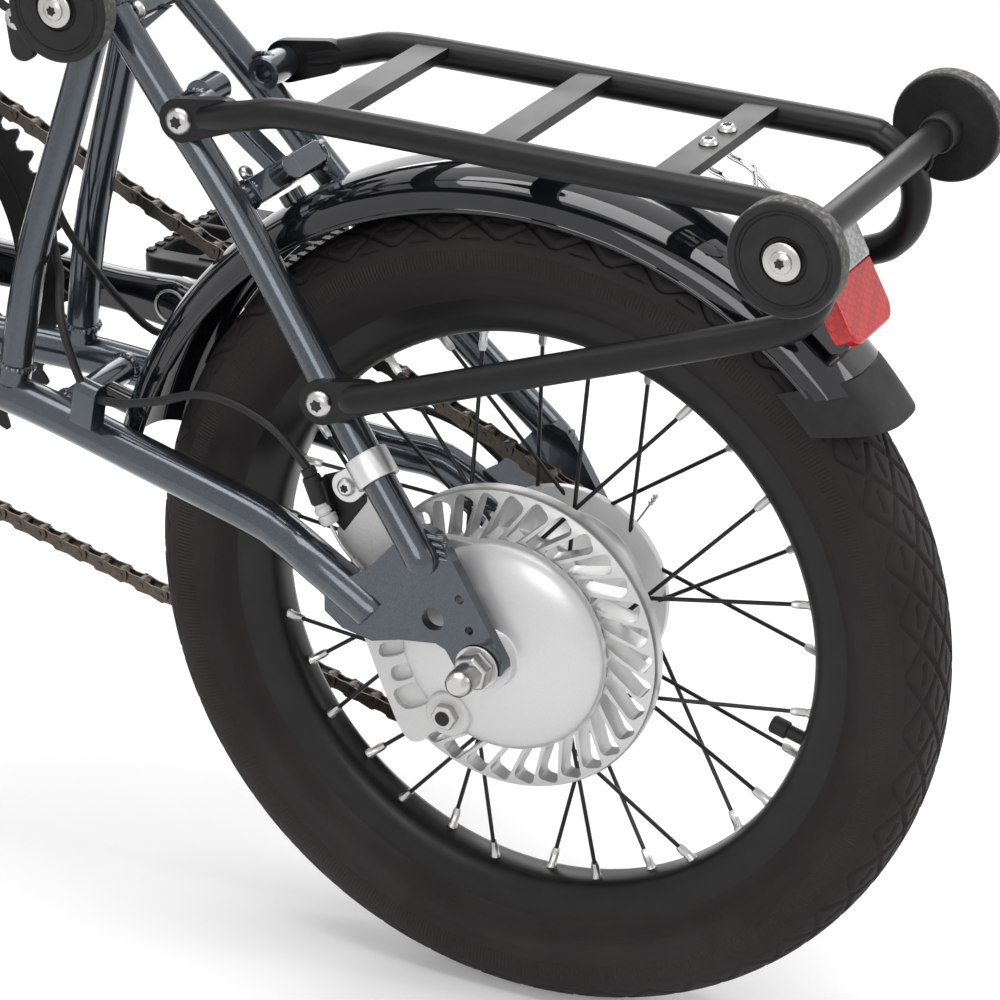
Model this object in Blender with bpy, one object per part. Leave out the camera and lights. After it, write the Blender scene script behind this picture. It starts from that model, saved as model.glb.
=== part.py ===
"""Folding electric bike, in metres. +Z is up, the front points to -X and the drive side is +Y.

The origin lies on the floor, half way between the axles.
"""

import math

import bmesh
import bpy
from mathutils import Matrix, Vector

# Wheels and the level of the beam
WHEEL_RADIUS = 0.200
WHEELBASE = 1.090
BEAM_HEIGHT = 0.570
TYRE_HALF_WIDTH = 0.0258
RIM_FLANGE_RADIUS = 0.1586
RIM_BED_RADIUS = 0.1520
RIM_INNER_RADIUS = 0.1388
RIM_HALF_WIDTH = 0.0140
RIM_LIP = 0.0025
SPOKE_COUNT = 32
SPOKE_RADIUS = 0.0011
SPOKE_LEAN = math.radians(22.5)
FIRST_NIPPLE_ANGLE = math.radians(1.3)

# Rear hub and brake
HUB_FLANGE_RADIUS = 0.0510
HUB_FLANGE_Y = 0.0290
HUB_SHELL_RADIUS = 0.0420
DISC_RADIUS = 0.0750
DISC_INNER_RADIUS = 0.0405
DISC_OUTER_Y = 0.0430
DISC_INNER_Y = 0.0310
DISC_WINDOWS = 34
BRAKE_DOME_RADIUS = 0.0520
BRAKE_SEAT_Y = 0.0652
REAR_AXLE_RADIUS = 0.0048
REAR_AXLE_HALF = 0.0950
DROPOUT_INNER_Y = 0.0655
DROPOUT_OUTER_Y = 0.0715

# Front wheel and fork
MOTOR_RADIUS = 0.0620
MOTOR_HALF_WIDTH = 0.0340
FRONT_AXLE_RADIUS = 0.0060
FRONT_AXLE_HALF = 0.0680
FORK_OFFSET = 0.030
HEAD_ANGLE = math.radians(72)
FORK_DROPOUT_INNER_Y = 0.0500
FORK_DROPOUT_OUTER_Y = 0.0550
FORK_LEG_RADIUS = 0.0110
CROWN_HEIGHT = 0.2435
HEAD_TUBE_LOW = 0.2890
HEAD_TUBE_HIGH = (BEAM_HEIGHT - WHEEL_RADIUS) / math.sin(HEAD_ANGLE) + 0.0580
HEAD_TUBE_RADIUS = 0.0215
STEERER_RADIUS = 0.0125
POST_BASE_LENGTH = 0.0658
POST_FOLD_HEIGHT = HEAD_TUBE_HIGH + POST_BASE_LENGTH
STEERER_TOP = POST_FOLD_HEIGHT - 0.0108
POST_FOLD_OFFSET = 0.0260
HANDLEPOST_LENGTH = 0.3472
HANDLEBAR_HEIGHT = POST_FOLD_HEIGHT + HANDLEPOST_LENGTH
HANDLEPOST_RADIUS = 0.0165
HANDLEBAR_RADIUS = 0.0111
HANDLEBAR_HALF = 0.2800
GRIP_RADIUS = 0.0165
GRIP_LENGTH = 0.1250
BRACKET_Y = HANDLEBAR_HALF - GRIP_LENGTH - 0.0170

# Crank, chain and pedals
CRANK_LENGTH = 0.165
CRANK_SLOPE = math.radians(-4)
BOTTOM_BRACKET_BACK = -0.409
BOTTOM_BRACKET_UP = 0.0955
BOTTOM_BRACKET_RADIUS = 0.0200
BOTTOM_BRACKET_HALF = 0.0385
CRANK_AXLE_RADIUS = 0.0085
CRANK_INNER_Y = 0.0660
CRANK_OUTER_Y = 0.0885
CHAINRING_PITCH_RADIUS = 0.1129
SPROCKET_PITCH_RADIUS = 0.0325
PULLEY_PITCH_RADIUS = 0.0180
CHAIN_HALF_HEIGHT = 0.0040
CHAIN_HALF_WIDTH = 0.0035
CHAINRING_Y = 0.0615
SPROCKET_Y = 0.0470
PEDAL_HALF_LENGTH = 0.0400
PEDAL_WIDTH = 0.0900
PEDAL_HALF_THICKNESS = 0.0110
PEDAL_PIN_RADIUS = 0.0063

# Rear frame
CHAIN_STAY_RADIUS = 0.0100
SEAT_STAY_RADIUS = 0.0080
STRUT_RADIUS = 0.0080
FRAME_PIVOT_BACK = -0.335
FRAME_PIVOT_UP = 0.066
PIVOT_TUBE_RADIUS = 0.0150
PIVOT_TUBE_HALF = 0.0362
PIVOT_PIN_RADIUS = 0.0060
CROWN_BACK = -0.2135
CROWN_UP = 0.2815
CROWN_RADIUS = 0.0130
CROWN_HALF = 0.0437
BLOCK_RADIUS = 0.0170
BLOCK_LENGTH = 0.0380
ROLLER_RADIUS = 0.0280
ROLLER_WIDTH = 0.0240
ROLLER_PIN_RADIUS = 0.0050

# Rack, fenders and light
RACK_RADIUS = 0.0070
RACK_HALF_WIDTH = 0.0560
RACK_SEAT_Y = 0.0473
LOWER_SEAT_Y = 0.0673
BAR_WIDTH = 0.0160
BAR_THICKNESS = 0.0050
FENDER_RADIUS = 0.2215
FENDER_HALF_WIDTH = 0.0300
FENDER_WALL = 0.0018
REAR_ROLLER_Y = 0.0786

# Places on the rear frame as (back, up) from the rear axle
SEAT_BRIDGE = (-0.1375, 0.1930)
STAY_BRIDGE = (-0.2420, 0.0690)
RACK_UPPER_SEAT = (-0.1600, 0.2320)
RACK_LOWER_SEAT = (-0.0795, 0.1155)
RACK_TAIL_BEND = (0.1270, 0.2094)
REAR_ROLLER_PLACE = (0.1550, 0.2320)
TENSIONER_PIVOT = (-0.0350, 0.0040)
PULLEY_PLACE = (-0.0850, -0.0850)
LATCH_PIVOT = (-0.2500, 0.2660)
BRAKE_ARM_SCREW = (-0.0724, 0.0703)
BRAKE_BOSS = (-0.0226, -0.0354)
DROPOUT_HOLE = (-0.0229, 0.0191)
SEAT_BRIDGE_RADIUS = 0.0080
STAY_BRIDGE_RADIUS = 0.0070

# Main frame
EAR_INNER_Y = 0.0365
EAR_OUTER_Y = 0.0415
EAR_PIVOT_RADIUS = 0.0180
SEAT_TUBE_RADIUS = 0.0170
SEAT_TUBE_TOP = BEAM_HEIGHT + 0.0950
SEAT_POST_RADIUS = 0.0134
SEAT_POST_LENGTH = 0.3300
SEAT_POST_TOP = SEAT_TUBE_TOP + 0.1900
BEAM_HALF_WIDTH = 0.0290
BEAM_HALF_DEPTH = 0.0350
BEAM_WALL = 0.0030
BATTERY_LENGTH = 0.2850
HINGE_X = -0.115
HINGE_Y = -0.045
HINGE_PLATE = 0.0100
HINGE_KNUCKLE_RADIUS = 0.0090
STAND_PIVOT_X = -0.095
STAND_PIVOT_Z = BEAM_HEIGHT - 0.0500
STAND_FOOT_X = -0.078
STAND_FOOT_Y = 0.200
STAND_HIP_Y = 0.045
STAND_LEG_RADIUS = 0.0080
STAND_PIN_RADIUS = 0.0040
STAND_BAR_SHARE = 0.054
SADDLE_LENGTH = 0.270
SADDLE_HALF_WIDTH = 0.085

# Clearances and facets
GAP = 0.0003
OVERLAP = 0.0010
WHEEL_STEPS = 32
ROUND_STEPS = 10
SMALL_STEPS = 8
CHAIN_STEP = math.radians(15)
FENDER_STEP = math.radians(8.45)
TUBE_SIDES = 8
SMOOTH_ANGLE = math.radians(35)
MERGE_DISTANCE = 1e-6

X_AXIS = Vector((1, 0, 0))
Y_AXIS = Vector((0, 1, 0))
Z_AXIS = Vector((0, 0, 1))
REAR_AXLE = Vector((WHEELBASE / 2, 0, WHEEL_RADIUS))
FRONT_AXLE = Vector((-WHEELBASE / 2, 0, WHEEL_RADIUS))
SIDES = (-1, 1)


def rear(back, side, up):
    """A point given from the rear axle."""
    return REAR_AXLE + Vector((back, side, up))


def rear_place(place, side=0.0):
    """A named place of the rear frame, at a side value."""
    return rear(place[0], side, place[1])


BOTTOM_BRACKET = rear(BOTTOM_BRACKET_BACK, 0, BOTTOM_BRACKET_UP)
FRAME_PIVOT = rear(FRAME_PIVOT_BACK, 0, FRAME_PIVOT_UP)
CROWN = rear(CROWN_BACK, 0, CROWN_UP)

# Steering column: heights run along it from the point level with the front axle
COLUMN_UP = Vector((math.cos(HEAD_ANGLE), 0, math.sin(HEAD_ANGLE)))
COLUMN_FORE = Vector((-math.sin(HEAD_ANGLE), 0, math.cos(HEAD_ANGLE)))
COLUMN_FOOT = FRONT_AXLE - COLUMN_FORE * FORK_OFFSET


def column(height, side=0.0, fore=0.0):
    """A point given along, across and ahead of the steering axis."""
    return COLUMN_FOOT + COLUMN_UP * height + Y_AXIS * side + COLUMN_FORE * fore


def seat_tube(height):
    """The point of the seat tube's axis at a height above the floor."""
    rise = height - BOTTOM_BRACKET.z
    return BOTTOM_BRACKET + Vector((rise / math.tan(HEAD_ANGLE), 0, rise))


SEAT_UP = (seat_tube(SEAT_TUBE_TOP) - BOTTOM_BRACKET).normalized()
SEAT_BACK = Y_AXIS.cross(SEAT_UP)


# Materials
def paint(name, colour, roughness, metallic):
    made = bpy.data.materials.new(name)
    made.use_nodes = True
    shader = made.node_tree.nodes["Principled BSDF"]
    shader.inputs["Base Color"].default_value = (*colour, 1)
    shader.inputs["Roughness"].default_value = roughness
    shader.inputs["Metallic"].default_value = metallic
    return made


# Mesh helpers
def from_bmesh(form):
    """An object holding a closed form with its faces pointing out."""
    bmesh.ops.remove_doubles(form, verts=form.verts, dist=MERGE_DISTANCE)
    bmesh.ops.recalc_face_normals(form, faces=form.faces)
    mesh = bpy.data.meshes.new("form")
    form.to_mesh(mesh)
    form.free()
    made = bpy.data.objects.new("form", mesh)
    bpy.context.collection.objects.link(made)
    return made


def evaluated_mesh(thing):
    graph = bpy.context.evaluated_depsgraph_get()
    return bpy.data.meshes.new_from_object(thing.evaluated_get(graph))


def combine(target, others, operation):
    """Joins or cuts closed meshes. The exact solver left open edges where faces are nearly flush."""
    for other in others:
        modifier = target.modifiers.new("combine", "BOOLEAN")
        modifier.operation = operation
        modifier.solver = "MANIFOLD"
        modifier.object = other
        mesh = evaluated_mesh(target)
        target.modifiers.clear()
        target.data = mesh
        bpy.data.objects.remove(other)
    return target


def join(target, *others):
    return combine(target, others, "UNION")


def cut(target, *cutters):
    return combine(target, cutters, "DIFFERENCE")


def keep(thing, name, look, origin=None):
    """Names a finished sub-part, gives it its material and sets its origin."""
    mesh = thing.data
    if origin is not None:
        mesh.transform(Matrix.Translation(-origin))
        thing.location = origin
    mesh.materials.clear()
    mesh.materials.append(look)
    mesh.shade_smooth()
    mesh.set_sharp_from_angle(angle=SMOOTH_ANGLE)
    mesh.name = name
    thing.name = name
    return thing


def smooth_route(points, steps):
    """Points read from a smooth curve that passes through the given ones."""
    if steps < 2:
        return points
    ends = [2 * points[0] - points[1], *points, 2 * points[-1] - points[-2]]
    route = []
    for before, start, stop, after in zip(ends, ends[1:], ends[2:], ends[3:]):
        for step in range(steps):
            t = step / steps
            bend = (2 * before - 5 * start + 4 * stop - after) * t * t
            twist = (3 * start - before - 3 * stop + after) * t * t * t
            route.append(start + ((stop - before) * t + bend + twist) / 2)
    route.append(points[-1])
    return route


def tube(points, radius, sides=TUBE_SIDES, steps=1):
    """A round bar or tube along a route, with closed ends."""
    route = smooth_route(points, steps)
    curve = bpy.data.curves.new("tube", "CURVE")
    curve.dimensions = "3D"
    curve.bevel_depth = radius
    curve.bevel_resolution = (sides - 4) // 2
    curve.use_fill_caps = True
    line = curve.splines.new("POLY")
    line.points.add(len(route) - 1)
    for knot, point in zip(line.points, route):
        knot.co = (*point, 1)
    guide = bpy.data.objects.new("tube", curve)
    bpy.context.collection.objects.link(guide)
    form = bmesh.new()
    form.from_mesh(evaluated_mesh(guide))
    bpy.data.objects.remove(guide)
    return from_bmesh(form)


def turned(section, centre, steps=ROUND_STEPS, along=Y_AXIS, out=X_AXIS, start=0.0, sweep=None):
    """A closed section of (radius, height) points turned about an axis, all round or part way."""
    whole = sweep is None
    across = along.cross(out)
    columns = steps if whole else steps + 1
    turn = 2 * math.pi if whole else sweep
    form = bmesh.new()
    rings = []
    for radius, height in section:
        ring = []
        for step in range(columns):
            angle = start + turn * step / steps
            spread = out * math.cos(angle) + across * math.sin(angle)
            if radius > 0 or not ring:
                ring.append(form.verts.new(centre + along * height + spread * radius))
            else:
                ring.append(ring[0])
        rings.append(ring)
    for low, high in zip(rings, rings[1:] + rings[:1]):
        if low[0] is low[1] and high[0] is high[1]:
            continue
        for step in range(steps):
            after = (step + 1) % columns
            corners = (low[step], high[step], high[after], low[after])
            form.faces.new(list(dict.fromkeys(corners)))
    if not whole:
        form.faces.new([ring[0] for ring in rings])
        form.faces.new([ring[-1] for ring in reversed(rings)])
    return from_bmesh(form)


def rod(start, end, radius, steps=ROUND_STEPS):
    """A round bar between two points."""
    along = (end - start).normalized()
    guide = X_AXIS if abs(along.x) < 0.9 else Z_AXIS
    out = (guide - along * guide.dot(along)).normalized()
    length = (end - start).length
    return turned([(0, 0), (radius, 0), (radius, length), (0, length)], start, steps, along, out)


def cross_rod(centre, radius, low, high, steps=ROUND_STEPS):
    """A round bar across the bike, from one side value to the other."""
    return rod(centre + Y_AXIS * low, centre + Y_AXIS * high, radius, steps)


def ring(centre, along, bore, radius, low, high, steps=ROUND_STEPS):
    """A round collar with a bore, turned like a bar on the same axis."""
    guide = X_AXIS if abs(along.x) < 0.9 else Z_AXIS
    out = (guide - along * guide.dot(along)).normalized()
    section = [(bore, low), (radius, low), (radius, high), (bore, high)]
    return turned(section, centre, steps, along, out)


def prism(outline, origin, right, up, low, high):
    """A flat outline pushed out square to its plane."""
    depth = right.cross(up)
    form = bmesh.new()
    loops = []
    for level in (low, high):
        corners = [origin + right * a + up * b + depth * level for a, b in outline]
        loops.append([form.verts.new(corner) for corner in corners])
    form.faces.new(loops[0])
    form.faces.new(list(reversed(loops[1])))
    count = len(outline)
    for index in range(count):
        after = (index + 1) % count
        form.faces.new((loops[0][index], loops[1][index], loops[1][after], loops[0][after]))
    return from_bmesh(form)


def plate(outline, low, high, origin=REAR_AXLE):
    """A plate standing along the bike, between two side values. Its outline is (back, up)."""
    return prism(outline, origin, X_AXIS, Z_AXIS, -high, -low)


def box(centre, size, right=X_AXIS, up=Z_AXIS):
    """A block with its sizes along right, across and along up."""
    half = [length / 2 for length in size]
    outline = [(-half[0], -half[2]), (half[0], -half[2]), (half[0], half[2]), (-half[0], half[2])]
    return prism(outline, centre, right, up, -half[1], half[1])


def arc(centre, radius, start, stop, count):
    """Points along part of a circle, the angles in degrees."""
    points = []
    for index in range(count + 1):
        angle = math.radians(start + (stop - start) * index / count)
        points.append((centre[0] + radius * math.cos(angle), centre[1] + radius * math.sin(angle)))
    return points


def rounded(half_width, half_height, corner, count=3):
    """A rectangle with round corners."""
    a = half_width - corner
    b = half_height - corner
    points = arc((a, b), corner, 0, 90, count)
    points += arc((-a, b), corner, 90, 180, count)
    points += arc((-a, -b), corner, 180, 270, count)
    points += arc((a, -b), corner, 270, 360, count)
    return points


def link(first, first_radius, second, second_radius, count=5):
    """The outline of a bar with round ends about two centres, in a plane's own coordinates."""
    span = Vector((second[0] - first[0], second[1] - first[1]))
    heading = math.degrees(math.atan2(span.y, span.x))
    lean = math.degrees(math.asin((first_radius - second_radius) / span.length))
    points = arc(second, second_radius, heading - 90 + lean, heading + 90 - lean, count)
    points += arc(first, first_radius, heading + 90 - lean, heading + 270 + lean, count)
    return points


def side_of(point, origin=REAR_AXLE):
    """A point's place in the plane of a side plate."""
    return (point.x - origin.x, point.z - origin.z)


def running_bore(pin, steps):
    """The corner radius of a bore whose flats clear the corners of a turning pin."""
    return (pin + GAP) / math.cos(math.pi / steps)


def lugs(centre, along, half, thickness, radius, pin):
    """Two round lugs beside a lever's eye, and the pin between them."""
    made = []
    for side in SIDES:
        inner = centre + along * side * (half + GAP)
        made.append(rod(inner, inner + along * side * thickness, radius, SMALL_STEPS))
    reach = along * (half + GAP + thickness / 2)
    made.append(rod(centre - reach, centre + reach, pin, SMALL_STEPS))
    return made


# Wheels
def tyre(centre, name, look):
    bead = RIM_HALF_WIDTH - RIM_LIP - GAP
    bed = RIM_BED_RADIUS + GAP
    foot = RIM_FLANGE_RADIUS + GAP
    wall = RIM_HALF_WIDTH + 0.0005
    half = [
        (WHEEL_RADIUS, 0.0080),
        (0.1940, 0.0200),
        (0.1800, TYRE_HALF_WIDTH),
        (foot, wall),
        (foot, bead),
        (bed, bead),
    ]
    section = half + [(radius, -side) for radius, side in reversed(half)]
    keep(turned(section, centre, WHEEL_STEPS), name, look, centre)


def rim(centre, name, look):
    inner = RIM_HALF_WIDTH - RIM_LIP
    half = [
        (RIM_BED_RADIUS, inner),
        (RIM_FLANGE_RADIUS, inner),
        (RIM_FLANGE_RADIUS, RIM_HALF_WIDTH),
        (0.1500, RIM_HALF_WIDTH),
        (RIM_INNER_RADIUS, 0.0070),
    ]
    section = half + [(radius, -side) for radius, side in reversed(half)]
    keep(turned(section, centre, WHEEL_STEPS), name, look, centre)


def spokes(centre, flange_radius, flange_y):
    """Crossed spokes that leave the two flanges by turns and end just short of the rim."""
    pitch = 2 * math.pi / SPOKE_COUNT
    reach = (RIM_INNER_RADIUS - GAP) * math.cos(math.pi / WHEEL_STEPS)
    made = []
    for index in range(SPOKE_COUNT):
        side = 1 if index % 2 == 0 else -1
        lean = SPOKE_LEAN if index % 4 < 2 else -SPOKE_LEAN
        end_angle = FIRST_NIPPLE_ANGLE + pitch * index
        start_angle = end_angle + lean
        root_y = side * (flange_y + (0.0016 if lean > 0 else -0.0016))
        start = Vector((math.cos(start_angle), 0, math.sin(start_angle))) * flange_radius
        end = Vector((math.cos(end_angle), 0, math.sin(end_angle))) * reach
        line = [centre + start + Y_AXIS * root_y, centre + end + Y_AXIS * side * 0.003]
        made.append(tube(line, SPOKE_RADIUS, 4))
    return made


def rear_hub(look):
    bore = REAR_AXLE_RADIUS + GAP
    shell = HUB_SHELL_RADIUS
    inner = HUB_FLANGE_Y - 0.0025
    outer = HUB_FLANGE_Y + 0.0025
    neck = DISC_INNER_RADIUS - GAP
    right = [
        (shell, inner - 0.003),
        (HUB_FLANGE_RADIUS, inner),
        (HUB_FLANGE_RADIUS, outer),
        (neck, outer + 0.001),
        (0.030, 0.0368),
        (bore, 0.0370),
    ]
    left = [
        (bore, -DISC_OUTER_Y + GAP),
        (neck, -DISC_OUTER_Y + GAP),
        (neck, -DISC_INNER_Y + GAP),
        (HUB_FLANGE_RADIUS, -DISC_INNER_Y + GAP),
        (HUB_FLANGE_RADIUS, -inner),
        (shell, -inner + 0.003),
    ]
    hub = turned(left + right, REAR_AXLE, 20)
    join(hub, *spokes(REAR_AXLE, HUB_FLANGE_RADIUS - 0.006, HUB_FLANGE_Y - 0.0007))
    keep(hub, "rear_hub", look, REAR_AXLE)


def cooling_disc(look):
    section = [
        (DISC_INNER_RADIUS, -DISC_INNER_Y),
        (DISC_INNER_RADIUS, -DISC_OUTER_Y),
        (DISC_RADIUS - 0.002, -DISC_OUTER_Y),
        (DISC_RADIUS, -DISC_OUTER_Y + 0.004),
        (DISC_RADIUS - 0.002, -DISC_INNER_Y),
    ]
    disc = turned(section, REAR_AXLE, DISC_WINDOWS)
    windows = []
    for index in range(DISC_WINDOWS):
        angle = 2 * math.pi * index / DISC_WINDOWS
        out = X_AXIS * math.cos(angle) + Z_AXIS * math.sin(angle)
        slant = (out * 0.85 + Y_AXIS.cross(out) * 0.53).normalized()
        centre = REAR_AXLE + out * 0.0635 - Y_AXIS * (DISC_INNER_Y + DISC_OUTER_Y) / 2
        windows.append(box(centre, (0.0150, 0.030, 0.0052), slant, slant.cross(Y_AXIS)))
    cut(disc, *windows)
    keep(disc, "cooling_disc", look, REAR_AXLE)


def rear_axle(look):
    washer = DROPOUT_OUTER_Y + GAP
    nut = washer + 0.0015
    half = [
        (REAR_AXLE_RADIUS, nut + 0.0085),
        (0.0085, nut + 0.0085),
        (0.0085, nut),
        (0.0105, nut),
        (0.0105, washer),
        (REAR_AXLE_RADIUS, washer),
    ]
    section = [(0, REAR_AXLE_HALF), (REAR_AXLE_RADIUS, REAR_AXLE_HALF)] + half
    section += [(radius, -side) for radius, side in reversed(section)]
    axle = turned(section, REAR_AXLE, ROUND_STEPS)
    join(axle, cross_rod(REAR_AXLE, 0.0085, SPROCKET_Y + 0.0138, DROPOUT_INNER_Y - GAP))
    keep(axle, "rear_axle", look, REAR_AXLE)


def rear_brake(look):
    bore = REAR_AXLE_RADIUS + GAP
    seat = DISC_OUTER_Y + GAP
    section = [
        (bore, -seat),
        (BRAKE_DOME_RADIUS, -seat),
        (BRAKE_DOME_RADIUS, -seat - 0.0045),
        (0.0475, -0.0520),
        (0.0380, -0.0560),
        (0.0240, -0.0588),
        (0.0140, -0.0598),
        (0.0140, -BRAKE_SEAT_Y),
        (bore, -BRAKE_SEAT_Y),
    ]
    brake = turned(section, REAR_AXLE, 24)
    body = [(0.010, 0.045), (-0.030, 0.062), (-0.062, 0.066), (-0.082, 0.052), (-0.084, 0.010)]
    body += [(-0.074, -0.030), (-0.045, -0.056), (-0.010, -0.045)]
    tongue = [(-0.064, 0.078), (-0.080, 0.078), (-0.084, 0.020), (-0.050, 0.010), (-0.048, 0.040)]
    boss = rear_place(BRAKE_BOSS)
    hollow = cross_rod(REAR_AXLE, bore, -0.070, -0.030)
    join(brake, plate(body, -0.0500, -seat))
    join(brake, plate(tongue, -0.0540, -0.0490))
    join(brake, cross_rod(boss, 0.0110, -0.0560, -0.0480), cross_rod(boss, 0.0060, -0.0640, -0.0550, 6))
    cut(brake, hollow, cross_rod(rear_place(BRAKE_ARM_SCREW), 0.0028, -0.060, -0.040, SMALL_STEPS))
    keep(brake, "rear_brake", look, REAR_AXLE)


def front_motor(look):
    bore = FRONT_AXLE_RADIUS + GAP
    flange = MOTOR_RADIUS + 0.005
    half = [
        (MOTOR_RADIUS, 0.0220),
        (flange, 0.0230),
        (flange, 0.0270),
        (MOTOR_RADIUS - 0.003, 0.0300),
        (0.030, MOTOR_HALF_WIDTH),
        (bore, MOTOR_HALF_WIDTH),
    ]
    section = half + [(radius, -side) for radius, side in reversed(half)]
    motor = turned(section, FRONT_AXLE, 20)
    join(motor, *spokes(FRONT_AXLE, MOTOR_RADIUS, 0.0250))
    keep(motor, "front_motor", look, FRONT_AXLE)


def front_axle(look):
    washer = FORK_DROPOUT_OUTER_Y + GAP
    half = [
        (FRONT_AXLE_RADIUS, washer + 0.0085),
        (0.0100, washer + 0.0085),
        (0.0100, washer),
        (FRONT_AXLE_RADIUS, washer),
        (FRONT_AXLE_RADIUS, FORK_DROPOUT_INNER_Y - GAP),
        (0.0110, FORK_DROPOUT_INNER_Y - GAP),
        (0.0110, MOTOR_HALF_WIDTH + GAP),
        (FRONT_AXLE_RADIUS, MOTOR_HALF_WIDTH + GAP),
    ]
    section = [(0, FRONT_AXLE_HALF), (FRONT_AXLE_RADIUS, FRONT_AXLE_HALF)] + half
    section += [(radius, -side) for radius, side in reversed(section)]
    keep(turned(section, FRONT_AXLE), "front_axle", look, FRONT_AXLE)


# Rear frame
def rear_frame(look):
    pivot = cross_rod(FRAME_PIVOT, PIVOT_TUBE_RADIUS, -PIVOT_TUBE_HALF, PIVOT_TUBE_HALF)
    parts = [cross_rod(CROWN, CROWN_RADIUS, -CROWN_HALF, CROWN_HALF)]
    parts.append(cross_rod(rear_place(SEAT_BRIDGE), SEAT_BRIDGE_RADIUS, -0.039, 0.039))
    parts.append(cross_rod(rear_place(STAY_BRIDGE), STAY_BRIDGE_RADIUS, -0.034, 0.034))
    for side in SIDES:
        chain_stay = [
            rear(-0.332, side * 0.0205, 0.0775),
            rear(-0.256, side * 0.0329, 0.0694),
            rear(-0.190, side * 0.0423, 0.0567),
            rear(-0.127, side * 0.0513, 0.0437),
            rear(-0.106, side * 0.0573, 0.0389),
            rear(-0.086, side * 0.0652, 0.0332),
            rear(-0.060, side * 0.0670, 0.0180),
        ]
        seat_stay = [
            rear(-0.2188, side * 0.0255, 0.2850),
            rear(-0.1735, side * 0.0349, 0.2316),
            rear(-0.1388, side * 0.0403, 0.1894),
            rear(-0.0990, side * 0.0508, 0.1376),
            rear(-0.0627, side * 0.0632, 0.0929),
            rear(-0.0300, side * 0.0745, 0.0550),
        ]
        strut = [
            rear(-0.2170, side * 0.0155, 0.2850),
            rear(-0.2383, side * 0.0209, 0.2113),
            rear(-0.2582, side * 0.0269, 0.1430),
            rear(-0.2695, side * 0.0312, 0.0780),
        ]
        parts.append(tube(chain_stay, CHAIN_STAY_RADIUS))
        parts.append(tube(seat_stay, SEAT_STAY_RADIUS))
        parts.append(tube(strut, STRUT_RADIUS))
        dropout = [(-0.019, 0.058), (0.0110, -0.001), (0.0080, -0.010), (-0.003, -0.0125)]
        dropout += [(-0.0546, -0.001), (-0.078, 0.012), (-0.074, 0.030), (-0.036, 0.064)]
        low, high = sorted((side * DROPOUT_INNER_Y, side * DROPOUT_OUTER_Y))
        parts.append(plate(dropout, low, high))
        low, high = sorted((side * 0.0260, side * (RACK_SEAT_Y - GAP)))
        parts.append(cross_rod(rear_place(RACK_UPPER_SEAT), 0.0080, low, high))
        low, high = sorted((side * 0.0500, side * LOWER_SEAT_Y))
        parts.append(cross_rod(rear_place(RACK_LOWER_SEAT), 0.0080, low, high))
        low, high = sorted((side * (CROWN_HALF - OVERLAP), side * 0.0700))
        parts.append(cross_rod(CROWN, ROLLER_PIN_RADIUS, low, high))
        low, high = sorted((side * (CROWN_HALF + ROLLER_WIDTH + 2 * GAP), side * 0.0715))
        parts.append(cross_rod(CROWN, 0.0085, low, high))
    tensioner = rear_place(TENSIONER_PIVOT)
    parts.append(cross_rod(tensioner, 0.0040, 0.0537, DROPOUT_INNER_Y + OVERLAP, SMALL_STEPS))
    parts.append(cross_rod(tensioner, 0.0065, 0.0525, 0.0540 - GAP, SMALL_STEPS))
    latch = rear_place(LATCH_PIVOT)
    outline = link(side_of(CROWN), 0.0110, side_of(latch), 0.0070)
    parts.append(plate(outline, -0.0370, -0.0330))
    parts.append(cross_rod(latch, 0.0030, -0.0450, -0.0350, SMALL_STEPS))
    parts.append(cross_rod(latch, 0.0060, -0.0462, -0.0443, SMALL_STEPS))
    join(pivot, *parts)
    pivot_bore = running_bore(PIVOT_PIN_RADIUS, ROUND_STEPS)
    bores = [cross_rod(FRAME_PIVOT, pivot_bore, -0.050, 0.050)]
    bores.append(cross_rod(REAR_AXLE, REAR_AXLE_RADIUS + GAP, -0.080, 0.080))
    bores.append(cross_rod(rear_place(DROPOUT_HOLE), 0.0056, -0.0735, -0.0600))
    bores.append(cross_rod(rear_place(DROPOUT_HOLE), 0.0056, 0.0600, 0.0735))
    cut(pivot, *bores)
    keep(pivot, "rear_frame", look, FRAME_PIVOT)


def suspension_block(look):
    start = CROWN - X_AXIS * (CROWN_RADIUS + GAP)
    section = [(0, 0), (0.0125, 0), (BLOCK_RADIUS, 0.006), (BLOCK_RADIUS, 0.016)]
    section += [(0.0140, 0.019), (BLOCK_RADIUS, 0.022), (BLOCK_RADIUS, BLOCK_LENGTH), (0, BLOCK_LENGTH)]
    keep(turned(section, start, 12, -X_AXIS, Y_AXIS), "suspension_block", look, FRAME_PIVOT)


def roller(centre, side, inner_y, name, look):
    section = [
        (ROLLER_PIN_RADIUS + GAP, 0),
        (ROLLER_RADIUS - 0.003, 0),
        (ROLLER_RADIUS, 0.003),
        (ROLLER_RADIUS, ROLLER_WIDTH - 0.003),
        (ROLLER_RADIUS - 0.003, ROLLER_WIDTH),
        (ROLLER_PIN_RADIUS + GAP, ROLLER_WIDTH),
    ]
    turned_about = centre + Y_AXIS * side * inner_y
    keep(turned(section, turned_about, 16, Y_AXIS * side), name, look, centre)


def latch_lever(look):
    centre = rear_place(LATCH_PIVOT)
    tab = rear(-0.262, 0, 0.248)
    lever = plate(link(side_of(centre), 0.0080, side_of(tab), 0.0110, 8), -0.0440, -0.0370 - GAP)
    cut(lever, cross_rod(centre, 0.0030 + GAP, -0.050, -0.030, SMALL_STEPS))
    keep(lever, "latch_lever", look, centre)


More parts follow.
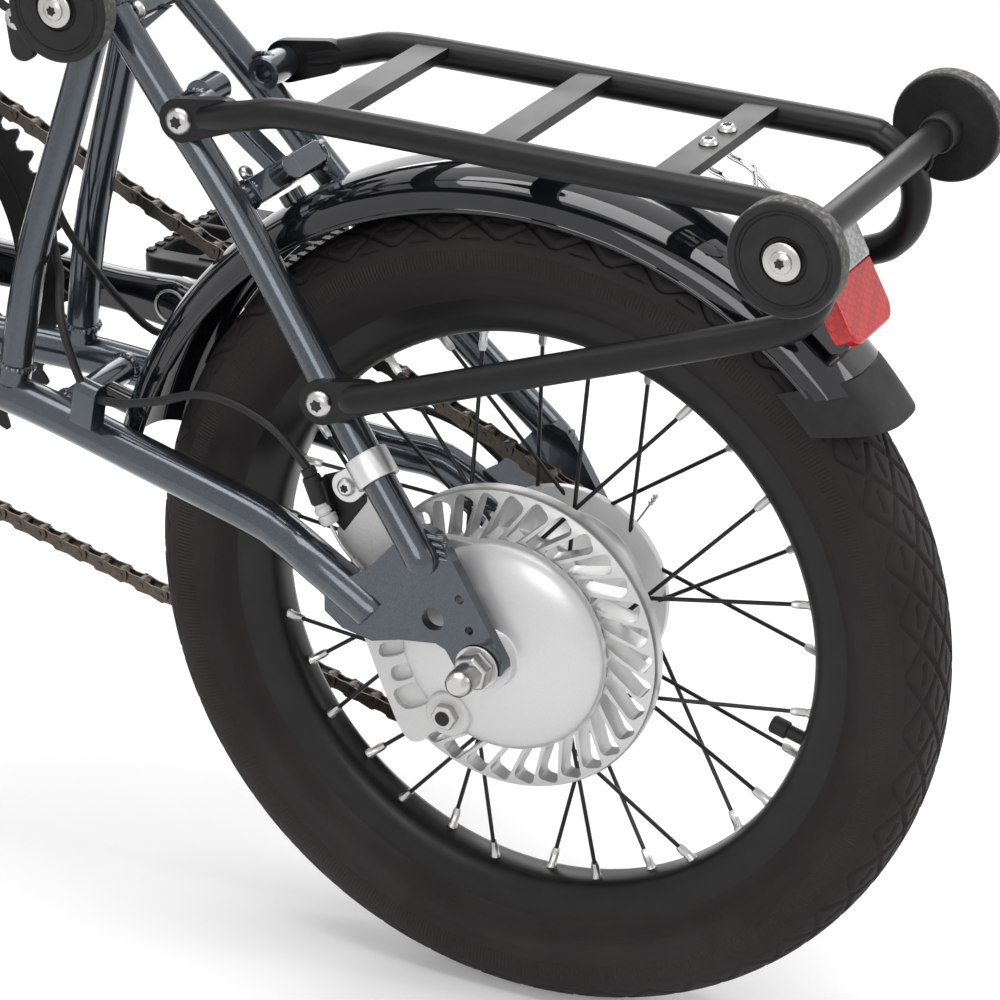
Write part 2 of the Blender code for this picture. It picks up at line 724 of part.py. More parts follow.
def brake_arm_clip(look):
    """The band round the left seat stay, its ear for the brake arm's screw, and the cable stop."""
    upper = rear(-0.0627, -0.0632, 0.0929)
    lower = rear(-0.0300, -0.0745, 0.0550)
    along = (lower - upper).normalized()
    centre = upper + along * 0.010
    out = (Y_AXIS - along * along.y).normalized()
    section = [(0.0050, -0.007), (0.0105, -0.007), (0.0105, 0.007), (0.0050, 0.007)]
    band = turned(section, centre, 12, along, out)
    screw = rear_place(BRAKE_ARM_SCREW)
    ear = plate(link(side_of(centre), 0.0090, side_of(screw), 0.0070), -0.0580, -0.0540 - GAP)
    stop = box(rear(-0.0830, -0.0575, 0.0800), (0.0150, 0.0070, 0.0180))
    shaft = cross_rod(screw, 0.0025, -0.0600, -0.0492, SMALL_STEPS)
    head = cross_rod(screw, 0.0052, -0.0610, -0.0575, SMALL_STEPS)
    join(band, ear, stop, shaft, head)
    hollow = rod(centre - along * 0.020, centre + along * 0.020, SEAT_STAY_RADIUS + GAP + 0.0003, 12)
    cut(band, hollow)
    keep(band, "brake_arm_clip", look)


# Rack, fender and light
def rack(look):
    parts = []
    for side in SIDES:
        y = side * RACK_HALF_WIDTH
        rail = [
            rear(-0.1550, side * 0.0545, 0.2328),
            rear(-0.125, side * 0.0550, 0.2400),
            rear(-0.104, y, 0.2445),
            rear(-0.060, y, 0.2440),
            rear(0.110, y, 0.2385),
        ]
        for back, up in arc(RACK_TAIL_BEND, 0.0284, 88, -68, 6):
            rail.append(rear(back, y, up))
        rail.append(rear(0.110, side * 0.0585, 0.1735))
        rail.append(rear(-0.052, side * 0.0735, 0.1230))
        rail.append(rear(-0.0740, side * 0.0748, 0.1170))
        parts.append(tube(rail, RACK_RADIUS, 8))
        low, high = sorted((side * RACK_SEAT_Y, side * 0.0530))
        parts.append(cross_rod(rear_place(RACK_UPPER_SEAT), 0.0100, low, high))
        low, high = sorted((side * 0.0520, side * 0.0560))
        parts.append(cross_rod(rear_place(RACK_UPPER_SEAT), 0.0060, low, high))
        low, high = sorted((side * (LOWER_SEAT_Y + GAP), side * (LOWER_SEAT_Y + 0.0052)))
        parts.append(cross_rod(rear_place(RACK_LOWER_SEAT), 0.0100, low, high))
        low, high = sorted((side * (LOWER_SEAT_Y + 0.0042), side * (LOWER_SEAT_Y + 0.0092)))
        parts.append(cross_rod(rear_place(RACK_LOWER_SEAT), 0.0060, low, high))
        low, high = sorted((side * (REAR_ROLLER_Y - OVERLAP), side * 0.1045))
        centre = rear_place(REAR_ROLLER_PLACE)
        parts.append(cross_rod(centre, ROLLER_PIN_RADIUS, low, high))
        low, high = sorted((side * (REAR_ROLLER_Y + ROLLER_WIDTH + 2 * GAP), side * 0.1060))
        parts.append(cross_rod(centre, 0.0085, low, high))
    for back, up in ((-0.083, 0.2470), (0.0, 0.2447), (0.082, 0.2420)):
        size = (BAR_WIDTH, 2 * RACK_HALF_WIDTH, BAR_THICKNESS)
        parts.append(box(rear(back, 0, up), size))
    parts.append(box(rear(0.082, 0, 0.2320), (0.0120, 0.0200, 0.0200)))
    reach = REAR_ROLLER_Y - GAP
    body = cross_rod(rear_place(REAR_ROLLER_PLACE), RACK_RADIUS, -reach, reach)
    join(body, *parts)
    keep(body, "rack", look)


def fender_section(radius, half_width, wall):
    """The fender's section as one closed outline, from one rolled edge to the other and back."""
    shares = ((0.0100, 1.0), (0.0040, 0.70), (0.0, 0.0))
    top = [(radius - drop, share * half_width) for drop, share in shares]
    under = [(radius - drop - wall, share * (half_width - 0.0010)) for drop, share in shares]
    across_top = top + [(r, -side) for r, side in reversed(top[:-1])]
    across_under = under + [(r, -side) for r, side in reversed(under[:-1])]
    return across_top + list(reversed(across_under))


def rear_fender(look):
    section = fender_section(FENDER_RADIUS, FENDER_HALF_WIDTH, FENDER_WALL)
    start = math.radians(-37)
    shell = turned(section, REAR_AXLE, 16, start=start, sweep=-16 * FENDER_STEP)
    foot = FENDER_RADIUS - FENDER_WALL * 0.8
    for place, radius in ((SEAT_BRIDGE, SEAT_BRIDGE_RADIUS), (STAY_BRIDGE, STAY_BRIDGE_RADIUS)):
        reach = rear_place(place) - REAR_AXLE
        out = reach.normalized()
        seat = reach.length - radius - GAP
        centre = REAR_AXLE + out * (seat + foot) / 2
        join(shell, box(centre, (0.0110, 0.0160, seat - foot), Y_AXIS.cross(out), out))
    keep(shell, "rear_fender", look)


def fender_flap(look):
    radius = (FENDER_RADIUS - FENDER_WALL) * math.cos(FENDER_STEP / 2) - 2 * GAP
    section = fender_section(radius, FENDER_HALF_WIDTH - 0.0020, 0.0020)
    start = math.radians(-27)
    flap = turned(section, REAR_AXLE, 3, start=start, sweep=math.radians(-14))
    keep(flap, "fender_flap", look)


def rear_light(look):
    """A wedge: a slanted lens at the back and a foot that follows the fender."""
    lens_top = (0.1400, 0.1905)
    lens_foot = (0.1560, 0.1620)
    outline = [lens_top, lens_foot, (0.1545, 0.1612)]
    outline += arc((0, 0), FENDER_RADIUS + GAP + 0.0001, 47, 57, 3)
    outline += [(0.1215, 0.1990), (0.1300, 0.2000)]
    keep(plate(outline, -0.0240, 0.0240), "rear_light", look)


# Drive
def chain_path(circles):
    """A belt's run round circles that all lie inside it: (point, outward direction) pairs."""
    path = []
    count = len(circles)
    headings = []
    for index in range(count):
        here, radius = circles[index]
        there, next_radius = circles[(index + 1) % count]
        span = Vector((there[0] - here[0], there[1] - here[1]))
        heading = math.atan2(span.y, span.x) + math.acos((radius - next_radius) / span.length)
        headings.append(heading)
    for index in range(count):
        centre, radius = circles[index]
        first = headings[index - 1]
        last = headings[index]
        while last > first:
            last -= 2 * math.pi
        steps = max(2, math.ceil((first - last) / CHAIN_STEP))
        for step in range(steps + 1):
            angle = first + (last - first) * step / steps
            out = (math.cos(angle), math.sin(angle))
            path.append(((centre[0] + radius * out[0], centre[1] + radius * out[1]), out))
    return path


def chain(look):
    circles = [
        ((BOTTOM_BRACKET_BACK, BOTTOM_BRACKET_UP), CHAINRING_PITCH_RADIUS),
        ((0.0, 0.0), SPROCKET_PITCH_RADIUS),
        (PULLEY_PLACE, PULLEY_PITCH_RADIUS),
    ]
    form = bmesh.new()
    rings = []
    for (back, up), out in chain_path(circles):
        share = min(1.0, max(0.0, (back + 0.360) / 0.250))
        side = CHAINRING_Y + (SPROCKET_Y - CHAINRING_Y) * share
        corners = []
        for rise, shift in ((1, 1), (1, -1), (-1, -1), (-1, 1)):
            lift = rise * CHAIN_HALF_HEIGHT
            corner = rear(back + out[0] * lift, side + shift * CHAIN_HALF_WIDTH, up + out[1] * lift)
            corners.append(form.verts.new(corner))
        rings.append(corners)
    for here, there in zip(rings, rings[1:] + rings[:1]):
        for index in range(4):
            after = (index + 1) % 4
            form.faces.new((here[index], here[after], there[after], there[index]))
    keep(from_bmesh(form), "chain", look, FRAME_PIVOT)


def inside_chain(pitch_radius):
    """The radius of a wheel that lies just inside the chain's facets."""
    return (pitch_radius - CHAIN_HALF_HEIGHT) * math.cos(CHAIN_STEP / 2) - GAP


def chainring(look):
    radius = inside_chain(CHAINRING_PITCH_RADIUS)
    section = [(0.0850, -0.0015), (radius, -0.0010), (radius, 0.0010), (0.0850, 0.0015)]
    centre = BOTTOM_BRACKET + Y_AXIS * CHAINRING_Y
    keep(turned(section, centre, WHEEL_STEPS), "chainring", look, BOTTOM_BRACKET)


def rear_sprocket(look):
    bore = REAR_AXLE_RADIUS + GAP
    radius = inside_chain(SPROCKET_PITCH_RADIUS)
    section = [
        (bore, 0.0370 + GAP),
        (0.0240, 0.0370 + GAP),
        (0.0240, SPROCKET_Y - 0.0010),
        (radius, SPROCKET_Y - 0.0010),
        (radius, SPROCKET_Y + 0.0010),
        (0.0200, SPROCKET_Y + 0.0010),
        (0.0180, SPROCKET_Y + 0.0130),
        (bore, SPROCKET_Y + 0.0130),
    ]
    keep(turned(section, REAR_AXLE, 16), "rear_sprocket", look, REAR_AXLE)


def tensioner(look, pulley_look):
    pivot = rear_place(TENSIONER_PIVOT)
    wheel = rear_place(PULLEY_PLACE)
    arm = plate(link(side_of(pivot), 0.0090, side_of(wheel), 0.0080), 0.0540, 0.0580)
    pin = cross_rod(wheel, 0.0030, 0.0430, 0.0550, SMALL_STEPS)
    head = cross_rod(wheel, 0.0060, 0.0425, 0.0438 - GAP, SMALL_STEPS)
    join(arm, pin, head)
    cut(arm, cross_rod(pivot, 0.0040 + GAP, 0.050, 0.062, SMALL_STEPS))
    keep(arm, "tensioner_arm", look, pivot)
    radius = inside_chain(PULLEY_PITCH_RADIUS)
    section = [(0.0033, 0.0440), (radius, 0.0450), (radius, 0.0490), (0.0090, 0.0535), (0.0033, 0.0535)]
    keep(turned(section, wheel, 20), "tensioner_pulley", pulley_look, wheel)


def crank_axle(look):
    reach = CRANK_OUTER_Y - 0.0115
    axle = cross_rod(BOTTOM_BRACKET, CRANK_AXLE_RADIUS, -reach, reach)
    keep(axle, "crank_axle", look, BOTTOM_BRACKET)


def crank_arm(side, name, look):
    """The arm is cranked outwards, so that its pedal end stands further out than its hub end."""
    out = X_AXIS * math.cos(CRANK_SLOPE) + Z_AXIS * math.sin(CRANK_SLOPE)
    along = out if side > 0 else -out
    half = 0.0135
    low_in = CRANK_INNER_Y
    outline = [
        (-0.018, low_in + 0.002),
        (-0.018, low_in + 0.014),
        (0.030, low_in + 0.014),
        (0.110, CRANK_OUTER_Y),
        (CRANK_LENGTH + 0.014, CRANK_OUTER_Y),
        (CRANK_LENGTH + 0.014, CRANK_OUTER_Y - 0.012),
        (0.110, CRANK_OUTER_Y - 0.012),
        (0.030, low_in),
        (-0.010, low_in),
    ]
    arm = prism(outline, BOTTOM_BRACKET, along, Y_AXIS * side, -half, half)
    ends = [cross_rod(BOTTOM_BRACKET, 0.0180, *sorted((side * low_in, side * (low_in + 0.014))))]
    join(arm, *ends)
    if side > 0:
        for index in range(5):
            angle = CRANK_SLOPE + math.radians(36 + 72 * index)
            reach = X_AXIS * math.cos(angle) + Z_AXIS * math.sin(angle)
            start = BOTTOM_BRACKET + reach * 0.006
            end = BOTTOM_BRACKET + reach * 0.0960
            middle = (start + end) / 2 + Y_AXIS * (CHAINRING_Y + 0.0015 + GAP + 0.0020)
            spoke = box(middle, ((end - start).length, 0.0040, 0.0140), reach, reach.cross(Y_AXIS))
            join(arm, spoke)
        join(arm, cross_rod(BOTTOM_BRACKET, 0.0240, CHAINRING_Y + 0.0020, low_in + 0.003))
    cut(arm, cross_rod(BOTTOM_BRACKET, CRANK_AXLE_RADIUS + GAP, -0.1, 0.1))
    pedal_eye = BOTTOM_BRACKET + along * CRANK_LENGTH
    cut(arm, cross_rod(pedal_eye, running_bore(PEDAL_PIN_RADIUS, SMALL_STEPS), -0.1, 0.1, SMALL_STEPS))
    keep(arm, name, look, BOTTOM_BRACKET)


def pedal(side, name, look, axle_look):
    out = X_AXIS * math.cos(CRANK_SLOPE) + Z_AXIS * math.sin(CRANK_SLOPE)
    eye = BOTTOM_BRACKET + (out if side > 0 else -out) * CRANK_LENGTH
    inner = CRANK_OUTER_Y + 0.0005
    along = Y_AXIS * side
    start = eye + along * (inner - 0.0125)
    carrier = rod(start, eye + along * (inner + 0.0040), PEDAL_PIN_RADIUS, SMALL_STEPS)
    join(carrier, rod(eye + along * inner, eye + along * (inner + 0.0034), 0.0110, SMALL_STEPS))
    join(carrier, rod(eye + along * (inner + 0.0024), eye + along * (inner + 0.0080), 0.0068, SMALL_STEPS))
    hinge = eye + Y_AXIS * side * (inner + 0.0150)
    web = box(eye + Y_AXIS * side * (inner + 0.0100), (0.0260, 0.0090, 0.0060))
    join(carrier, web, rod(hinge - X_AXIS * 0.013, hinge + X_AXIS * 0.013, 0.0050, SMALL_STEPS))
    cut(carrier, rod(hinge - X_AXIS * 0.030, hinge + X_AXIS * 0.030, 0.0023, SMALL_STEPS))
    keep(carrier, f"{name}_axle", axle_look, eye)
    start = hinge.y + side * 0.0075
    middle = Vector((eye.x, start + side * PEDAL_WIDTH / 2, eye.z))
    size = (2 * PEDAL_HALF_LENGTH, PEDAL_WIDTH, 2 * PEDAL_HALF_THICKNESS)
    platform = box(middle, size)
    for shift in (-0.022, 0.022):
        hole = box(middle + X_AXIS * shift, (0.0240, PEDAL_WIDTH - 0.030, 0.0500))
        cut(platform, hole)
    for end in SIDES:
        arm = box(hinge + X_AXIS * end * 0.0180 + Y_AXIS * side * 0.0040, (0.0090, 0.0160, 0.0100))
        join(platform, arm)
    join(platform, rod(hinge - X_AXIS * 0.0200, hinge + X_AXIS * 0.0200, 0.0020, SMALL_STEPS))
    keep(platform, name, look, hinge)
    return hinge


# Main frame
def beam_section(shrink=0.0):
    return rounded(BEAM_HALF_WIDTH - shrink, BEAM_HALF_DEPTH - shrink, 0.012 - shrink, 3)


def along_beam(outline, start_x, end_x):
    """An outline of (across, up) pushed along the bike between two places."""
    return prism(outline, Vector((0, 0, BEAM_HEIGHT)), Y_AXIS, Z_AXIS, start_x, end_x)


def hinge_outline():
    low = HINGE_Y + HINGE_KNUCKLE_RADIUS + 0.0005
    high = BEAM_HALF_WIDTH + 0.005
    middle = (low + high) / 2
    outline = rounded((high - low) / 2, BEAM_HALF_DEPTH + 0.008, 0.010, 3)
    return [(across + middle, up) for across, up in outline]


def knuckle(low, high, plate_x):
    """One barrel of the beam hinge with the web that ties it to its plate."""
    centre = Vector((HINGE_X, HINGE_Y, BEAM_HEIGHT))
    barrel = rod(centre + Z_AXIS * low, centre + Z_AXIS * high, HINGE_KNUCKLE_RADIUS)
    middle = Vector(((plate_x + HINGE_X) / 2, HINGE_Y + 0.008, BEAM_HEIGHT + (low + high) / 2))
    reach = abs(plate_x - HINGE_X)
    web = box(middle, (reach, 0.0200, high - low))
    return [barrel, web]


def main_frame(look):
    shell = cross_rod(BOTTOM_BRACKET, BOTTOM_BRACKET_RADIUS, -BOTTOM_BRACKET_HALF, BOTTOM_BRACKET_HALF, 12)
    top = seat_tube(SEAT_TUBE_TOP)
    parts = [rod(BOTTOM_BRACKET, top, SEAT_TUBE_RADIUS)]
    parts.append(rod(top - SEAT_UP * 0.030, top + SEAT_UP * 0.001, 0.0215))
    block_end = CROWN - X_AXIS * (CROWN_RADIUS + 2 * GAP + BLOCK_LENGTH)
    parts.append(rod(seat_tube(block_end.z), block_end - X_AXIS * 0.003, 0.0120))
    parts.append(rod(block_end - X_AXIS * 0.006, block_end, BLOCK_RADIUS + 0.002))
    for side in SIDES:
        bracket = side_of(BOTTOM_BRACKET)
        outline = link(bracket, BOTTOM_BRACKET_RADIUS, side_of(FRAME_PIVOT), EAR_PIVOT_RADIUS)
        low, high = sorted((side * EAR_INNER_Y, side * EAR_OUTER_Y))
        parts.append(plate(outline, low, high))
    end_x = seat_tube(BEAM_HEIGHT).x
    parts.append(along_beam(beam_section(), HINGE_X + HINGE_PLATE / 2, end_x))
    parts.append(along_beam(hinge_outline(), HINGE_X + GAP / 2, HINGE_X + HINGE_PLATE))
    parts += knuckle(-0.016, 0.016, HINGE_X + HINGE_PLATE)
    join(shell, *parts)
    hollow = along_beam(beam_section(BEAM_WALL), HINGE_X - 0.020, HINGE_X + BATTERY_LENGTH + 0.003)
    post_bore = rod(seat_tube(0.345), top + SEAT_UP * 0.050, SEAT_POST_RADIUS + GAP)
    axle_bore = cross_rod(BOTTOM_BRACKET, running_bore(CRANK_AXLE_RADIUS, ROUND_STEPS), -0.060, 0.060)
    pin_bore = rod(
        Vector((HINGE_X, HINGE_Y, BEAM_HEIGHT - 0.06)),
        Vector((HINGE_X, HINGE_Y, BEAM_HEIGHT + 0.06)),
        0.0040 + GAP,
    )
    cut(shell, hollow, post_bore, axle_bore, pin_bore)
    join(shell, cross_rod(FRAME_PIVOT, PIVOT_PIN_RADIUS, -EAR_OUTER_Y, EAR_OUTER_Y))
    hip = Vector((STAND_PIVOT_X, 0, STAND_PIVOT_Z))
    reach = STAND_HIP_Y - STAND_LEG_RADIUS - GAP
    join(shell, cross_rod(hip, 0.0090, -reach, reach))
    join(shell, box(hip + Z_AXIS * 0.0100, (0.0160, 0.0440, 0.0160)))
    reach = STAND_HIP_Y + 0.010
    join(shell, cross_rod(hip, STAND_PIN_RADIUS, -reach, reach, SMALL_STEPS))
    lever = lever_pivot()
    join(shell, *lugs(lever, SEAT_UP, 0.0050, 0.0030, 0.0055, 0.0022))
    for side in SIDES:
        tie = lever + SEAT_UP * side * 0.0068 + Y_AXIS * 0.0045
        join(shell, box(tie, (0.0090, 0.0130, 0.0030), SEAT_BACK, SEAT_UP))
    keep(shell, "main_frame", look)


def lever_pivot():
    """Where the seat clamp's lever turns, on the left of the collar."""
    return seat_tube(SEAT_TUBE_TOP) - SEAT_UP * 0.015 - Y_AXIS * 0.0290


def seat_clamp_lever(look):
    centre = lever_pivot()
    lever = ring(centre, SEAT_UP, 0.0022 + GAP, 0.0055, -0.0050, 0.0050, SMALL_STEPS)
    blade = box(centre + SEAT_BACK * 0.0300, (0.0500, 0.0060, 0.0095), SEAT_BACK, SEAT_UP)
    join(lever, blade)
    keep(lever, "seat_clamp_lever", look, centre)


def battery(look):
    outline = beam_section(BEAM_WALL + GAP)
    keep(along_beam(outline, HINGE_X + 0.0010, HINGE_X + BATTERY_LENGTH), "battery", look)


def centre_stand(look):
    hip = Vector((STAND_PIVOT_X, 0, STAND_PIVOT_Z))
    body = None
    for side in SIDES:
        top = hip + Y_AXIS * side * STAND_HIP_Y
        foot = Vector((STAND_FOOT_X, side * STAND_FOOT_Y, STAND_LEG_RADIUS))
        leg = tube([top, foot], STAND_LEG_RADIUS)
        pad = rod(foot - Z_AXIS * STAND_LEG_RADIUS, foot + Z_AXIS * 0.006, 0.0150)
        eye_low, eye_high = sorted((side * (STAND_HIP_Y - 0.008), side * (STAND_HIP_Y + 0.008)))
        join(leg, pad, cross_rod(hip, 0.0105, eye_low, eye_high))
        body = leg if body is None else join(body, leg)
    brace = Vector((STAND_FOOT_X, 0, 0)) - hip
    level = hip + brace * STAND_BAR_SHARE
    width = STAND_HIP_Y + (STAND_FOOT_Y - STAND_HIP_Y) * STAND_BAR_SHARE
    join(body, cross_rod(level, 0.0060, -width, width, SMALL_STEPS))
    cut(body, cross_rod(hip, running_bore(STAND_PIN_RADIUS, SMALL_STEPS), -0.070, 0.070, SMALL_STEPS))
    keep(body, "centre_stand", look, hip)


def seat_post(look):
    top = seat_tube(SEAT_POST_TOP)
    keep(rod(top - SEAT_UP * SEAT_POST_LENGTH, top, SEAT_POST_RADIUS), "seat_post", look)


def saddle_base(look):
    top = seat_tube(SEAT_POST_TOP)
    head = ring(top, SEAT_UP, SEAT_POST_RADIUS + GAP, 0.0170, -0.020, 0.001)
    join(head, box(top + SEAT_UP * 0.0100, (0.034, 0.034, 0.0190), SEAT_BACK, SEAT_UP))
    join(head, box(top + Vector((0.006, 0, 0.0130)), (0.036, 0.050, 0.0170)))
    for side in SIDES:
        rail = [
            top + Vector((-0.105, side * 0.008, 0.0300)),
            top + Vector((-0.075, side * 0.016, 0.0180)),
            top + Vector((-0.045, side * 0.0215, 0.0120)),
            top + Vector((0.050, side * 0.0215, 0.0120)),
            top + Vector((0.085, side * 0.026, 0.0200)),
            top + Vector((0.110, side * 0.034, 0.0300)),
        ]
        join(head, tube(rail, 0.0035, 8))
    keep(head, "saddle_base", look)


def saddle(look):
    """A lofted pad: narrow nose, broad tail, with a slightly dished top."""
    top = seat_tube(SEAT_POST_TOP)
    form = bmesh.new()
    rings = []
    stations = 12
    for index in range(stations + 1):
        share = index / stations
        back = -0.145 + SADDLE_LENGTH * share
        width = 0.020 + (SADDLE_HALF_WIDTH - 0.020) * (1 / (1 + math.exp(-11 * (share - 0.60))))
        if index in (0, stations):
            width *= 0.72
        lift = 0.0600 + 0.010 * math.cos(2 * math.pi * share) - 0.006 * (index in (0, stations))
        floor = 0.0335 + GAP
        outline = [
            (0, lift),
            (width * 0.55, lift - 0.002),
            (width * 0.90, lift - 0.010),
            (width, lift - 0.022),
            (width * 0.90, floor),
            (-width * 0.90, floor),
            (-width, lift - 0.022),
            (-width * 0.90, lift - 0.010),
            (-width * 0.55, lift - 0.002),
        ]
        rings.append([form.verts.new(top + Vector((back, side, up))) for side, up in outline])
    for here, there in zip(rings, rings[1:]):
        count = len(here)
        for index in range(count):
            after = (index + 1) % count
            form.faces.new((here[index], here[after], there[after], there[index]))
    form.faces.new(rings[0])
    form.faces.new(list(reversed(rings[-1])))
    keep(from_bmesh(form), "saddle", look)


# Front frame and steering
def front_frame(look):
    head_low = column(HEAD_TUBE_LOW)
    head_high = column(HEAD_TUBE_HIGH)
    head = rod(head_low, head_high, HEAD_TUBE_RADIUS, 12)
    end_x = column((BEAM_HEIGHT - WHEEL_RADIUS) / COLUMN_UP.z).x
    parts = [along_beam(beam_section(), end_x, HINGE_X - HINGE_PLATE / 2)]
    parts.append(along_beam(hinge_outline(), HINGE_X - HINGE_PLATE, HINGE_X - GAP / 2))
    parts += knuckle(-0.043, -0.016 - GAP, HINGE_X - HINGE_PLATE)
    parts += knuckle(0.016 + GAP, 0.043, HINGE_X - HINGE_PLATE)
    low = Vector((HINGE_X, HINGE_Y, BEAM_HEIGHT - 0.040))
    parts.append(rod(low, low + Z_AXIS * 0.080, 0.0040))
    pivot = hinge_lever_pivot()
    parts += lugs(pivot, Z_AXIS, 0.0080, 0.0040, 0.0065, 0.0030)
    for side in SIDES:
        middle = pivot + Z_AXIS * side * (0.0080 + GAP + 0.0020) - Y_AXIS * 0.0080
        parts.append(box(middle, (0.0120, 0.0180, 0.0040)))
    light_seat = column(0.395, 0, HEAD_TUBE_RADIUS - 0.003)
    parts.append(rod(light_seat, light_seat + COLUMN_FORE * 0.0150, 0.0080))
    join(head, *parts)
    bore = running_bore(STEERER_RADIUS, 12)
    cut(head, rod(column(HEAD_TUBE_LOW - 0.02), column(HEAD_TUBE_HIGH + 0.02), bore, 12))
    keep(head, "front_frame", look, Vector((HINGE_X, HINGE_Y, BEAM_HEIGHT)))


def hinge_lever_pivot():
    return Vector((HINGE_X - 0.022, BEAM_HALF_WIDTH + 0.0125, BEAM_HEIGHT))


def frame_hinge_lever(look):
    centre = hinge_lever_pivot()
    lever = ring(centre, Z_AXIS, 0.0030 + GAP, 0.0065, -0.0080, 0.0080, SMALL_STEPS)
    join(lever, box(centre + Vector((0.0560, 0.0010, 0)), (0.1030, 0.0060, 0.0150)))
    keep(lever, "frame_hinge_lever", look, centre)


def front_light(look):
    start = column(0.395, 0, HEAD_TUBE_RADIUS + 0.012 + GAP)
    section = [(0, 0), (0.0160, 0), (0.0240, 0.014), (0.0240, 0.032), (0.0210, 0.036), (0, 0.036)]
    keep(turned(section, start, 14, COLUMN_FORE, Y_AXIS), "front_light", look)


def fork(look):
    steerer = rod(column(CROWN_HEIGHT), column(STEERER_TOP), STEERER_RADIUS, 12)
    parts = [rod(column(CROWN_HEIGHT + 0.0150), column(HEAD_TUBE_LOW - GAP), 0.0190, 12)]
    parts.append(rod(column(CROWN_HEIGHT, -0.047), column(CROWN_HEIGHT, 0.047), 0.0140))
    for side in SIDES:
        leg = [
            column(CROWN_HEIGHT + 0.004, side * 0.0400, 0),
            column(0.190, side * 0.0460, 0),
            column(0.090, side * 0.0515, 0.0060),
            column(0.022, side * 0.0525, 0.0240),
        ]
        parts.append(tube(leg, FORK_LEG_RADIUS))
        low, high = sorted((side * FORK_DROPOUT_INNER_Y, side * FORK_DROPOUT_OUTER_Y))
        centre = side_of(FRONT_AXLE)
        tip = side_of(column(0.040, 0, 0.020))
        parts.append(plate(link(centre, 0.0130, tip, 0.0100), low, high))
    join(steerer, *parts)
    cut(steerer, cross_rod(FRONT_AXLE, FRONT_AXLE_RADIUS + GAP, -0.080, 0.080))
    keep(steerer, "fork", look, column(HEAD_TUBE_LOW))


def front_brake(look):
    """A calliper arch in front of the crown, its arms reaching down to a pad on each side of the rim."""
    inner = 0.0320
    outer = 0.0430
    under = CROWN_HEIGHT - 0.0155
    shoulder = CROWN_HEIGHT - 0.0035
    top = CROWN_HEIGHT + 0.0125
    arch = [
        (-outer, 0.1440),
        (-inner, 0.1440),
        (-inner, under),
        (inner, under),
        (inner, 0.1440),
        (outer, 0.1440),
        (outer, shoulder),
        (0.0200, top),
        (-0.0200, top),
        (-outer, shoulder),
    ]
    near = FORK_LEG_RADIUS + 0.0035
    body = prism(arch, COLUMN_FOOT, Y_AXIS, COLUMN_UP, -near - 0.0090, -near)
    pads = []
    for side in SIDES:
        reach = (RIM_HALF_WIDTH + 0.0006 + outer) / 2
        width = outer - RIM_HALF_WIDTH - 0.0006
        place = column(0.1500, side * reach, near + 0.0200)
        pads.append(box(place, (0.0400, width, 0.0090), COLUMN_FORE, COLUMN_UP))
    crown = CROWN_HEIGHT + 0.004
    bolt = rod(column(crown, 0, 0.0140 + GAP), column(crown, 0, 0.0300), 0.0050, SMALL_STEPS)
    join(body, *pads, bolt)
    keep(body, "front_brake", look)


def front_fender(look):
    section = fender_section(FENDER_RADIUS, FENDER_HALF_WIDTH, FENDER_WALL)
    start = math.radians(-40)
    shell = turned(section, FRONT_AXLE, 11, start=start, sweep=math.radians(-94))
    foot = FENDER_RADIUS - FENDER_WALL * 0.8
    top = CROWN_HEIGHT - 0.0140 - GAP
    centre = column((top + foot) / 2 - 0.001, 0, 0)
    join(shell, box(centre, (0.0120, 0.0160, top - foot + 0.002), COLUMN_FORE, COLUMN_UP))
    keep(shell, "front_fender", look)


def fold_axis():
    """The handlepost's hinge line, level and turned half way between ahead and across."""
    return (Y_AXIS - COLUMN_FORE).normalized()


def fold_point():
    share = POST_FOLD_OFFSET / math.sqrt(2)
    return column(POST_FOLD_HEIGHT, share, share)


def handlepost_base(look):
    low = HEAD_TUBE_HIGH + GAP
    top = POST_FOLD_HEIGHT - GAP / 2
    base = rod(column(low), column(top), 0.0190, 12)
    axis = fold_axis()
    centre = fold_point()
    out = (Y_AXIS + COLUMN_FORE).normalized()
    join(base, rod(centre - axis * 0.0080, centre + axis * 0.0080, 0.0080))
    web = centre - out * 0.0080 - COLUMN_UP * 0.0052
    join(base, box(web, (0.0180, 0.0160, 0.0100), out, COLUMN_UP))
    cut(base, rod(centre - axis * 0.050, centre + axis * 0.050, 0.0030 + GAP))
    cut(base, rod(column(low - 0.010), column(STEERER_TOP + GAP), STEERER_RADIUS + GAP, 12))
    pivot = post_lever_pivot()
    join(base, *lugs(pivot, axis, 0.0050, 0.0030, 0.0055, 0.0022))
    for side in SIDES:
        middle = pivot + axis * side * (0.0050 + GAP + 0.0015) + out * 0.0070
        join(base, box(middle, (0.0160, 0.0030, 0.0090), out, COLUMN_UP))
    keep(base, "handlepost_base", look)


def post_lever_pivot():
    out = (Y_AXIS + COLUMN_FORE).normalized()
    return column(POST_FOLD_HEIGHT - 0.0200) - out * 0.0270


def handlepost_lever(look):
    axis = fold_axis()
    centre = post_lever_pivot()
    out = (Y_AXIS + COLUMN_FORE).normalized()
    lever = ring(centre, axis, 0.0022 + GAP, 0.0055, -0.0050, 0.0050, SMALL_STEPS)
    join(lever, box(centre + COLUMN_UP * 0.0390 - out * 0.0010, (0.0060, 0.0095, 0.0690), out, COLUMN_UP))
    keep(lever, "handlepost_lever", look, centre)


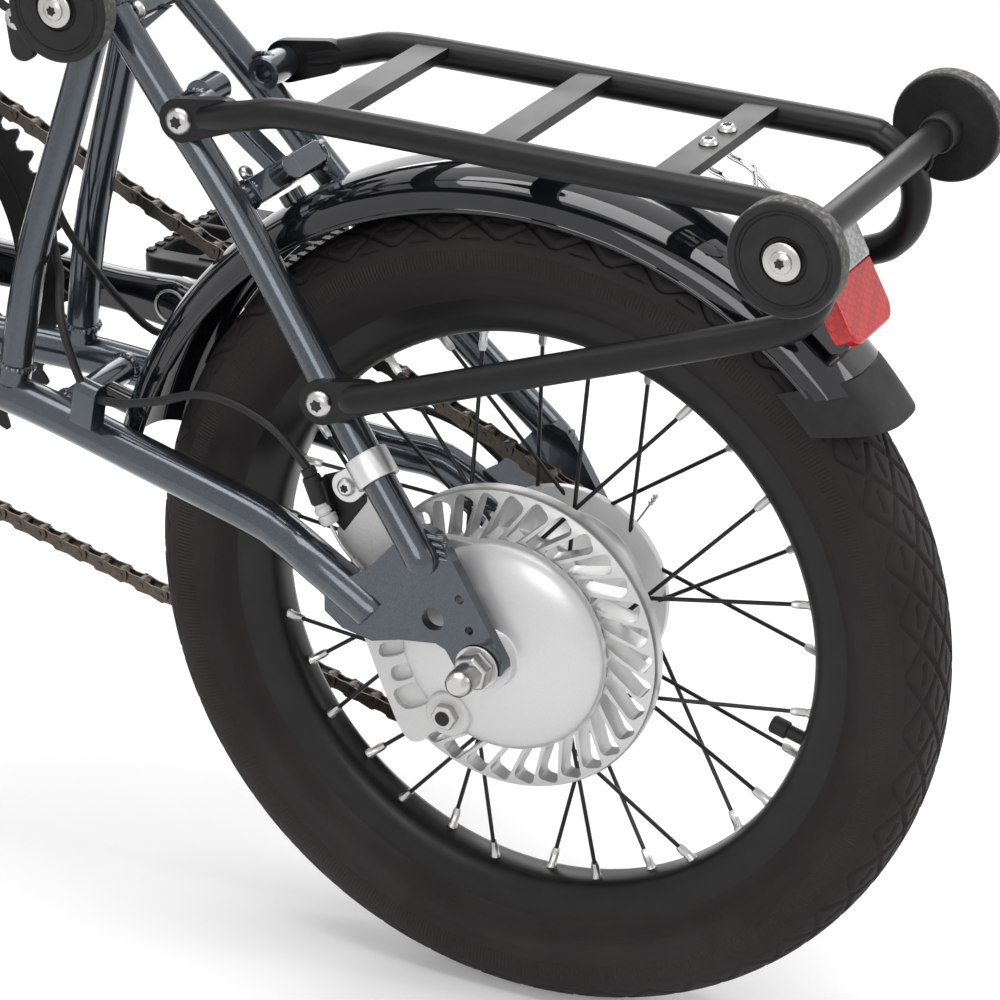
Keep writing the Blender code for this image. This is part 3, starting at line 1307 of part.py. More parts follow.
def handlepost(look):
    low = POST_FOLD_HEIGHT + GAP / 2
    axis = fold_axis()
    centre = fold_point()
    out = (Y_AXIS + COLUMN_FORE).normalized()
    post = rod(column(low), column(HANDLEBAR_HEIGHT), HANDLEPOST_RADIUS, 12)
    clamp = rod(column(HANDLEBAR_HEIGHT, -0.022), column(HANDLEBAR_HEIGHT, 0.022), 0.0175)
    join(post, clamp)
    for side in SIDES:
        inner = centre + axis * side * (0.0080 + GAP)
        join(post, rod(inner, inner + axis * side * 0.0060, 0.0080))
        web = centre + axis * side * (0.0110 + GAP) - out * 0.0100 + COLUMN_UP * 0.0052
        join(post, box(web, (0.0200, 0.0060, 0.0100), out, COLUMN_UP))
    join(post, rod(centre - axis * 0.0130, centre + axis * 0.0130, 0.0030))
    cut(post, rod(column(HANDLEBAR_HEIGHT, -0.040), column(HANDLEBAR_HEIGHT, 0.040), HANDLEBAR_RADIUS + GAP))
    keep(post, "handlepost", look, centre)


def handlebar(look):
    ends = [column(HANDLEBAR_HEIGHT, side * HANDLEBAR_HALF) for side in SIDES]
    keep(rod(ends[0], ends[1], HANDLEBAR_RADIUS), "handlebar", look)


def controls(side, name, grip_look, bracket_look, lever_look):
    """One end of the handlebar: grip, lever bracket and brake lever."""
    along = Y_AXIS * side
    centre = column(HANDLEBAR_HEIGHT)
    bore = HANDLEBAR_RADIUS + GAP
    far = HANDLEBAR_HALF
    keep(ring(centre, along, bore, GRIP_RADIUS, far - GRIP_LENGTH, far), f"{name}_grip", grip_look)
    pivot = lever_place(side)
    bracket = ring(centre, along, bore, 0.0160, BRACKET_Y - 0.010, BRACKET_Y + 0.010)
    join(bracket, *lugs(pivot, COLUMN_UP, 0.0045, 0.0030, 0.0060, 0.0022))
    for end in SIDES:
        middle = pivot - COLUMN_FORE * 0.0105 + COLUMN_UP * end * (0.0045 + GAP + 0.0015)
        join(bracket, box(middle, (0.0190, 0.0120, 0.0030), COLUMN_FORE, COLUMN_UP))
    keep(bracket, f"{name}_lever_bracket", bracket_look)
    lever = ring(pivot, COLUMN_UP, 0.0022 + GAP, 0.0060, -0.0045, 0.0045, SMALL_STEPS)
    blade = [
        pivot + along * 0.004,
        pivot + along * 0.030 + COLUMN_FORE * 0.018,
        pivot + along * 0.098 + COLUMN_FORE * 0.026,
    ]
    join(lever, tube(blade, 0.0042, 8))
    keep(lever, f"{name}_brake_lever", lever_look, pivot)


def lever_place(side):
    return column(HANDLEBAR_HEIGHT, side * BRACKET_Y, 0.0320)


def display(look):
    centre = column(HANDLEBAR_HEIGHT)
    unit = ring(centre, Y_AXIS, HANDLEBAR_RADIUS + GAP, 0.0150, 0.0300, 0.0400)
    join(unit, box(centre + COLUMN_UP * 0.0168 + Y_AXIS * 0.0350, (0.0200, 0.0100, 0.0086), COLUMN_FORE, COLUMN_UP))
    join(unit, box(centre + COLUMN_UP * 0.0250, (0.0450, 0.0850, 0.0110), COLUMN_FORE, COLUMN_UP))
    keep(unit, "display", look)


# Cables of the rear frame
def cables(look):
    brake = [
        rear(-0.3000, -0.0190, 0.3300),
        rear(-0.2780, -0.0240, 0.2700),
        rear(-0.2398, -0.0060, 0.2464),
        rear(-0.2453, -0.0080, 0.2217),
        rear(-0.2514, -0.0090, 0.1964),
        rear(-0.2559, -0.0100, 0.1710),
        rear(-0.2560, -0.0120, 0.1500),
        rear(-0.2518, -0.0165, 0.1418),
        rear(-0.2440, -0.0260, 0.1355),
        rear(-0.2370, -0.0380, 0.1274),
        rear(-0.2297, -0.0470, 0.1154),
        rear(-0.2190, -0.0480, 0.0895),
        rear(-0.2030, -0.0495, 0.0855),
        rear(-0.1770, -0.0530, 0.0920),
        rear(-0.1540, -0.0540, 0.1000),
        rear(-0.1340, -0.0560, 0.1000),
        rear(-0.1130, -0.0585, 0.0915),
        rear(-0.0918, -0.0585, 0.0823),
    ]
    keep(tube(brake, 0.0025, 8, 3), "rear_brake_cable", look, FRAME_PIVOT)
    gear = [
        rear(-0.3000, 0.0190, 0.3300),
        rear(-0.2750, 0.0300, 0.2550),
        rear(-0.2638, 0.0240, 0.2199),
        rear(-0.2644, 0.0180, 0.2015),
        rear(-0.2649, 0.0120, 0.1830),
        rear(-0.2645, 0.0070, 0.1643),
        rear(-0.2611, 0.0040, 0.1522),
        rear(-0.2524, 0.0120, 0.1298),
        rear(-0.2423, 0.0260, 0.1043),
        rear(-0.2267, 0.0380, 0.0856),
        rear(-0.2000, 0.0495, 0.0900),
        rear(-0.1600, 0.0560, 0.0720),
        rear(-0.1150, 0.0690, 0.0600),
        rear(-0.0800, 0.0800, 0.0460),
        rear(-0.0450, 0.0880, 0.0150),
        rear(-0.0049, 0.0900, 0.0016),
    ]
    keep(tube(gear, 0.0022, 8, 3), "gear_cable", look, FRAME_PIVOT)


def build():
    for thing in list(bpy.data.objects):
        bpy.data.objects.remove(thing)
    frame_paint = paint("frame paint", (0.045, 0.060, 0.080), 0.30, 0.6)
    satin_black = paint("satin black", (0.012, 0.012, 0.013), 0.45, 0.2)
    gloss_black = paint("gloss black", (0.008, 0.010, 0.014), 0.08, 0.0)
    plastic = paint("black plastic", (0.02, 0.02, 0.02), 0.5, 0.0)
    rubber = paint("rubber", (0.022, 0.019, 0.018), 0.75, 0.0)
    aluminium = paint("aluminium", (0.75, 0.75, 0.75), 0.35, 1.0)
    silver_paint = paint("silver paint", (0.72, 0.72, 0.73), 0.35, 0.5)
    steel = paint("steel", (0.60, 0.60, 0.60), 0.28, 1.0)
    chain_steel = paint("chain steel", (0.16, 0.13, 0.11), 0.45, 0.9)
    red = paint("red lens", (0.55, 0.01, 0.01), 0.15, 0.0)

    rear_frame(frame_paint)
    suspension_block(rubber)
    rack(satin_black)
    rear_fender(gloss_black)
    fender_flap(rubber)
    rear_light(red)
    rear_axle(steel)
    rear_brake(silver_paint)
    brake_arm_clip(steel)
    latch_lever(plastic)
    cables(plastic)
    rear_roller = rear_place(REAR_ROLLER_PLACE)
    for side, name in ((-1, "left"), (1, "right")):
        roller(CROWN, side, CROWN_HALF + GAP, f"{name}_front_roller", rubber)
        roller(rear_roller, side, REAR_ROLLER_Y, f"{name}_rear_roller", rubber)

    tyre(REAR_AXLE, "rear_tyre", rubber)
    rim(REAR_AXLE, "rear_rim", satin_black)
    rear_hub(silver_paint)
    cooling_disc(aluminium)
    rear_sprocket(steel)
    chain(chain_steel)
    tensioner(satin_black, plastic)

    main_frame(frame_paint)
    battery(plastic)
    seat_clamp_lever(aluminium)
    centre_stand(satin_black)
    seat_post(satin_black)
    saddle_base(steel)
    saddle(plastic)
    crank_axle(steel)
    chainring(satin_black)
    for side, name in ((-1, "left"), (1, "right")):
        crank_arm(side, f"{name}_crank", satin_black)
        pedal(side, f"{name}_pedal", plastic, steel)

    front_frame(frame_paint)
    frame_hinge_lever(satin_black)
    front_light(plastic)
    fork(frame_paint)
    front_axle(steel)
    front_brake(satin_black)
    front_fender(gloss_black)
    tyre(FRONT_AXLE, "front_tyre", rubber)
    rim(FRONT_AXLE, "front_rim", satin_black)
    front_motor(satin_black)
    handlepost_base(satin_black)
    handlepost_lever(aluminium)
    handlepost(satin_black)
    handlebar(satin_black)
    display(plastic)
    for side, name in ((-1, "left"), (1, "right")):
        controls(side, name, rubber, plastic, satin_black)


build()
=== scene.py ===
# %% [markdown]
# # A folding electric bike
# The real bike has a rear frame that flips under the beam, a rack that stands on four rollers, and a
# shiny hub brake. The solids that the checks use are already packed, so this lesson only dresses them.
# Loading them first gives every piece the right place, because the scene is in the same metres.

# %% Load the fixed frame
import math

import bmesh
import bpy
import numpy as np
from mathutils import Matrix, Vector


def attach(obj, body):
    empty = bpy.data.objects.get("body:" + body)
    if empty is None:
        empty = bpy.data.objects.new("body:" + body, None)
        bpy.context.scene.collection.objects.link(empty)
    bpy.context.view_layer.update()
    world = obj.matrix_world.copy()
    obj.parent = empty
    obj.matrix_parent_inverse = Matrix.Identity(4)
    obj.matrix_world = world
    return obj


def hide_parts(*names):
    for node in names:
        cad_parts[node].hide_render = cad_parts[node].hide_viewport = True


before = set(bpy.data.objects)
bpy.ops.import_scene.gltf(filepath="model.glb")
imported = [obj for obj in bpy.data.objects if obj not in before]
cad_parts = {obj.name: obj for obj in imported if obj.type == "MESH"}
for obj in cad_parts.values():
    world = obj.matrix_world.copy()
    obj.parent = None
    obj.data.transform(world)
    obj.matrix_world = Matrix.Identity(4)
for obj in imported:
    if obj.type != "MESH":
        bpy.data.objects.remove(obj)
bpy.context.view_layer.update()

# %% [markdown]
# ## Where things are
# The wheels, the steering column and the seat tube each give a simple way to say where a piece is.
# One function for each keeps the measured numbers readable.

# %% Places on the bike
X_AXIS, Y_AXIS, Z_AXIS = Vector((1, 0, 0)), Vector((0, 1, 0)), Vector((0, 0, 1))
WHEEL_RADIUS = 0.2
REAR_AXLE = Vector((0.545, 0, WHEEL_RADIUS))
FRONT_AXLE = Vector((-0.545, 0, WHEEL_RADIUS))
HEAD_ANGLE = math.radians(72)
COLUMN_UP = Vector((math.cos(HEAD_ANGLE), 0, math.sin(HEAD_ANGLE)))
COLUMN_FORE = Vector((-math.sin(HEAD_ANGLE), 0, math.cos(HEAD_ANGLE)))
SIDES = ((-1, "left"), (1, "right"))
BOTH = (-1, 1)
GAP = 0.0003


def outward(angle):
    """The direction at an angle round a wheel's axle."""
    return Vector((math.cos(angle), 0, math.sin(angle)))


def rear(back, side, up):
    """A point given from the rear axle."""
    return REAR_AXLE + Vector((back, side, up))


def column(height, side=0.0, fore=0.0):
    """A point along, across and ahead of the steering axis."""
    foot = FRONT_AXLE - COLUMN_FORE * 0.03
    return foot + COLUMN_UP * height + Y_AXIS * side + COLUMN_FORE * fore


BOTTOM_BRACKET = rear(-0.409, 0, 0.0955)
CROWN = rear(-0.2135, 0, 0.2815)


def seat_tube(height):
    """The point of the seat tube's axis at a height above the floor."""
    rise = height - BOTTOM_BRACKET.z
    return BOTTOM_BRACKET + Vector((rise / math.tan(HEAD_ANGLE), 0, rise))


SEAT_UP = COLUMN_UP
SEAT_BACK = Y_AXIS.cross(SEAT_UP)

# %% [markdown]
# ## The camera
# The photograph was taken from behind and above on the brake side, with a long lens. The angles and the
# distance below were found by matching wheel, rack and stays to the picture, so no lens shift is needed.

# %% Make the camera
AZIMUTH, ELEVATION, ROLL = (math.radians(angle) for angle in (25.84, 23.58, 0.13))
DISTANCE, FOCAL_PIXELS = 1.9, 4037.5
back = Vector((
    math.sin(AZIMUTH) * math.cos(ELEVATION),
    -math.cos(AZIMUTH) * math.cos(ELEVATION),
    math.sin(ELEVATION),
))
level = Vector((math.cos(AZIMUTH), math.sin(AZIMUTH), 0))
rise = back.cross(level)
right = level * math.cos(ROLL) + rise * math.sin(ROLL)
up = rise * math.cos(ROLL) - level * math.sin(ROLL)
per_pixel = DISTANCE / FOCAL_PIXELS
eye = REAR_AXLE + back * DISTANCE - right * 44.7 * per_pixel + up * 107.1 * per_pixel
lens = bpy.data.cameras.new("camera")
lens.sensor_width = 36
lens.lens = FOCAL_PIXELS / 1000 * lens.sensor_width
camera = bpy.data.objects.new("camera", lens)
camera.matrix_world = Matrix.Translation(eye) @ Matrix((right, up, back)).transposed().to_4x4()
bpy.context.collection.objects.link(camera)
bpy.context.scene.camera = camera
bpy.context.scene.view_settings.view_transform = "Standard"
print("camera at", [round(value, 3) for value in eye])

# %% [markdown]
# ## The studio
# A product studio is a white sweep under large soft lamps. The floor keeps the shadow, and the pale
# surroundings are also what the gloss paint and the bare metal mirror. Where a ray leaves the floor it
# meets a world of the same white.

# %% Floor, world and lamps
def new_material(name):
    """A material with only its Principled shader: (material, node tree, shader)."""
    made = bpy.data.materials.new(name)
    made.use_nodes = True
    return made, made.node_tree, made.node_tree.nodes["Principled BSDF"]


def seen_directly(tree):
    """1 for what the camera sees itself, in a mirror or through glass, and 0 for light that bounces on."""
    paths = tree.nodes.new("ShaderNodeLightPath")
    total = paths.outputs["Is Camera Ray"]
    for kind in ("Is Glossy Ray", "Is Transmission Ray"):
        either = tree.nodes.new("ShaderNodeMath")
        either.operation = "MAXIMUM"
        tree.links.new(total, either.inputs[0])
        tree.links.new(paths.outputs[kind], either.inputs[1])
        total = either.outputs[0]
    return total


def studio_floor():
    made, tree, shader = new_material("studio_floor")
    shader.inputs["Base Color"].default_value = (0.9, 0.9, 0.9, 1)
    shader.inputs["Roughness"].default_value = 0.9
    shader.inputs["Specular IOR Level"].default_value = 0.1
    glow = tree.nodes.new("ShaderNodeEmission")
    glow.inputs["Strength"].default_value = 0.14
    near = tree.nodes.new("ShaderNodeAddShader")
    tree.links.new(shader.outputs[0], near.inputs[0])
    tree.links.new(glow.outputs[0], near.inputs[1])
    plain_white = tree.nodes.new("ShaderNodeEmission")
    sweep = tree.nodes.new("ShaderNodeMixShader")
    place = tree.nodes.new("ShaderNodeTexCoord")
    narrow = tree.nodes.new("ShaderNodeVectorMath")
    narrow.operation = "MULTIPLY"
    narrow.inputs[1].default_value = (0.62, 1, 1)
    reach = tree.nodes.new("ShaderNodeVectorMath")
    reach.operation = "LENGTH"
    fade = tree.nodes.new("ShaderNodeMapRange")
    fade.inputs["From Min"].default_value = 0.85
    fade.inputs["From Max"].default_value = 1.7
    tree.links.new(place.outputs["Object"], narrow.inputs[0])
    tree.links.new(narrow.outputs[0], reach.inputs[0])
    tree.links.new(reach.outputs["Value"], fade.inputs["Value"])
    tree.links.new(fade.outputs[0], sweep.inputs[0])
    tree.links.new(near.outputs[0], sweep.inputs[1])
    tree.links.new(plain_white.outputs[0], sweep.inputs[2])
    choose = tree.nodes.new("ShaderNodeMixShader")
    tree.links.new(seen_directly(tree), choose.inputs[0])
    tree.links.new(shader.outputs[0], choose.inputs[1])
    tree.links.new(sweep.outputs[0], choose.inputs[2])
    tree.links.new(choose.outputs[0], tree.nodes["Material Output"].inputs["Surface"])
    return made


floor_mesh = bpy.data.meshes.new("floor")
floor_mesh.from_pydata([(-9, -9, 0), (9, -9, 0), (9, 9, 0), (-9, 9, 0)], [], [(0, 1, 2, 3)])
floor_mesh.materials.append(studio_floor())
floor = bpy.data.objects.new("floor", floor_mesh)
bpy.context.collection.objects.link(floor)

world = bpy.data.worlds.new("studio")
bpy.context.scene.world = world
world.use_nodes = True
world_tree = world.node_tree
background = world_tree.nodes["Background"]
background.inputs["Color"].default_value = (1, 1, 1, 1)
background.inputs["Strength"].default_value = 0.42
seen_white = world_tree.nodes.new("ShaderNodeBackground")
seen_white.inputs["Color"].default_value = (1, 1, 1, 1)
world_mix = world_tree.nodes.new("ShaderNodeMixShader")
world_tree.links.new(seen_directly(world_tree), world_mix.inputs[0])
world_tree.links.new(background.outputs[0], world_mix.inputs[1])
world_tree.links.new(seen_white.outputs[0], world_mix.inputs[2])
world_tree.links.new(world_mix.outputs[0], world_tree.nodes["World Output"].inputs["Surface"])


def soft_lamp(name, place, target, size, power):
    lamp = bpy.data.lights.new(name, "AREA")
    lamp.shape = "RECTANGLE"
    lamp.size, lamp.size_y = size
    lamp.energy = power
    holder = bpy.data.objects.new(name, lamp)
    holder.location = place
    aim = Vector(target) - Vector(place)
    holder.rotation_euler = aim.to_track_quat("-Z", "Y").to_euler()
    bpy.context.collection.objects.link(holder)


soft_lamp("overhead", (0.3, -0.1, 2.6), (0.3, 0, 0), (2.6, 1.8), 62)
soft_lamp("brake_side", (0.9, -2.6, 1.5), (0.4, 0, 0.3), (1.6, 1.2), 20)
soft_lamp("behind", (2.6, 1.0, 1.3), (0.4, 0, 0.3), (1.2, 1.2), 14)
soft_lamp("chain_side", (-0.6, 2.6, 1.6), (0.2, 0, 0.3), (1.8, 1.2), 16)

# %% [markdown]
# ## Effects that several finishes share
# Real finishes are never one flat colour. A fine grain, a slow change of shine and a touch of dust turn
# up in almost every one. Each is built once as a node group, and every material sets its own amounts.

# %% Node groups
def new_group(name, inputs, outputs):
    """An empty shader group. Inputs are (name, socket type, default) and outputs (name, socket type)."""
    group = bpy.data.node_groups.new(name, "ShaderNodeTree")
    for label, kind, value in inputs:
        socket = group.interface.new_socket(label, in_out="INPUT", socket_type=kind)
        socket.default_value = value
    for label, kind in outputs:
        group.interface.new_socket(label, in_out="OUTPUT", socket_type=kind)
    start = group.nodes.new("NodeGroupInput")
    end = group.nodes.new("NodeGroupOutput")
    return group, start, end


def add_node(tree, kind, settings=None, **values):
    """A node with its settings, and its inputs either linked or given a value."""
    node = tree.nodes.new(kind)
    for key, value in (settings or {}).items():
        setattr(node, key, value)
    for key, value in values.items():
        socket = node.inputs[int(key[1:])] if key[0] == "i" and key[1:].isdigit() else node.inputs[key]
        if isinstance(value, bpy.types.NodeSocket):
            tree.links.new(value, socket)
        else:
            socket.default_value = value
    return node


def add_math(tree, operation, *values):
    pairs = {f"i{index}": value for index, value in enumerate(values)}
    return add_node(tree, "ShaderNodeMath", {"operation": operation}, **pairs).outputs[0]


FLOAT, COLOUR = "NodeSocketFloat", "NodeSocketColor"


def group_noise(group, start, detail):
    """Noise over the piece, at the scale that the group is given."""
    place = add_node(group, "ShaderNodeTexCoord").outputs["Object"]
    noise = add_node(group, "ShaderNodeTexNoise", Vector=place, Scale=start.outputs["Scale"], Detail=detail)
    return noise.outputs["Fac"]


def mix_over(group, start, end, other, mask):
    """Mixes the group's second colour over its first by a mask, and puts the result out."""
    mix = add_node(group, "ShaderNodeMix", {"data_type": "RGBA"}, i0=mask)
    group.links.new(start.outputs["Colour"], mix.inputs[6])
    group.links.new(start.outputs[other], mix.inputs[7])
    group.links.new(mix.outputs[2], end.inputs["Colour"])


def round_axle(group, start):
    """A point, how far it lies across and above the wheel's centre, and its distance from there."""
    place = add_node(group, "ShaderNodeTexCoord").outputs["Object"]
    parts = add_node(group, "ShaderNodeSeparateXYZ", Vector=place)
    across = add_math(group, "SUBTRACT", parts.outputs["X"], start.outputs["Centre X"])
    above = add_math(group, "SUBTRACT", parts.outputs["Z"], start.outputs["Centre Z"])
    squares = [add_math(group, "POWER", value, 2.0) for value in (across, above)]
    return place, across, above, add_math(group, "SQRT", add_math(group, "ADD", *squares))


def grain_group():
    """Fine grain: a height for a Bump node, from noise of one scale."""
    group, start, end = new_group("fine_grain", [("Scale", FLOAT, 900)], [("Height", FLOAT)])
    group.links.new(group_noise(group, start, 3.0), end.inputs["Height"])
    return group


def shine_group():
    """Slow patches: a value that wanders between two limits, for roughness."""
    inputs = [("Scale", FLOAT, 20), ("Low", FLOAT, 0.3), ("High", FLOAT, 0.4)]
    group, start, end = new_group("shine_patches", inputs, [("Value", FLOAT)])
    limits = {"i3": start.outputs["Low"], "i4": start.outputs["High"]}
    spread = add_node(group, "ShaderNodeMapRange", i0=group_noise(group, start, 4.0), i1=0.35, i2=0.65,
                      **limits)
    group.links.new(spread.outputs[0], end.inputs["Value"])
    return group


def dust_group():
    """Dust and handling: mixes a dusty colour over the finish where noise, and level surfaces, allow it."""
    inputs = [("Colour", COLOUR, (0.1, 0.1, 0.1, 1)), ("Dust", COLOUR, (0.4, 0.38, 0.35, 1))]
    inputs += [("Amount", FLOAT, 0.1), ("Scale", FLOAT, 60)]
    group, start, end = new_group("dust", inputs, [("Colour", COLOUR), ("Mask", FLOAT)])
    normal = add_node(group, "ShaderNodeNewGeometry").outputs["Normal"]
    upward = add_node(group, "ShaderNodeSeparateXYZ", Vector=normal).outputs["Z"]
    lie = add_node(group, "ShaderNodeMapRange", i0=upward, i1=-0.6, i2=1.0, i3=0.35, i4=1.0).outputs[0]
    patches = add_node(group, "ShaderNodeMapRange", i0=group_noise(group, start, 8.0), i1=0.45, i2=0.75)
    mask = add_math(group, "MULTIPLY", add_math(group, "MULTIPLY", patches.outputs[0], lie),
                    start.outputs["Amount"])
    mix_over(group, start, end, "Dust", mask)
    group.links.new(mask, end.inputs["Mask"])
    return group


def fleck_group():
    """Metal flecks in paint: tiny cells, each a little lighter or darker than the colour."""
    inputs = [("Colour", COLOUR, (0.1, 0.1, 0.1, 1)), ("Fleck", COLOUR, (0.5, 0.5, 0.5, 1))]
    inputs += [("Amount", FLOAT, 0.3), ("Scale", FLOAT, 3000)]
    group, start, end = new_group("paint_flecks", inputs, [("Colour", COLOUR)])
    place = add_node(group, "ShaderNodeTexCoord").outputs["Object"]
    cells = add_node(group, "ShaderNodeTexVoronoi", Vector=place, Scale=start.outputs["Scale"])
    value = add_node(group, "ShaderNodeSeparateColor", i0=cells.outputs["Color"]).outputs[0]
    bright = add_math(group, "POWER", value, 3.0)
    mask = add_math(group, "MULTIPLY", bright, start.outputs["Amount"])
    mix_over(group, start, end, "Fleck", mask)
    return group


def turning_group():
    """Lathe marks round an axle: rings whose height follows the distance from a wheel's centre."""
    inputs = [("Scale", FLOAT, 700), ("Centre X", FLOAT, REAR_AXLE.x), ("Centre Z", FLOAT, REAR_AXLE.z)]
    group, start, end = new_group("lathe_marks", inputs, [("Height", FLOAT)])
    reach = add_math(group, "MULTIPLY", round_axle(group, start)[3], start.outputs["Scale"])
    noise = add_node(group, "ShaderNodeTexNoise", {"noise_dimensions": "1D"}, W=reach, Detail=2.0)
    group.links.new(noise.outputs["Fac"], end.inputs["Height"])
    return group


GRAIN, SHINE, DUST = grain_group(), shine_group(), dust_group()
FLECKS, TURNING = fleck_group(), turning_group()
print("node groups:", [group.name for group in bpy.data.node_groups])

# %% [markdown]
# ## Finishes
# One function makes every ordinary finish from the shared effects. The numbers that differ are the ones a
# painter would name: the colour, how far the shine wanders, the grain, the flecks and the dust. Whatever is
# the same all over, such as the clear coat, is set on the shader itself.

# %% A function for finishes
def set_constants(shader, metallic=0.0, coat=0.0, coat_roughness=0.04, specular=0.5):
    shader.inputs["Metallic"].default_value = metallic
    shader.inputs["Coat Weight"].default_value = coat
    shader.inputs["Coat Roughness"].default_value = coat_roughness
    shader.inputs["Specular IOR Level"].default_value = specular


def use_group(tree, group, **values):
    node = tree.nodes.new("ShaderNodeGroup")
    node.node_tree = group
    for name, value in values.items():
        socket = node.inputs[name.replace("_", " ")]
        if isinstance(value, bpy.types.NodeSocket):
            tree.links.new(value, socket)
        else:
            socket.default_value = value
    return node


def wire_surface(tree, shader, colour, shine, height, depth):
    """Feeds a shader its colour, its (scale, low, high) roughness, and a relief of a depth."""
    tree.links.new(colour, shader.inputs["Base Color"])
    patches = use_group(tree, SHINE, Scale=shine[0], Low=shine[1], High=shine[2])
    tree.links.new(patches.outputs["Value"], shader.inputs["Roughness"])
    bump = add_node(tree, "ShaderNodeBump", Height=height, Distance=depth)
    tree.links.new(bump.outputs["Normal"], shader.inputs["Normal"])


def make_finish(name, colour, shine, grain=(900, 0.00003), flecks=None, dust=(0.1, 60), lathe=None,
                **constants):
    """A finish: its colour, (low, high) roughness, (scale, depth) grain, (colour, amount, scale) flecks
    and (amount, scale) dust."""
    made, tree, shader = new_material(name)
    set_constants(shader, **constants)
    tint = (*colour, 1)
    if flecks:
        node = use_group(tree, FLECKS, Colour=tint, Fleck=(*flecks[0], 1), Amount=flecks[1], Scale=flecks[2])
        tint = node.outputs["Colour"]
    dusty = use_group(tree, DUST, Colour=tint, Amount=dust[0], Scale=dust[1])
    source = use_group(tree, TURNING, **lathe) if lathe else use_group(tree, GRAIN, Scale=grain[0])
    wire_surface(tree, shader, dusty.outputs["Colour"], (25, *shine), source.outputs["Height"], grain[1])
    return made


# %% Paint, plastic, rubber and metal
frame_paint = make_finish("frame_paint", (0.031, 0.041, 0.053), (0.18, 0.26), (350, 0.00003),
                          ((0.55, 0.62, 0.72), 0.1, 4200), (0.02, 70), metallic=0.72, coat=0.8)
satin_black = make_finish("satin_black", (0.0045, 0.0045, 0.005), (0.3, 0.4), (2600, 0.00002),
                          dust=(0.015, 80), specular=0.26)
gloss_black = make_finish("gloss_black", (0.004, 0.005, 0.007), (0.03, 0.06), (60, 0.00003),
                          dust=(0.01, 90), coat=0.65, coat_roughness=0.02, specular=0.3)
black_plastic = make_finish("black_plastic", (0.009, 0.009, 0.009), (0.42, 0.55), (1500, 0.00006),
                            dust=(0.04, 80), specular=0.28)
rubber = make_finish("rubber", (0.0095, 0.0095, 0.0098), (0.48, 0.62), (1100, 0.0001), dust=(0.03, 140),
                     specular=0.28)
worn_rubber = make_finish("worn_rubber", (0.055, 0.055, 0.054), (0.7, 0.85), (700, 0.0003), dust=(0.55, 420))
aluminium = make_finish("aluminium", (0.5, 0.5, 0.495), (0.3, 0.42), (700, 0.00006), metallic=1.0,
                        dust=(0.04, 120), lathe={"Scale": 900})
silver_paint = make_finish("silver_paint", (0.57, 0.57, 0.575), (0.3, 0.38), (1800, 0.00002),
                           ((0.85, 0.85, 0.87), 0.25, 5200), (0.03, 60), metallic=0.35, coat=0.25)
cast_silver = make_finish("cast_silver", (0.56, 0.56, 0.555), (0.42, 0.55), (650, 0.00022), metallic=0.25,
                          dust=(0.1, 200))
steel = make_finish("steel", (0.47, 0.465, 0.455), (0.24, 0.38), (500, 0.00003), dust=(0.08, 200),
                    metallic=1.0)
plated_band = make_finish("plated_band", (0.6, 0.6, 0.595), (0.34, 0.44), (900, 0.00003), dust=(0.05, 90),
                          metallic=1.0)
chrome = make_finish("chrome", (0.85, 0.85, 0.85), (0.04, 0.09), (200, 0.00001), dust=(0.02, 200),
                     metallic=1.0)
chain_steel = make_finish("chain_steel", (0.085, 0.072, 0.062), (0.28, 0.46), (900, 0.00008),
                          ((0.26, 0.17, 0.11), 0.22, 700), (0.06, 260), metallic=0.85)
# Near-black for the screw sockets: painted shade where the hollow would be dark.
painted_socket_shade = make_finish("painted_socket_shade", (0.006, 0.006, 0.006), (0.6, 0.8), dust=(0.0, 60))
grip_rubber = make_finish("grip_rubber", (0.02, 0.02, 0.02), (0.6, 0.75), (1600, 0.00015), dust=(0.1, 90))
saddle_cover = make_finish("saddle_cover", (0.016, 0.016, 0.017), (0.4, 0.52), (520, 0.00035),
                           dust=(0.05, 60))

# %% [markdown]
# ## The tyre's rubber
# The tread blocks are modelled, but the sidewall's ribbed band and its thin moulding lines are finer than
# a millimetre, so they are relief in the material. They are found from the distance and the angle round
# the axle, which is why the group takes the wheel's centre.

# %% Tyre relief and material
def tyre_relief_group():
    inputs = [("Centre X", FLOAT, REAR_AXLE.x), ("Centre Z", FLOAT, REAR_AXLE.z)]
    group, start, end = new_group("tyre_relief", inputs, [("Height", FLOAT), ("Pale", FLOAT)])
    place, across, above, reach = round_axle(group, start)
    angle = add_math(group, "ARCTAN2", above, across)
    ribs = add_math(group, "SINE", add_math(group, "MULTIPLY", angle, 620.0))
    band = add_math(group, "COMPARE", reach, 0.18, 0.0042)
    height = add_math(group, "MULTIPLY", add_math(group, "MULTIPLY_ADD", ribs, 1.0, 1.0), band)
    for radius in (0.1632, 0.166, 0.1715, 0.1782):
        line = add_math(group, "COMPARE", reach, radius, 0.00035)
        height = add_math(group, "ADD", height, add_math(group, "MULTIPLY", line, 0.9))
    dots = add_math(group, "GREATER_THAN", add_math(group, "SINE", add_math(group, "MULTIPLY", angle, 260.0)),
                    0.2)
    dotted = add_math(group, "MULTIPLY", add_math(group, "COMPARE", reach, 0.1646, 0.0005), dots)
    height = add_math(group, "ADD", height, dotted)
    noise = add_node(group, "ShaderNodeTexNoise", Vector=place, Scale=1400.0, Detail=3.0).outputs["Fac"]
    group.links.new(add_math(group, "MULTIPLY_ADD", noise, 0.35, height), end.inputs["Height"])
    group.links.new(band, end.inputs["Pale"])
    return group


TYRE_RELIEF = tyre_relief_group()


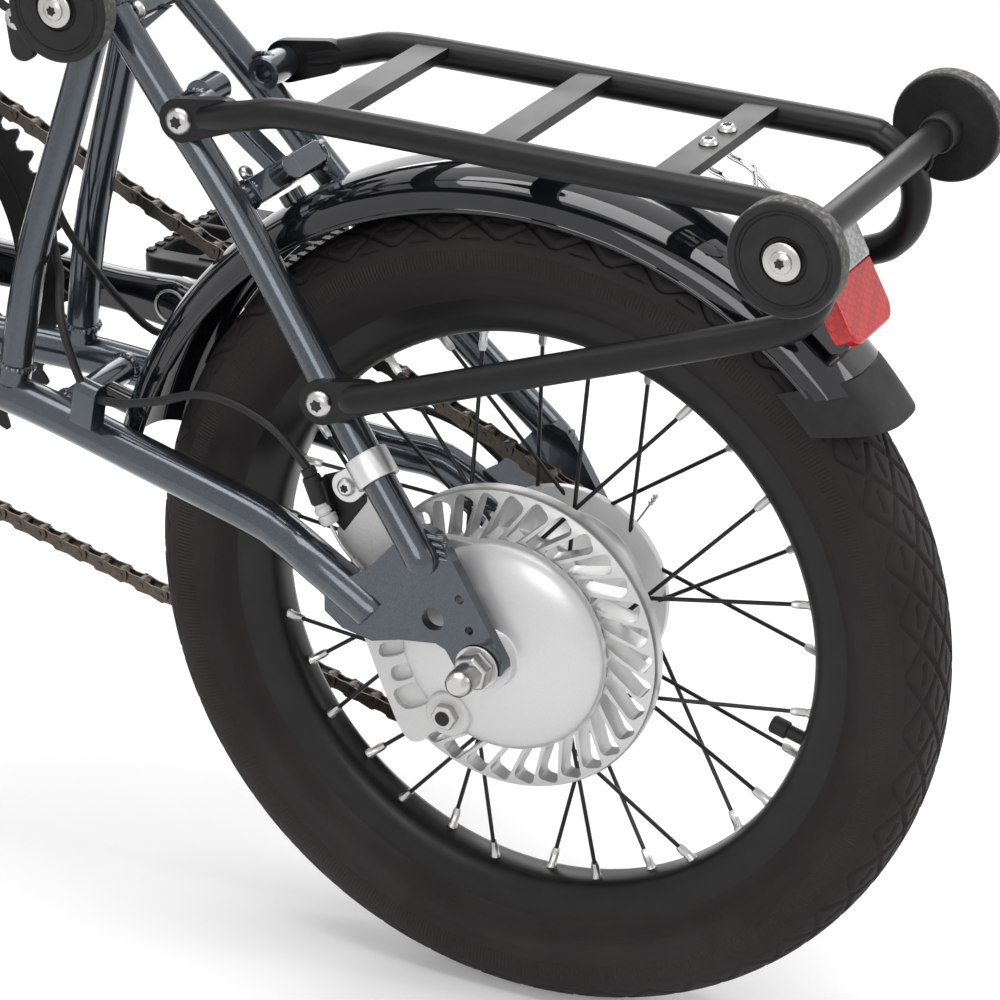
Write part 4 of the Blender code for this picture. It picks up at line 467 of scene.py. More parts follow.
def tyre_material(name, centre):
    made, tree, shader = new_material(name)
    set_constants(shader, specular=0.24)
    relief = use_group(tree, TYRE_RELIEF, Centre_X=centre.x, Centre_Z=centre.z)
    mix = add_node(tree, "ShaderNodeMix", {"data_type": "RGBA"}, i0=relief.outputs["Pale"])
    mix.inputs[6].default_value = (0.0145, 0.013, 0.0122, 1)
    mix.inputs[7].default_value = (0.0175, 0.0155, 0.0142, 1)
    dusty = use_group(tree, DUST, Colour=mix.outputs[2], Dust=(0.12, 0.105, 0.095, 1), Amount=0.07, Scale=45)
    wire_surface(tree, shader, dusty.outputs["Colour"], (12, 0.58, 0.78), relief.outputs["Height"], 0.00022)
    return made


rear_tyre_rubber = tyre_material("rear_tyre_rubber", REAR_AXLE)
front_tyre_rubber = tyre_material("front_tyre_rubber", FRONT_AXLE)

# %% [markdown]
# ## Clear plastic
# The tail lamp has a red reflector over tiny prisms and a clear top. Both are glass with their own
# constants, and the prisms are a small diamond relief, with every other diamond darker: painted shade on
# the facets.

# %% Lamp plastics
def lens_material(name, colour, roughness, clear):
    made, tree, shader = new_material(name)
    shader.inputs["Transmission Weight"].default_value = clear
    shader.inputs["IOR"].default_value = 1.49
    set_constants(shader, coat=0.25, specular=0.4)
    place = add_node(tree, "ShaderNodeTexCoord").outputs["Object"]
    turned_place = add_node(tree, "ShaderNodeMapping", Vector=place, Rotation=(0.6, 0.9, 0.785)).outputs[0]
    # Every other diamond gets a darker colour: painted shade on the prism facets.
    prisms = add_node(tree, "ShaderNodeTexChecker", Vector=turned_place, Scale=330.0)
    prisms.inputs["Color1"].default_value = (*colour, 1)
    prisms.inputs["Color2"].default_value = (*[value * 0.72 for value in colour], 1)
    shine = (90, roughness, roughness + 0.08)
    wire_surface(tree, shader, prisms.outputs["Color"], shine, prisms.outputs["Fac"], 0.0002)
    return made


red_lens = lens_material("red_lens", (0.66, 0.008, 0.007), 0.14, 0.1)
clear_lens = lens_material("clear_lens", (0.86, 0.86, 0.86), 0.06, 0.55)
print("finishes:", len(bpy.data.materials))

# %% [markdown]
# ## Shapes from routes, turnings and flat outlines
# A bike is made from few kinds of shape: bent tubes, turned pieces and plates. Each helper below adds one
# closed shell to a form, so a piece with ten tubes is still one mesh. A small bevel on the finished piece
# catches the light along its edges, as a real edge does.

# %% Mesh helpers
def smooth_route(points, steps, closed=False):
    """Points on a smooth curve through the given ones."""
    points = [Vector(point) for point in points]
    if steps < 2:
        return points
    count = len(points)
    route = []
    for index in range(count if closed else count - 1):
        if closed:
            before, start, stop, after = (points[(index + k) % count] for k in (-1, 0, 1, 2))
        else:
            start, stop = points[index], points[index + 1]
            before = points[index - 1] if index else 2 * start - stop
            after = points[index + 2] if index + 2 < count else 2 * stop - start
        for step in range(steps):
            t = step / steps
            bend = (2 * before - 5 * start + 4 * stop - after) * t * t
            twist = (3 * start - before - 3 * stop + after) * t * t * t
            route.append(start + ((stop - before) * t + bend + twist) / 2)
    if not closed:
        route.append(points[-1])
    return route


def smooth_outline(corners):
    """A flat outline that curves smoothly through its corners."""
    route = smooth_route([(a, 0, b) for a, b in corners], 5, True)
    return [(point.x, point.z) for point in route]


def add_tube(form, points, radius, sides, steps, closed=False):
    """A round bar along a smooth route. The radius is a number, or a function of the share of the route."""
    route = smooth_route(points, steps, closed)
    count = len(route)
    width = radius if callable(radius) else lambda share: radius
    rings = []
    normal = None
    for index, point in enumerate(route):
        before = route[index - 1] if index or closed else point
        after = route[(index + 1) % count] if index + 1 < count or closed else point
        along = (after - before).normalized()
        if normal is None:
            normal = along.orthogonal().normalized()
        normal = (normal - along * normal.dot(along)).normalized()
        across = along.cross(normal)
        reach = width(index / max(1, count - 1))
        ring = []
        for side in range(sides):
            angle = 2 * math.pi * side / sides
            ring.append(form.verts.new(point + (normal * math.cos(angle) + across * math.sin(angle)) * reach))
        rings.append(ring)
    pairs = list(zip(rings, rings[1:])) + ([(rings[-1], rings[0])] if closed else [])
    for low, high in pairs:
        for side in range(sides):
            after = (side + 1) % sides
            form.faces.new((low[side], low[after], high[after], high[side]))
    if not closed:
        form.faces.new(list(reversed(rings[0])))
        form.faces.new(rings[-1])


def add_turned(form, section, centre, steps, along=Y_AXIS, out=None, start=0.0):
    """A closed section of (radius, height) points turned all round an axis."""
    along = along.normalized()
    guide = X_AXIS if abs(along.x) < 0.9 else Z_AXIS
    out = out or (guide - along * guide.dot(along)).normalized()
    across = along.cross(out)
    rings = []
    for radius, height in section:
        ring = []
        for step in range(steps):
            angle = start + 2 * math.pi * step / steps
            if radius > 1e-9 or not ring:
                spread = out * math.cos(angle) + across * math.sin(angle)
                ring.append(form.verts.new(centre + along * height + spread * radius))
            else:
                ring.append(ring[0])
        rings.append(ring)
    for low, high in zip(rings, rings[1:] + rings[:1]):
        if low[0] is low[1] and high[0] is high[1]:
            continue
        for step in range(steps):
            after = (step + 1) % steps
            form.faces.new(list(dict.fromkeys((low[step], high[step], high[after], low[after]))))


def add_rod(form, start, end, radius, sides=24):
    length = (end - start).length
    add_collar(form, start, end - start, 0, radius, 0, length, sides)


def add_cross_rod(form, centre, radius, low, high, sides=24):
    """A round bar across the bike, from one side value to the other."""
    low, high = sorted((low, high))
    add_rod(form, centre + Y_AXIS * (low - centre.y), centre + Y_AXIS * (high - centre.y), radius, sides)


def add_collar(form, centre, along, bore, radius, low, high, sides):
    """A ring, or a disc where the bore is 0, between two heights along its axis."""
    add_turned(form, [(bore, low), (radius, low), (radius, high), (bore, high)], centre, sides, along)


def add_prism(form, outline, origin, right, up, low, high):
    """A flat outline pushed out square to its plane."""
    depth = right.cross(up)
    loops = []
    for level in (low, high):
        loops.append([form.verts.new(origin + right * a + up * b + depth * level) for a, b in outline])
    form.faces.new(loops[0])
    form.faces.new(list(reversed(loops[1])))
    for index in range(len(outline)):
        after = (index + 1) % len(outline)
        form.faces.new((loops[0][index], loops[1][index], loops[1][after], loops[0][after]))


def add_plate(form, outline, low, high):
    """A plate standing along the bike, between two side values. Its outline is (back, up) from the axle."""
    low, high = sorted((low, high))
    add_prism(form, outline, REAR_AXLE, X_AXIS, Z_AXIS, -high, -low)


def join_rings(form, rings):
    """The faces between rings that all have the same count of points."""
    count = len(rings[0])
    for here, there in zip(rings, rings[1:]):
        for index in range(count):
            after = (index + 1) % count
            form.faces.new((here[index], here[after], there[after], there[index]))


def add_loft(form, sections):
    """A closed skin through sections of points."""
    rings = [[form.verts.new(point) for point in ring] for ring in sections]
    join_rings(form, rings)
    form.faces.new(list(reversed(rings[0])))
    form.faces.new(rings[-1])


def add_box(form, centre, size, right=X_AXIS, up=Z_AXIS):
    a, b, c = (length / 2 for length in size)
    add_prism(form, [(-a, -c), (a, -c), (a, c), (-a, c)], centre, right, up, -b, b)


def arc(centre, radius, start, stop, count):
    """Points along part of a circle, the angles in degrees."""
    angles = [math.radians(start + (stop - start) * index / count) for index in range(count + 1)]
    return [(centre[0] + radius * math.cos(a), centre[1] + radius * math.sin(a)) for a in angles]


def rounded(half_width, half_height, corner, count=6):
    """A rectangle with round corners."""
    a, b = half_width - corner, half_height - corner
    corners = ((a, b, 0), (-a, b, 90), (-a, -b, 180), (a, -b, 270))
    return [point for x, y, turn in corners for point in arc((x, y), corner, turn, turn + 90, count)]


def link_outline(first, first_radius, second, second_radius, count=10):
    """A bar with round ends about two centres, in a plane's own coordinates."""
    span = Vector((second[0] - first[0], second[1] - first[1]))
    heading = math.degrees(math.atan2(span.y, span.x))
    lean = math.degrees(math.asin((first_radius - second_radius) / span.length))
    points = arc(second, second_radius, heading - 90 + lean, heading + 90 - lean, count)
    return points + arc(first, first_radius, heading + 90 - lean, heading + 270 + lean, count)


def side_of(point):
    """A point as a plate's outline gives it."""
    return (point.x - REAR_AXLE.x, point.z - REAR_AXLE.z)


WELD_RIPPLES = 26


def add_weld(form, centre, along, radius, bead):
    """A weld bead round a tube's end: a ring whose thickness ripples like laid metal."""
    along = along.normalized()
    out = along.orthogonal().normalized()
    across = along.cross(out)
    circle = []
    for step in range(48):
        angle = 2 * math.pi * step / 48
        circle.append(centre + (out * math.cos(angle) + across * math.sin(angle)) * radius)
    ripple = lambda share: bead * (0.8 + 0.1 * math.sin(WELD_RIPPLES * 2 * math.pi * share))
    add_tube(form, circle, ripple, 8, 2, True)


SMOOTH_ANGLE = math.radians(38)


def make_piece(form, name, body, finish, node=None, bevel=0.0):
    """Turns a form into a piece that rides on a body, with the finish as its material. It may replace a node
    of the solids."""
    bmesh.ops.recalc_face_normals(form, faces=form.faces)
    mesh = bpy.data.meshes.new(name)
    form.to_mesh(mesh)
    form.free()
    mesh.materials.append(finish)
    mesh.shade_smooth()
    mesh.set_sharp_from_angle(angle=SMOOTH_ANGLE)
    made = bpy.data.objects.new(name, mesh)
    bpy.context.collection.objects.link(made)
    if bevel:
        edge = made.modifiers.new("edge", "BEVEL")
        edge.width, edge.segments, edge.limit_method = bevel, 2, "ANGLE"
        edge.angle_limit, edge.harden_normals = math.radians(40), True
    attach(made, body)
    if node:
        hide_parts(node)
    return made


def make_painted_socket_shade(form, name, body):
    """The shade in the hollows of screw heads, painted as dark shells, as one piece."""
    make_piece(form, name, body, painted_socket_shade)


def cut_with(target, form):
    """Cuts a form's shells out of a piece. Its bevel waits, so that it rounds the new edges too."""
    bmesh.ops.recalc_face_normals(form, faces=form.faces)
    mesh = bpy.data.meshes.new("cutter")
    form.to_mesh(mesh)
    form.free()
    cutter = bpy.data.objects.new("cutter", mesh)
    bpy.context.collection.objects.link(cutter)
    modifier = target.modifiers.new("cut", "BOOLEAN")
    modifier.operation, modifier.solver, modifier.object = "DIFFERENCE", "EXACT", cutter
    target.modifiers.move(len(target.modifiers) - 1, 0)
    bevels = [each.name for each in target.modifiers if each.type == "BEVEL"]
    for label in bevels:
        target.modifiers[label].show_viewport = False
    graph = bpy.context.evaluated_depsgraph_get()
    finished = bpy.data.meshes.new_from_object(target.evaluated_get(graph))
    target.modifiers.remove(modifier)
    target.data = finished
    finished.shade_smooth()
    finished.set_sharp_from_angle(angle=SMOOTH_ANGLE)
    for label in bevels:
        target.modifiers[label].show_viewport = True
    bpy.data.objects.remove(cutter)


def add_screw(form, socket_shade, centre, out, radius, height=0.003):
    """A domed screw head, with the shade of its star socket painted as a dark shell in a second form."""
    profile = [(0, height), (radius * 0.62, height), (radius * 0.92, height * 0.55), (radius, 0), (0, 0)]
    add_turned(form, profile, centre, 32, out)
    out = out.normalized()
    right = out.orthogonal().normalized()
    star = []
    for index in range(24):
        angle = math.pi * index / 12
        reach = radius * (0.4 + 0.07 * math.cos(6 * angle))
        star.append((reach * math.cos(angle), reach * math.sin(angle)))
    up = out.cross(right)
    add_prism(socket_shade, star, centre, right, up, height * 0.5, height + 0.0002)


# %% [markdown]
# ## Tyres
# The tyre is one skin: a smooth cross-section carried round the wheel, with the tread pressed into it.
# Every point knows its distance round the tyre and across it, so the diamond grooves and the short slits
# between them are simple sums. The slits sit in the middle of each diamond, as on the real tread.

# %% Tread and tyre
def tread_depth(around, across):
    """How deep the rubber is cut, in metres, from distances in metres."""
    pitch, slope = 2 * math.pi * WHEEL_RADIUS / 44, 1.6
    depth = np.zeros_like(around)
    shoulder = np.clip((0.0275 - np.abs(across)) / 0.002, 0, 1)
    for lean in (-slope, slope):
        phase = (around + lean * across) / pitch
        distance = np.abs(phase - np.round(phase)) * pitch / math.hypot(1, slope)
        depth = np.maximum(depth, 0.0016 * np.clip((0.0014 - distance) / 0.0005, 0, 1))
    rows = np.round(across * 2 * slope / pitch)
    along = around / pitch + 0.5 * (rows % 2 == 0)
    middle = (along - np.round(along)) * pitch
    aside = across - rows * pitch / (2 * slope) - 0.08 * middle
    slit = np.clip((0.001 - np.abs(aside)) / 0.0004, 0, 1) * np.clip((0.0062 - np.abs(middle)) / 0.001, 0, 1)
    depth = np.maximum(depth, 0.0016 * slit)
    return depth * shoulder


def tyre_profile():
    half = [(0, 0.2), (0.008, 0.1994), (0.015, 0.1974), (0.0205, 0.1934), (0.024, 0.188),
            (0.0257, 0.1812), (0.0253, 0.1742), (0.0226, 0.1672), (0.0182, 0.1622), (0.0152, 0.1594),
            (0.014, 0.1576)]
    line = smooth_route([Vector((y, 0, r)) for y, r in half], 12)
    lengths = np.cumsum([0] + [(b - a).length for a, b in zip(line, line[1:])])
    wanted = np.concatenate([np.arange(0, 0.03, 0.0007), np.linspace(0.0306, lengths[-1], 15)])
    ys = np.interp(wanted, lengths, [point.x for point in line])
    rs = np.interp(wanted, lengths, [point.z for point in line])
    across = np.concatenate([-wanted[::-1], wanted[1:]])
    return across, np.concatenate([-ys[::-1], ys[1:]]), np.concatenate([rs[::-1], rs[1:]])


def make_tyre(name, centre, body, finish, node, steps):
    across, sides, radii = tyre_profile()
    turn = np.linspace(0, 2 * math.pi, steps, endpoint=False)
    grid_turn, grid_across = np.meshgrid(turn, across, indexing="ij")
    depth = tread_depth(grid_turn * WHEEL_RADIUS, grid_across)
    reach = radii[None, :] - depth
    spots = np.stack([
        centre.x + reach * np.cos(grid_turn),
        np.broadcast_to(sides[None, :], reach.shape),
        centre.z + reach * np.sin(grid_turn),
    ], axis=-1).reshape(-1, 3)
    columns = len(across)
    row = np.arange(steps)[:, None] * columns
    next_row = (np.arange(steps)[:, None] + 1) % steps * columns
    column_index = np.arange(columns - 1)[None, :]
    faces = np.stack([row + column_index, row + column_index + 1, next_row + column_index + 1,
                      next_row + column_index], axis=-1).reshape(-1, 4)
    mesh = bpy.data.meshes.new(name)
    mesh.from_pydata(spots.tolist(), [], faces.tolist())
    mesh.materials.append(finish)
    mesh.shade_smooth()
    made = bpy.data.objects.new(name, mesh)
    bpy.context.collection.objects.link(made)
    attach(made, body)
    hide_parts(node)


make_tyre("rear_tyre_skin", REAR_AXLE, "rear_wheel", rear_tyre_rubber, "rear_tyre", 1760)
make_tyre("front_tyre_skin", FRONT_AXLE, "front_wheel", front_tyre_rubber, "front_tyre", 960)
print("tread points across:", len(tyre_profile()[0]))

# %% [markdown]
# ## Rims, spokes and valves
# A rim is a turned hollow section. Thirty-two spokes leave the two hub flanges in crossing pairs and end
# in plated nipples. Spokes and nipples are thin, so they are plain bars, but each ends where it is held.

# %% Rims
def make_rim(name, centre, body, node):
    half = [(0.152, 0.0112), (0.1586, 0.0112), (0.1592, 0.0118), (0.1592, 0.0134), (0.1584, 0.014),
            (0.15, 0.0138), (0.144, 0.0118), (0.1405, 0.0092), (0.139, 0.0055)]
    section = half + [(radius, -side) for radius, side in reversed(half)]
    form = bmesh.new()
    add_turned(form, section, centre, 192)
    return make_piece(form, name, body, satin_black, node)


make_rim("rear_rim_shell", REAR_AXLE, "rear_wheel", "rear_rim")
make_rim("front_rim_shell", FRONT_AXLE, "front_wheel", "front_rim")


# %% Spokes, nipples and valves
SPOKES = 32
SPOKE_LEAN = math.radians(22.5)
VALVE_OUT = outward(math.radians(-16.7))


def spoke_lines(centre, flange_radius, flange_y):
    """The two ends of each spoke, the side it is on, and which way it leans."""
    for index in range(SPOKES):
        side = 1 if index % 2 == 0 else -1
        lean = SPOKE_LEAN * (1 if index % 4 < 2 else -1)
        stop = math.radians(1.3 + 360 / SPOKES * index)
        root = side * (flange_y + math.copysign(0.0016, lean))
        near = centre + outward(stop + lean) * flange_radius + Y_AXIS * root
        far = centre + outward(stop) * 0.1395 + Y_AXIS * side * 0.003
        yield near, far, side, math.copysign(1, lean)


def make_spokes(prefix, centre, flange_radius, flange_y, body):
    bars, ends = bmesh.new(), bmesh.new()
    for near, far, side, lean in spoke_lines(centre, flange_radius, flange_y):
        along = (far - near).normalized()
        elbow = near - Y_AXIS * side * lean * 0.0035
        add_tube(bars, [elbow, near + along * 0.0008, near.lerp(far, 0.5), far], 0.00105, 8, 3)
        add_turned(bars, [(0, -0.0008), (0.0021, -0.0008), (0.0016, 0.0006), (0, 0.0006)], elbow, 10)
        add_turned(ends, [(0, -0.01), (0.00165, -0.01), (0.0021, -0.008), (0.0021, -0.0022),
                          (0.0026, -0.0016), (0.0026, 0.0008), (0, 0.0008)], far, 8, along)
    make_piece(bars, f"{prefix}_spokes", body, satin_black)
    make_piece(ends, f"{prefix}_nipples", body, steel)


def make_valve(prefix, centre, body):
    form = bmesh.new()
    profile = [(0, 0.1215), (0.0035, 0.1215), (0.0043, 0.1225), (0.0043, 0.13), (0.0038, 0.1302),
               (0.0033, 0.1304), (0.0033, 0.141), (0, 0.141)]
    add_turned(form, profile, centre, 20, VALVE_OUT)
    make_piece(form, f"{prefix}_valve", body, black_plastic, bevel=0.0004)


make_spokes("rear", REAR_AXLE, 0.0455, 0.0283, "rear_wheel")
make_spokes("front", FRONT_AXLE, 0.0635, 0.025, "front_wheel")
make_valve("rear", REAR_AXLE, "rear_wheel")
make_valve("front", FRONT_AXLE, "front_wheel")

# %% [markdown]
# ## Rear hub and its brake
# The hub is a silver shell with two flanges. On the brake side a finned alloy disc carries the heat away,
# and a still cover closes it. The disc's slanted windows go right through, so they are real cuts.

# %% Hub shell
form = bmesh.new()
hub = [(0.0051, -0.0427), (0.0402, -0.0427), (0.0402, -0.0307), (0.0505, -0.0307), (0.051, -0.03),
       (0.051, -0.0265), (0.042, -0.0235), (0.0395, -0.01), (0.0395, 0.01), (0.042, 0.0235),
       (0.051, 0.0265), (0.0512, 0.03), (0.05, 0.0315), (0.0455, 0.0318), (0.045, 0.0345),
       (0.04, 0.035), (0.03, 0.0368), (0.0051, 0.037)]
add_turned(form, hub, REAR_AXLE, 96)
make_piece(form, "hub_shell", "rear_wheel", silver_paint, "rear_hub", bevel=0.0004)

# %% Finned disc
form = bmesh.new()
disc = [(0.0405, -0.031), (0.0735, -0.031), (0.0748, -0.0318), (0.075, -0.038), (0.0742, -0.0398),
        (0.0722, -0.0404), (0.07, -0.0412), (0.056, -0.043), (0.0405, -0.043)]
add_turned(form, disc, REAR_AXLE, 136)
finned_disc = make_piece(form, "finned_disc", "rear_wheel", aluminium, "cooling_disc", bevel=0.00035)
DISC_WINDOWS = 34
form = bmesh.new()
for index in range(DISC_WINDOWS):
    out = outward(2 * math.pi * (index + 0.5) / DISC_WINDOWS)
    slant = (out * 0.85 + Y_AXIS.cross(out) * 0.52).normalized()
    side = slant.cross(Y_AXIS)
    window = [(-0.014, -0.002), (-0.013, -0.0027), (0.0066, -0.0048), (0.0088, -0.0042), (0.0097, -0.0026),
              (0.0097, 0.0026), (0.0088, 0.0042), (0.0066, 0.0048), (-0.013, 0.0027), (-0.014, 0.002)]
    add_prism(form, window, REAR_AXLE + out * 0.0632, slant, side, 0.025, 0.05)
cut_with(finned_disc, form)
print("disc faces:", len(finned_disc.data.polygons))

# %% Brake cover, casting and arm
CASTING_WINDOWS = (((-0.0615, -0.0114), (-0.0509, -0.0071), (-0.0499, -0.0131), (-0.061, -0.0175)),
                   ((-0.0558, -0.0226), (-0.0463, -0.0185), (-0.0448, -0.0244), (-0.0543, -0.0286)),
                   ((-0.0549, -0.0344), (-0.0417, -0.0274), (-0.037, -0.0357), (-0.0491, -0.0421)))
form = bmesh.new()
cover = [(0.0051, -0.0433), (0.052, -0.0433), (0.0523, -0.0445), (0.052, -0.0472), (0.0508, -0.0492),
         (0.048, -0.0516), (0.042, -0.0545), (0.033, -0.057), (0.023, -0.0588), (0.015, -0.0596),
         (0.0144, -0.0604), (0.014, -0.065), (0.0051, -0.0652)]
add_turned(form, cover, REAR_AXLE, 128)
make_piece(form, "brake_cover", "rear", silver_paint, "rear_brake", bevel=0.0004)
form = bmesh.new()
casting = (
    (0.0, 0.04), (-0.03, 0.05), (-0.06, 0.044), (-0.079, 0.022), (-0.081, 0.007), (-0.0745, -0.002),
    (-0.069, -0.013), (-0.0635, -0.027), (-0.058, -0.04), (-0.052, -0.053), (-0.0465, -0.0585),
    (-0.04, -0.057), (-0.032, -0.05), (-0.01, -0.043), (0.005, -0.03))
add_plate(form, smooth_outline(casting), -0.049, -0.0436)
brake_casting = make_piece(form, "brake_casting", "rear", cast_silver, bevel=0.001)
form = bmesh.new()
for corners in CASTING_WINDOWS:
    add_plate(form, smooth_outline(corners), -0.06, -0.0455)
cut_with(brake_casting, form)
form = bmesh.new()
arm = (
    (-0.063, 0.0665), (-0.07, 0.064), (-0.0805, 0.048), (-0.0812, 0.042), (-0.077, 0.034), (-0.07, 0.0265),
    (-0.06, 0.0215), (-0.043, 0.014), (-0.03, 0.02), (-0.033, 0.045), (-0.048, 0.058))
add_plate(form, smooth_outline(arm), -0.0538, -0.0485)
boss = rear(-0.0226, 0, -0.0354)
add_turned(form, [(0, -0.044), (0.0142, -0.044), (0.0136, -0.05), (0.0118, -0.0535), (0.0112, -0.0575),
                  (0.0104, -0.0585), (0, -0.0585)], boss, 48)
make_piece(form, "brake_arm", "rear", cast_silver, bevel=0.0012)
form, socket_shade = bmesh.new(), bmesh.new()
add_turned(form, [(0, -0.058), (0.0066, -0.058), (0.0066, -0.0622), (0.0058, -0.063), (0, -0.063)], boss, 6)
# A dark disc in the nut's socket: painted shade.
add_turned(socket_shade, [(0, -0.0634), (0.0036, -0.0634), (0.0032, -0.061), (0, -0.061)], boss, 24)
make_piece(form, "brake_arm_nut", "rear", steel, bevel=0.0005)
make_painted_socket_shade(socket_shade, "brake_arm_nut_socket", "rear")

# %% Axle, nuts and washers
form = bmesh.new()
add_cross_rod(form, REAR_AXLE, 0.0048, -0.0935, 0.0935, 28)
for side in BOTH:
    out = Y_AXIS * side
    add_collar(form, REAR_AXLE, out, 0.0045, 0.0108, 0.0719, 0.0733, 36)
    hexagon = [(0.0045, 0.0733), (0.009, 0.0733), (0.0092, 0.0745), (0.0092, 0.08), (0.008, 0.0815),
               (0.0045, 0.0815)]
    add_turned(form, hexagon, REAR_AXLE, 6, out, start=0.3)
    cap = [(0, 0.081), (0.0066, 0.081), (0.0066, 0.09), (0.0058, 0.0935), (0.004, 0.095), (0, 0.095)]
    add_turned(form, cap, REAR_AXLE, 28, out)
add_cross_rod(form, REAR_AXLE, 0.0085, 0.0608, 0.0652, 32)
make_piece(form, "axle_and_nuts", "rear", steel, "rear_axle", bevel=0.0005)

# %% [markdown]
# ## Rear frame
# The rear half is welded from bent steel tubes. Each tube follows the same route as the CAD model, but
# with more sides and smooth bends. Rippled rings of weld lie where most tubes meet another, because a joint
# without its bead looks glued. The dropouts are thick plates with drilled holes, so they are cut for real.

# %% Helpers for the frame
def along_route(points, distance):
    """The point at a distance along a route, and the direction there."""
    for start, stop in zip(points, points[1:]):
        length = (stop - start).length
        if distance <= length:
            return start + (stop - start) * distance / length, (stop - start).normalized()
        distance -= length
    return points[-1], (points[-1] - points[-2]).normalized()


def weld_at(form, points, distance, radius):
    """A bead round a tube, at a distance from its start, or from its end when below zero."""
    line = list(points) if distance >= 0 else list(reversed(points))
    spot, heading = along_route(line, abs(distance))
    add_weld(form, spot, heading, radius, 0.0021)


def mirrored(points, side):
    """A route given for the right side, carried to either side."""
    return [rear(back, side * across, up) for back, across, up in points]


def plate_between(form, start, stop, half_width, half_depth, across, corner):
    """A flat strap with round corners from one point to another."""
    along = (stop - start).normalized()
    outline = rounded((stop - start).length / 2, half_width, corner)
    sideways = (across - along * across.dot(along)).normalized()
    add_prism(form, outline, (start + stop) / 2, along, sideways, -half_depth, half_depth)


# %% Tubes and welds
CHAIN_STAY = ((-0.332, 0.0205, 0.0775), (-0.256, 0.0329, 0.0694), (-0.19, 0.0423, 0.0567),
              (-0.127, 0.0513, 0.0437), (-0.106, 0.0573, 0.0389), (-0.086, 0.0652, 0.0332),
              (-0.06, 0.067, 0.018))
SEAT_STAY = ((-0.2188, 0.0255, 0.285), (-0.1735, 0.0349, 0.2316), (-0.1388, 0.0403, 0.1894),
             (-0.099, 0.0508, 0.1376), (-0.0627, 0.0632, 0.0929), (-0.03, 0.0745, 0.055))
STRUT = ((-0.217, 0.0155, 0.285), (-0.2383, 0.0209, 0.2113), (-0.2582, 0.0269, 0.143),
         (-0.2695, 0.0312, 0.078))
SEAT_BRIDGE, STAY_BRIDGE = rear(-0.1375, 0, 0.193), rear(-0.242, 0, 0.069)
STAY_DOWN = (rear(-0.1388, 0, 0.1894) - rear(-0.1735, 0, 0.2316)).normalized()
STAY_FACE = STAY_DOWN.cross(Y_AXIS).normalized()
if STAY_FACE.x < 0:
    STAY_FACE = -STAY_FACE
PIVOT = rear(-0.335, 0, 0.066)
LATCH_PIVOT = rear(-0.25, 0, 0.266)
STRUT_TOP, RACK_BAR = rear(-0.1745, 0, 0.229), rear(0.155, 0, 0.232)


def round_ended(radius, start):
    """A tube's radius along its route, rounded off from a share of it to its end."""
    return lambda share: radius * math.sqrt(max(0.02, 1 - max(0.0, (share - start) / (1 - start)) ** 2))


form = bmesh.new()
add_collar(form, PIVOT, Y_AXIS, 0.0064, 0.015, -0.0362, 0.0362, 40)
add_cross_rod(form, CROWN, 0.013, -0.0437, 0.0437, 36)
add_cross_rod(form, SEAT_BRIDGE, 0.0066, -0.039, 0.039, 28)
add_cross_rod(form, STAY_BRIDGE, 0.007, -0.034, 0.034, 28)
for side in BOTH:
    chain_stay, seat_stay, strut = (mirrored(route, side) for route in (CHAIN_STAY, SEAT_STAY, STRUT))
    add_tube(form, chain_stay + [rear(-0.0545, side * 0.0672, 0.014)], round_ended(0.0098, 0.965), 24, 6)
    add_tube(form, seat_stay + [rear(-0.0262, side * 0.0752, 0.048)], round_ended(0.008, 0.972), 22, 8)
    add_tube(form, strut, 0.008, 22, 6)
    weld_at(form, chain_stay, 0.013, 0.0101)
    weld_at(form, seat_stay, 0.0175, 0.008)
    for bead in range(4):
        start = rear(-0.0262 + 0.0014 * bead, side * 0.0715, 0.06 - 0.0034 * bead)
        add_rod(form, start, start + Vector((0.0078, -side * 0.002, -0.0006)), 0.0019, 14)
    weld_at(form, strut, 0.015, 0.0079)
    weld_at(form, strut, -0.009, 0.008)
    add_weld(form, SEAT_BRIDGE + Y_AXIS * side * 0.0322 + STAY_FACE * 0.001, Y_AXIS, 0.0066, 0.0013)
    add_weld(form, STAY_BRIDGE + Y_AXIS * side * 0.0255, Y_AXIS, 0.0069, 0.0018)
    socket = [(0, 0.032), (0.0036, 0.032), (0.004, 0.0262), (0.0048, 0.0255), (0.0072, 0.0255),
              (0.008, 0.0264), (0.008, 0.047), (0, 0.047)]
    add_turned(form, socket, rear(-0.16, 0, 0.232), 40, Y_AXIS * side)
    add_weld(form, rear(-0.1625, side * 0.032, 0.232), Y_AXIS, 0.008, 0.0016)
    add_rod(form, rear(-0.0795, side * 0.05, 0.1155), rear(-0.0795, side * 0.067, 0.1155), 0.008)
    add_weld(form, rear(-0.0795, side * 0.0625, 0.1155), Y_AXIS, 0.0081, 0.0012)
    add_rod(form, CROWN + Y_AXIS * side * 0.043, CROWN + Y_AXIS * side * 0.07, 0.005)
    add_weld(form, CROWN + Y_AXIS * side * 0.0425, Y_AXIS, 0.0118, 0.001)
make_piece(form, "rear_frame_tubes", "rear", frame_paint, "rear_frame", bevel=0.0004)

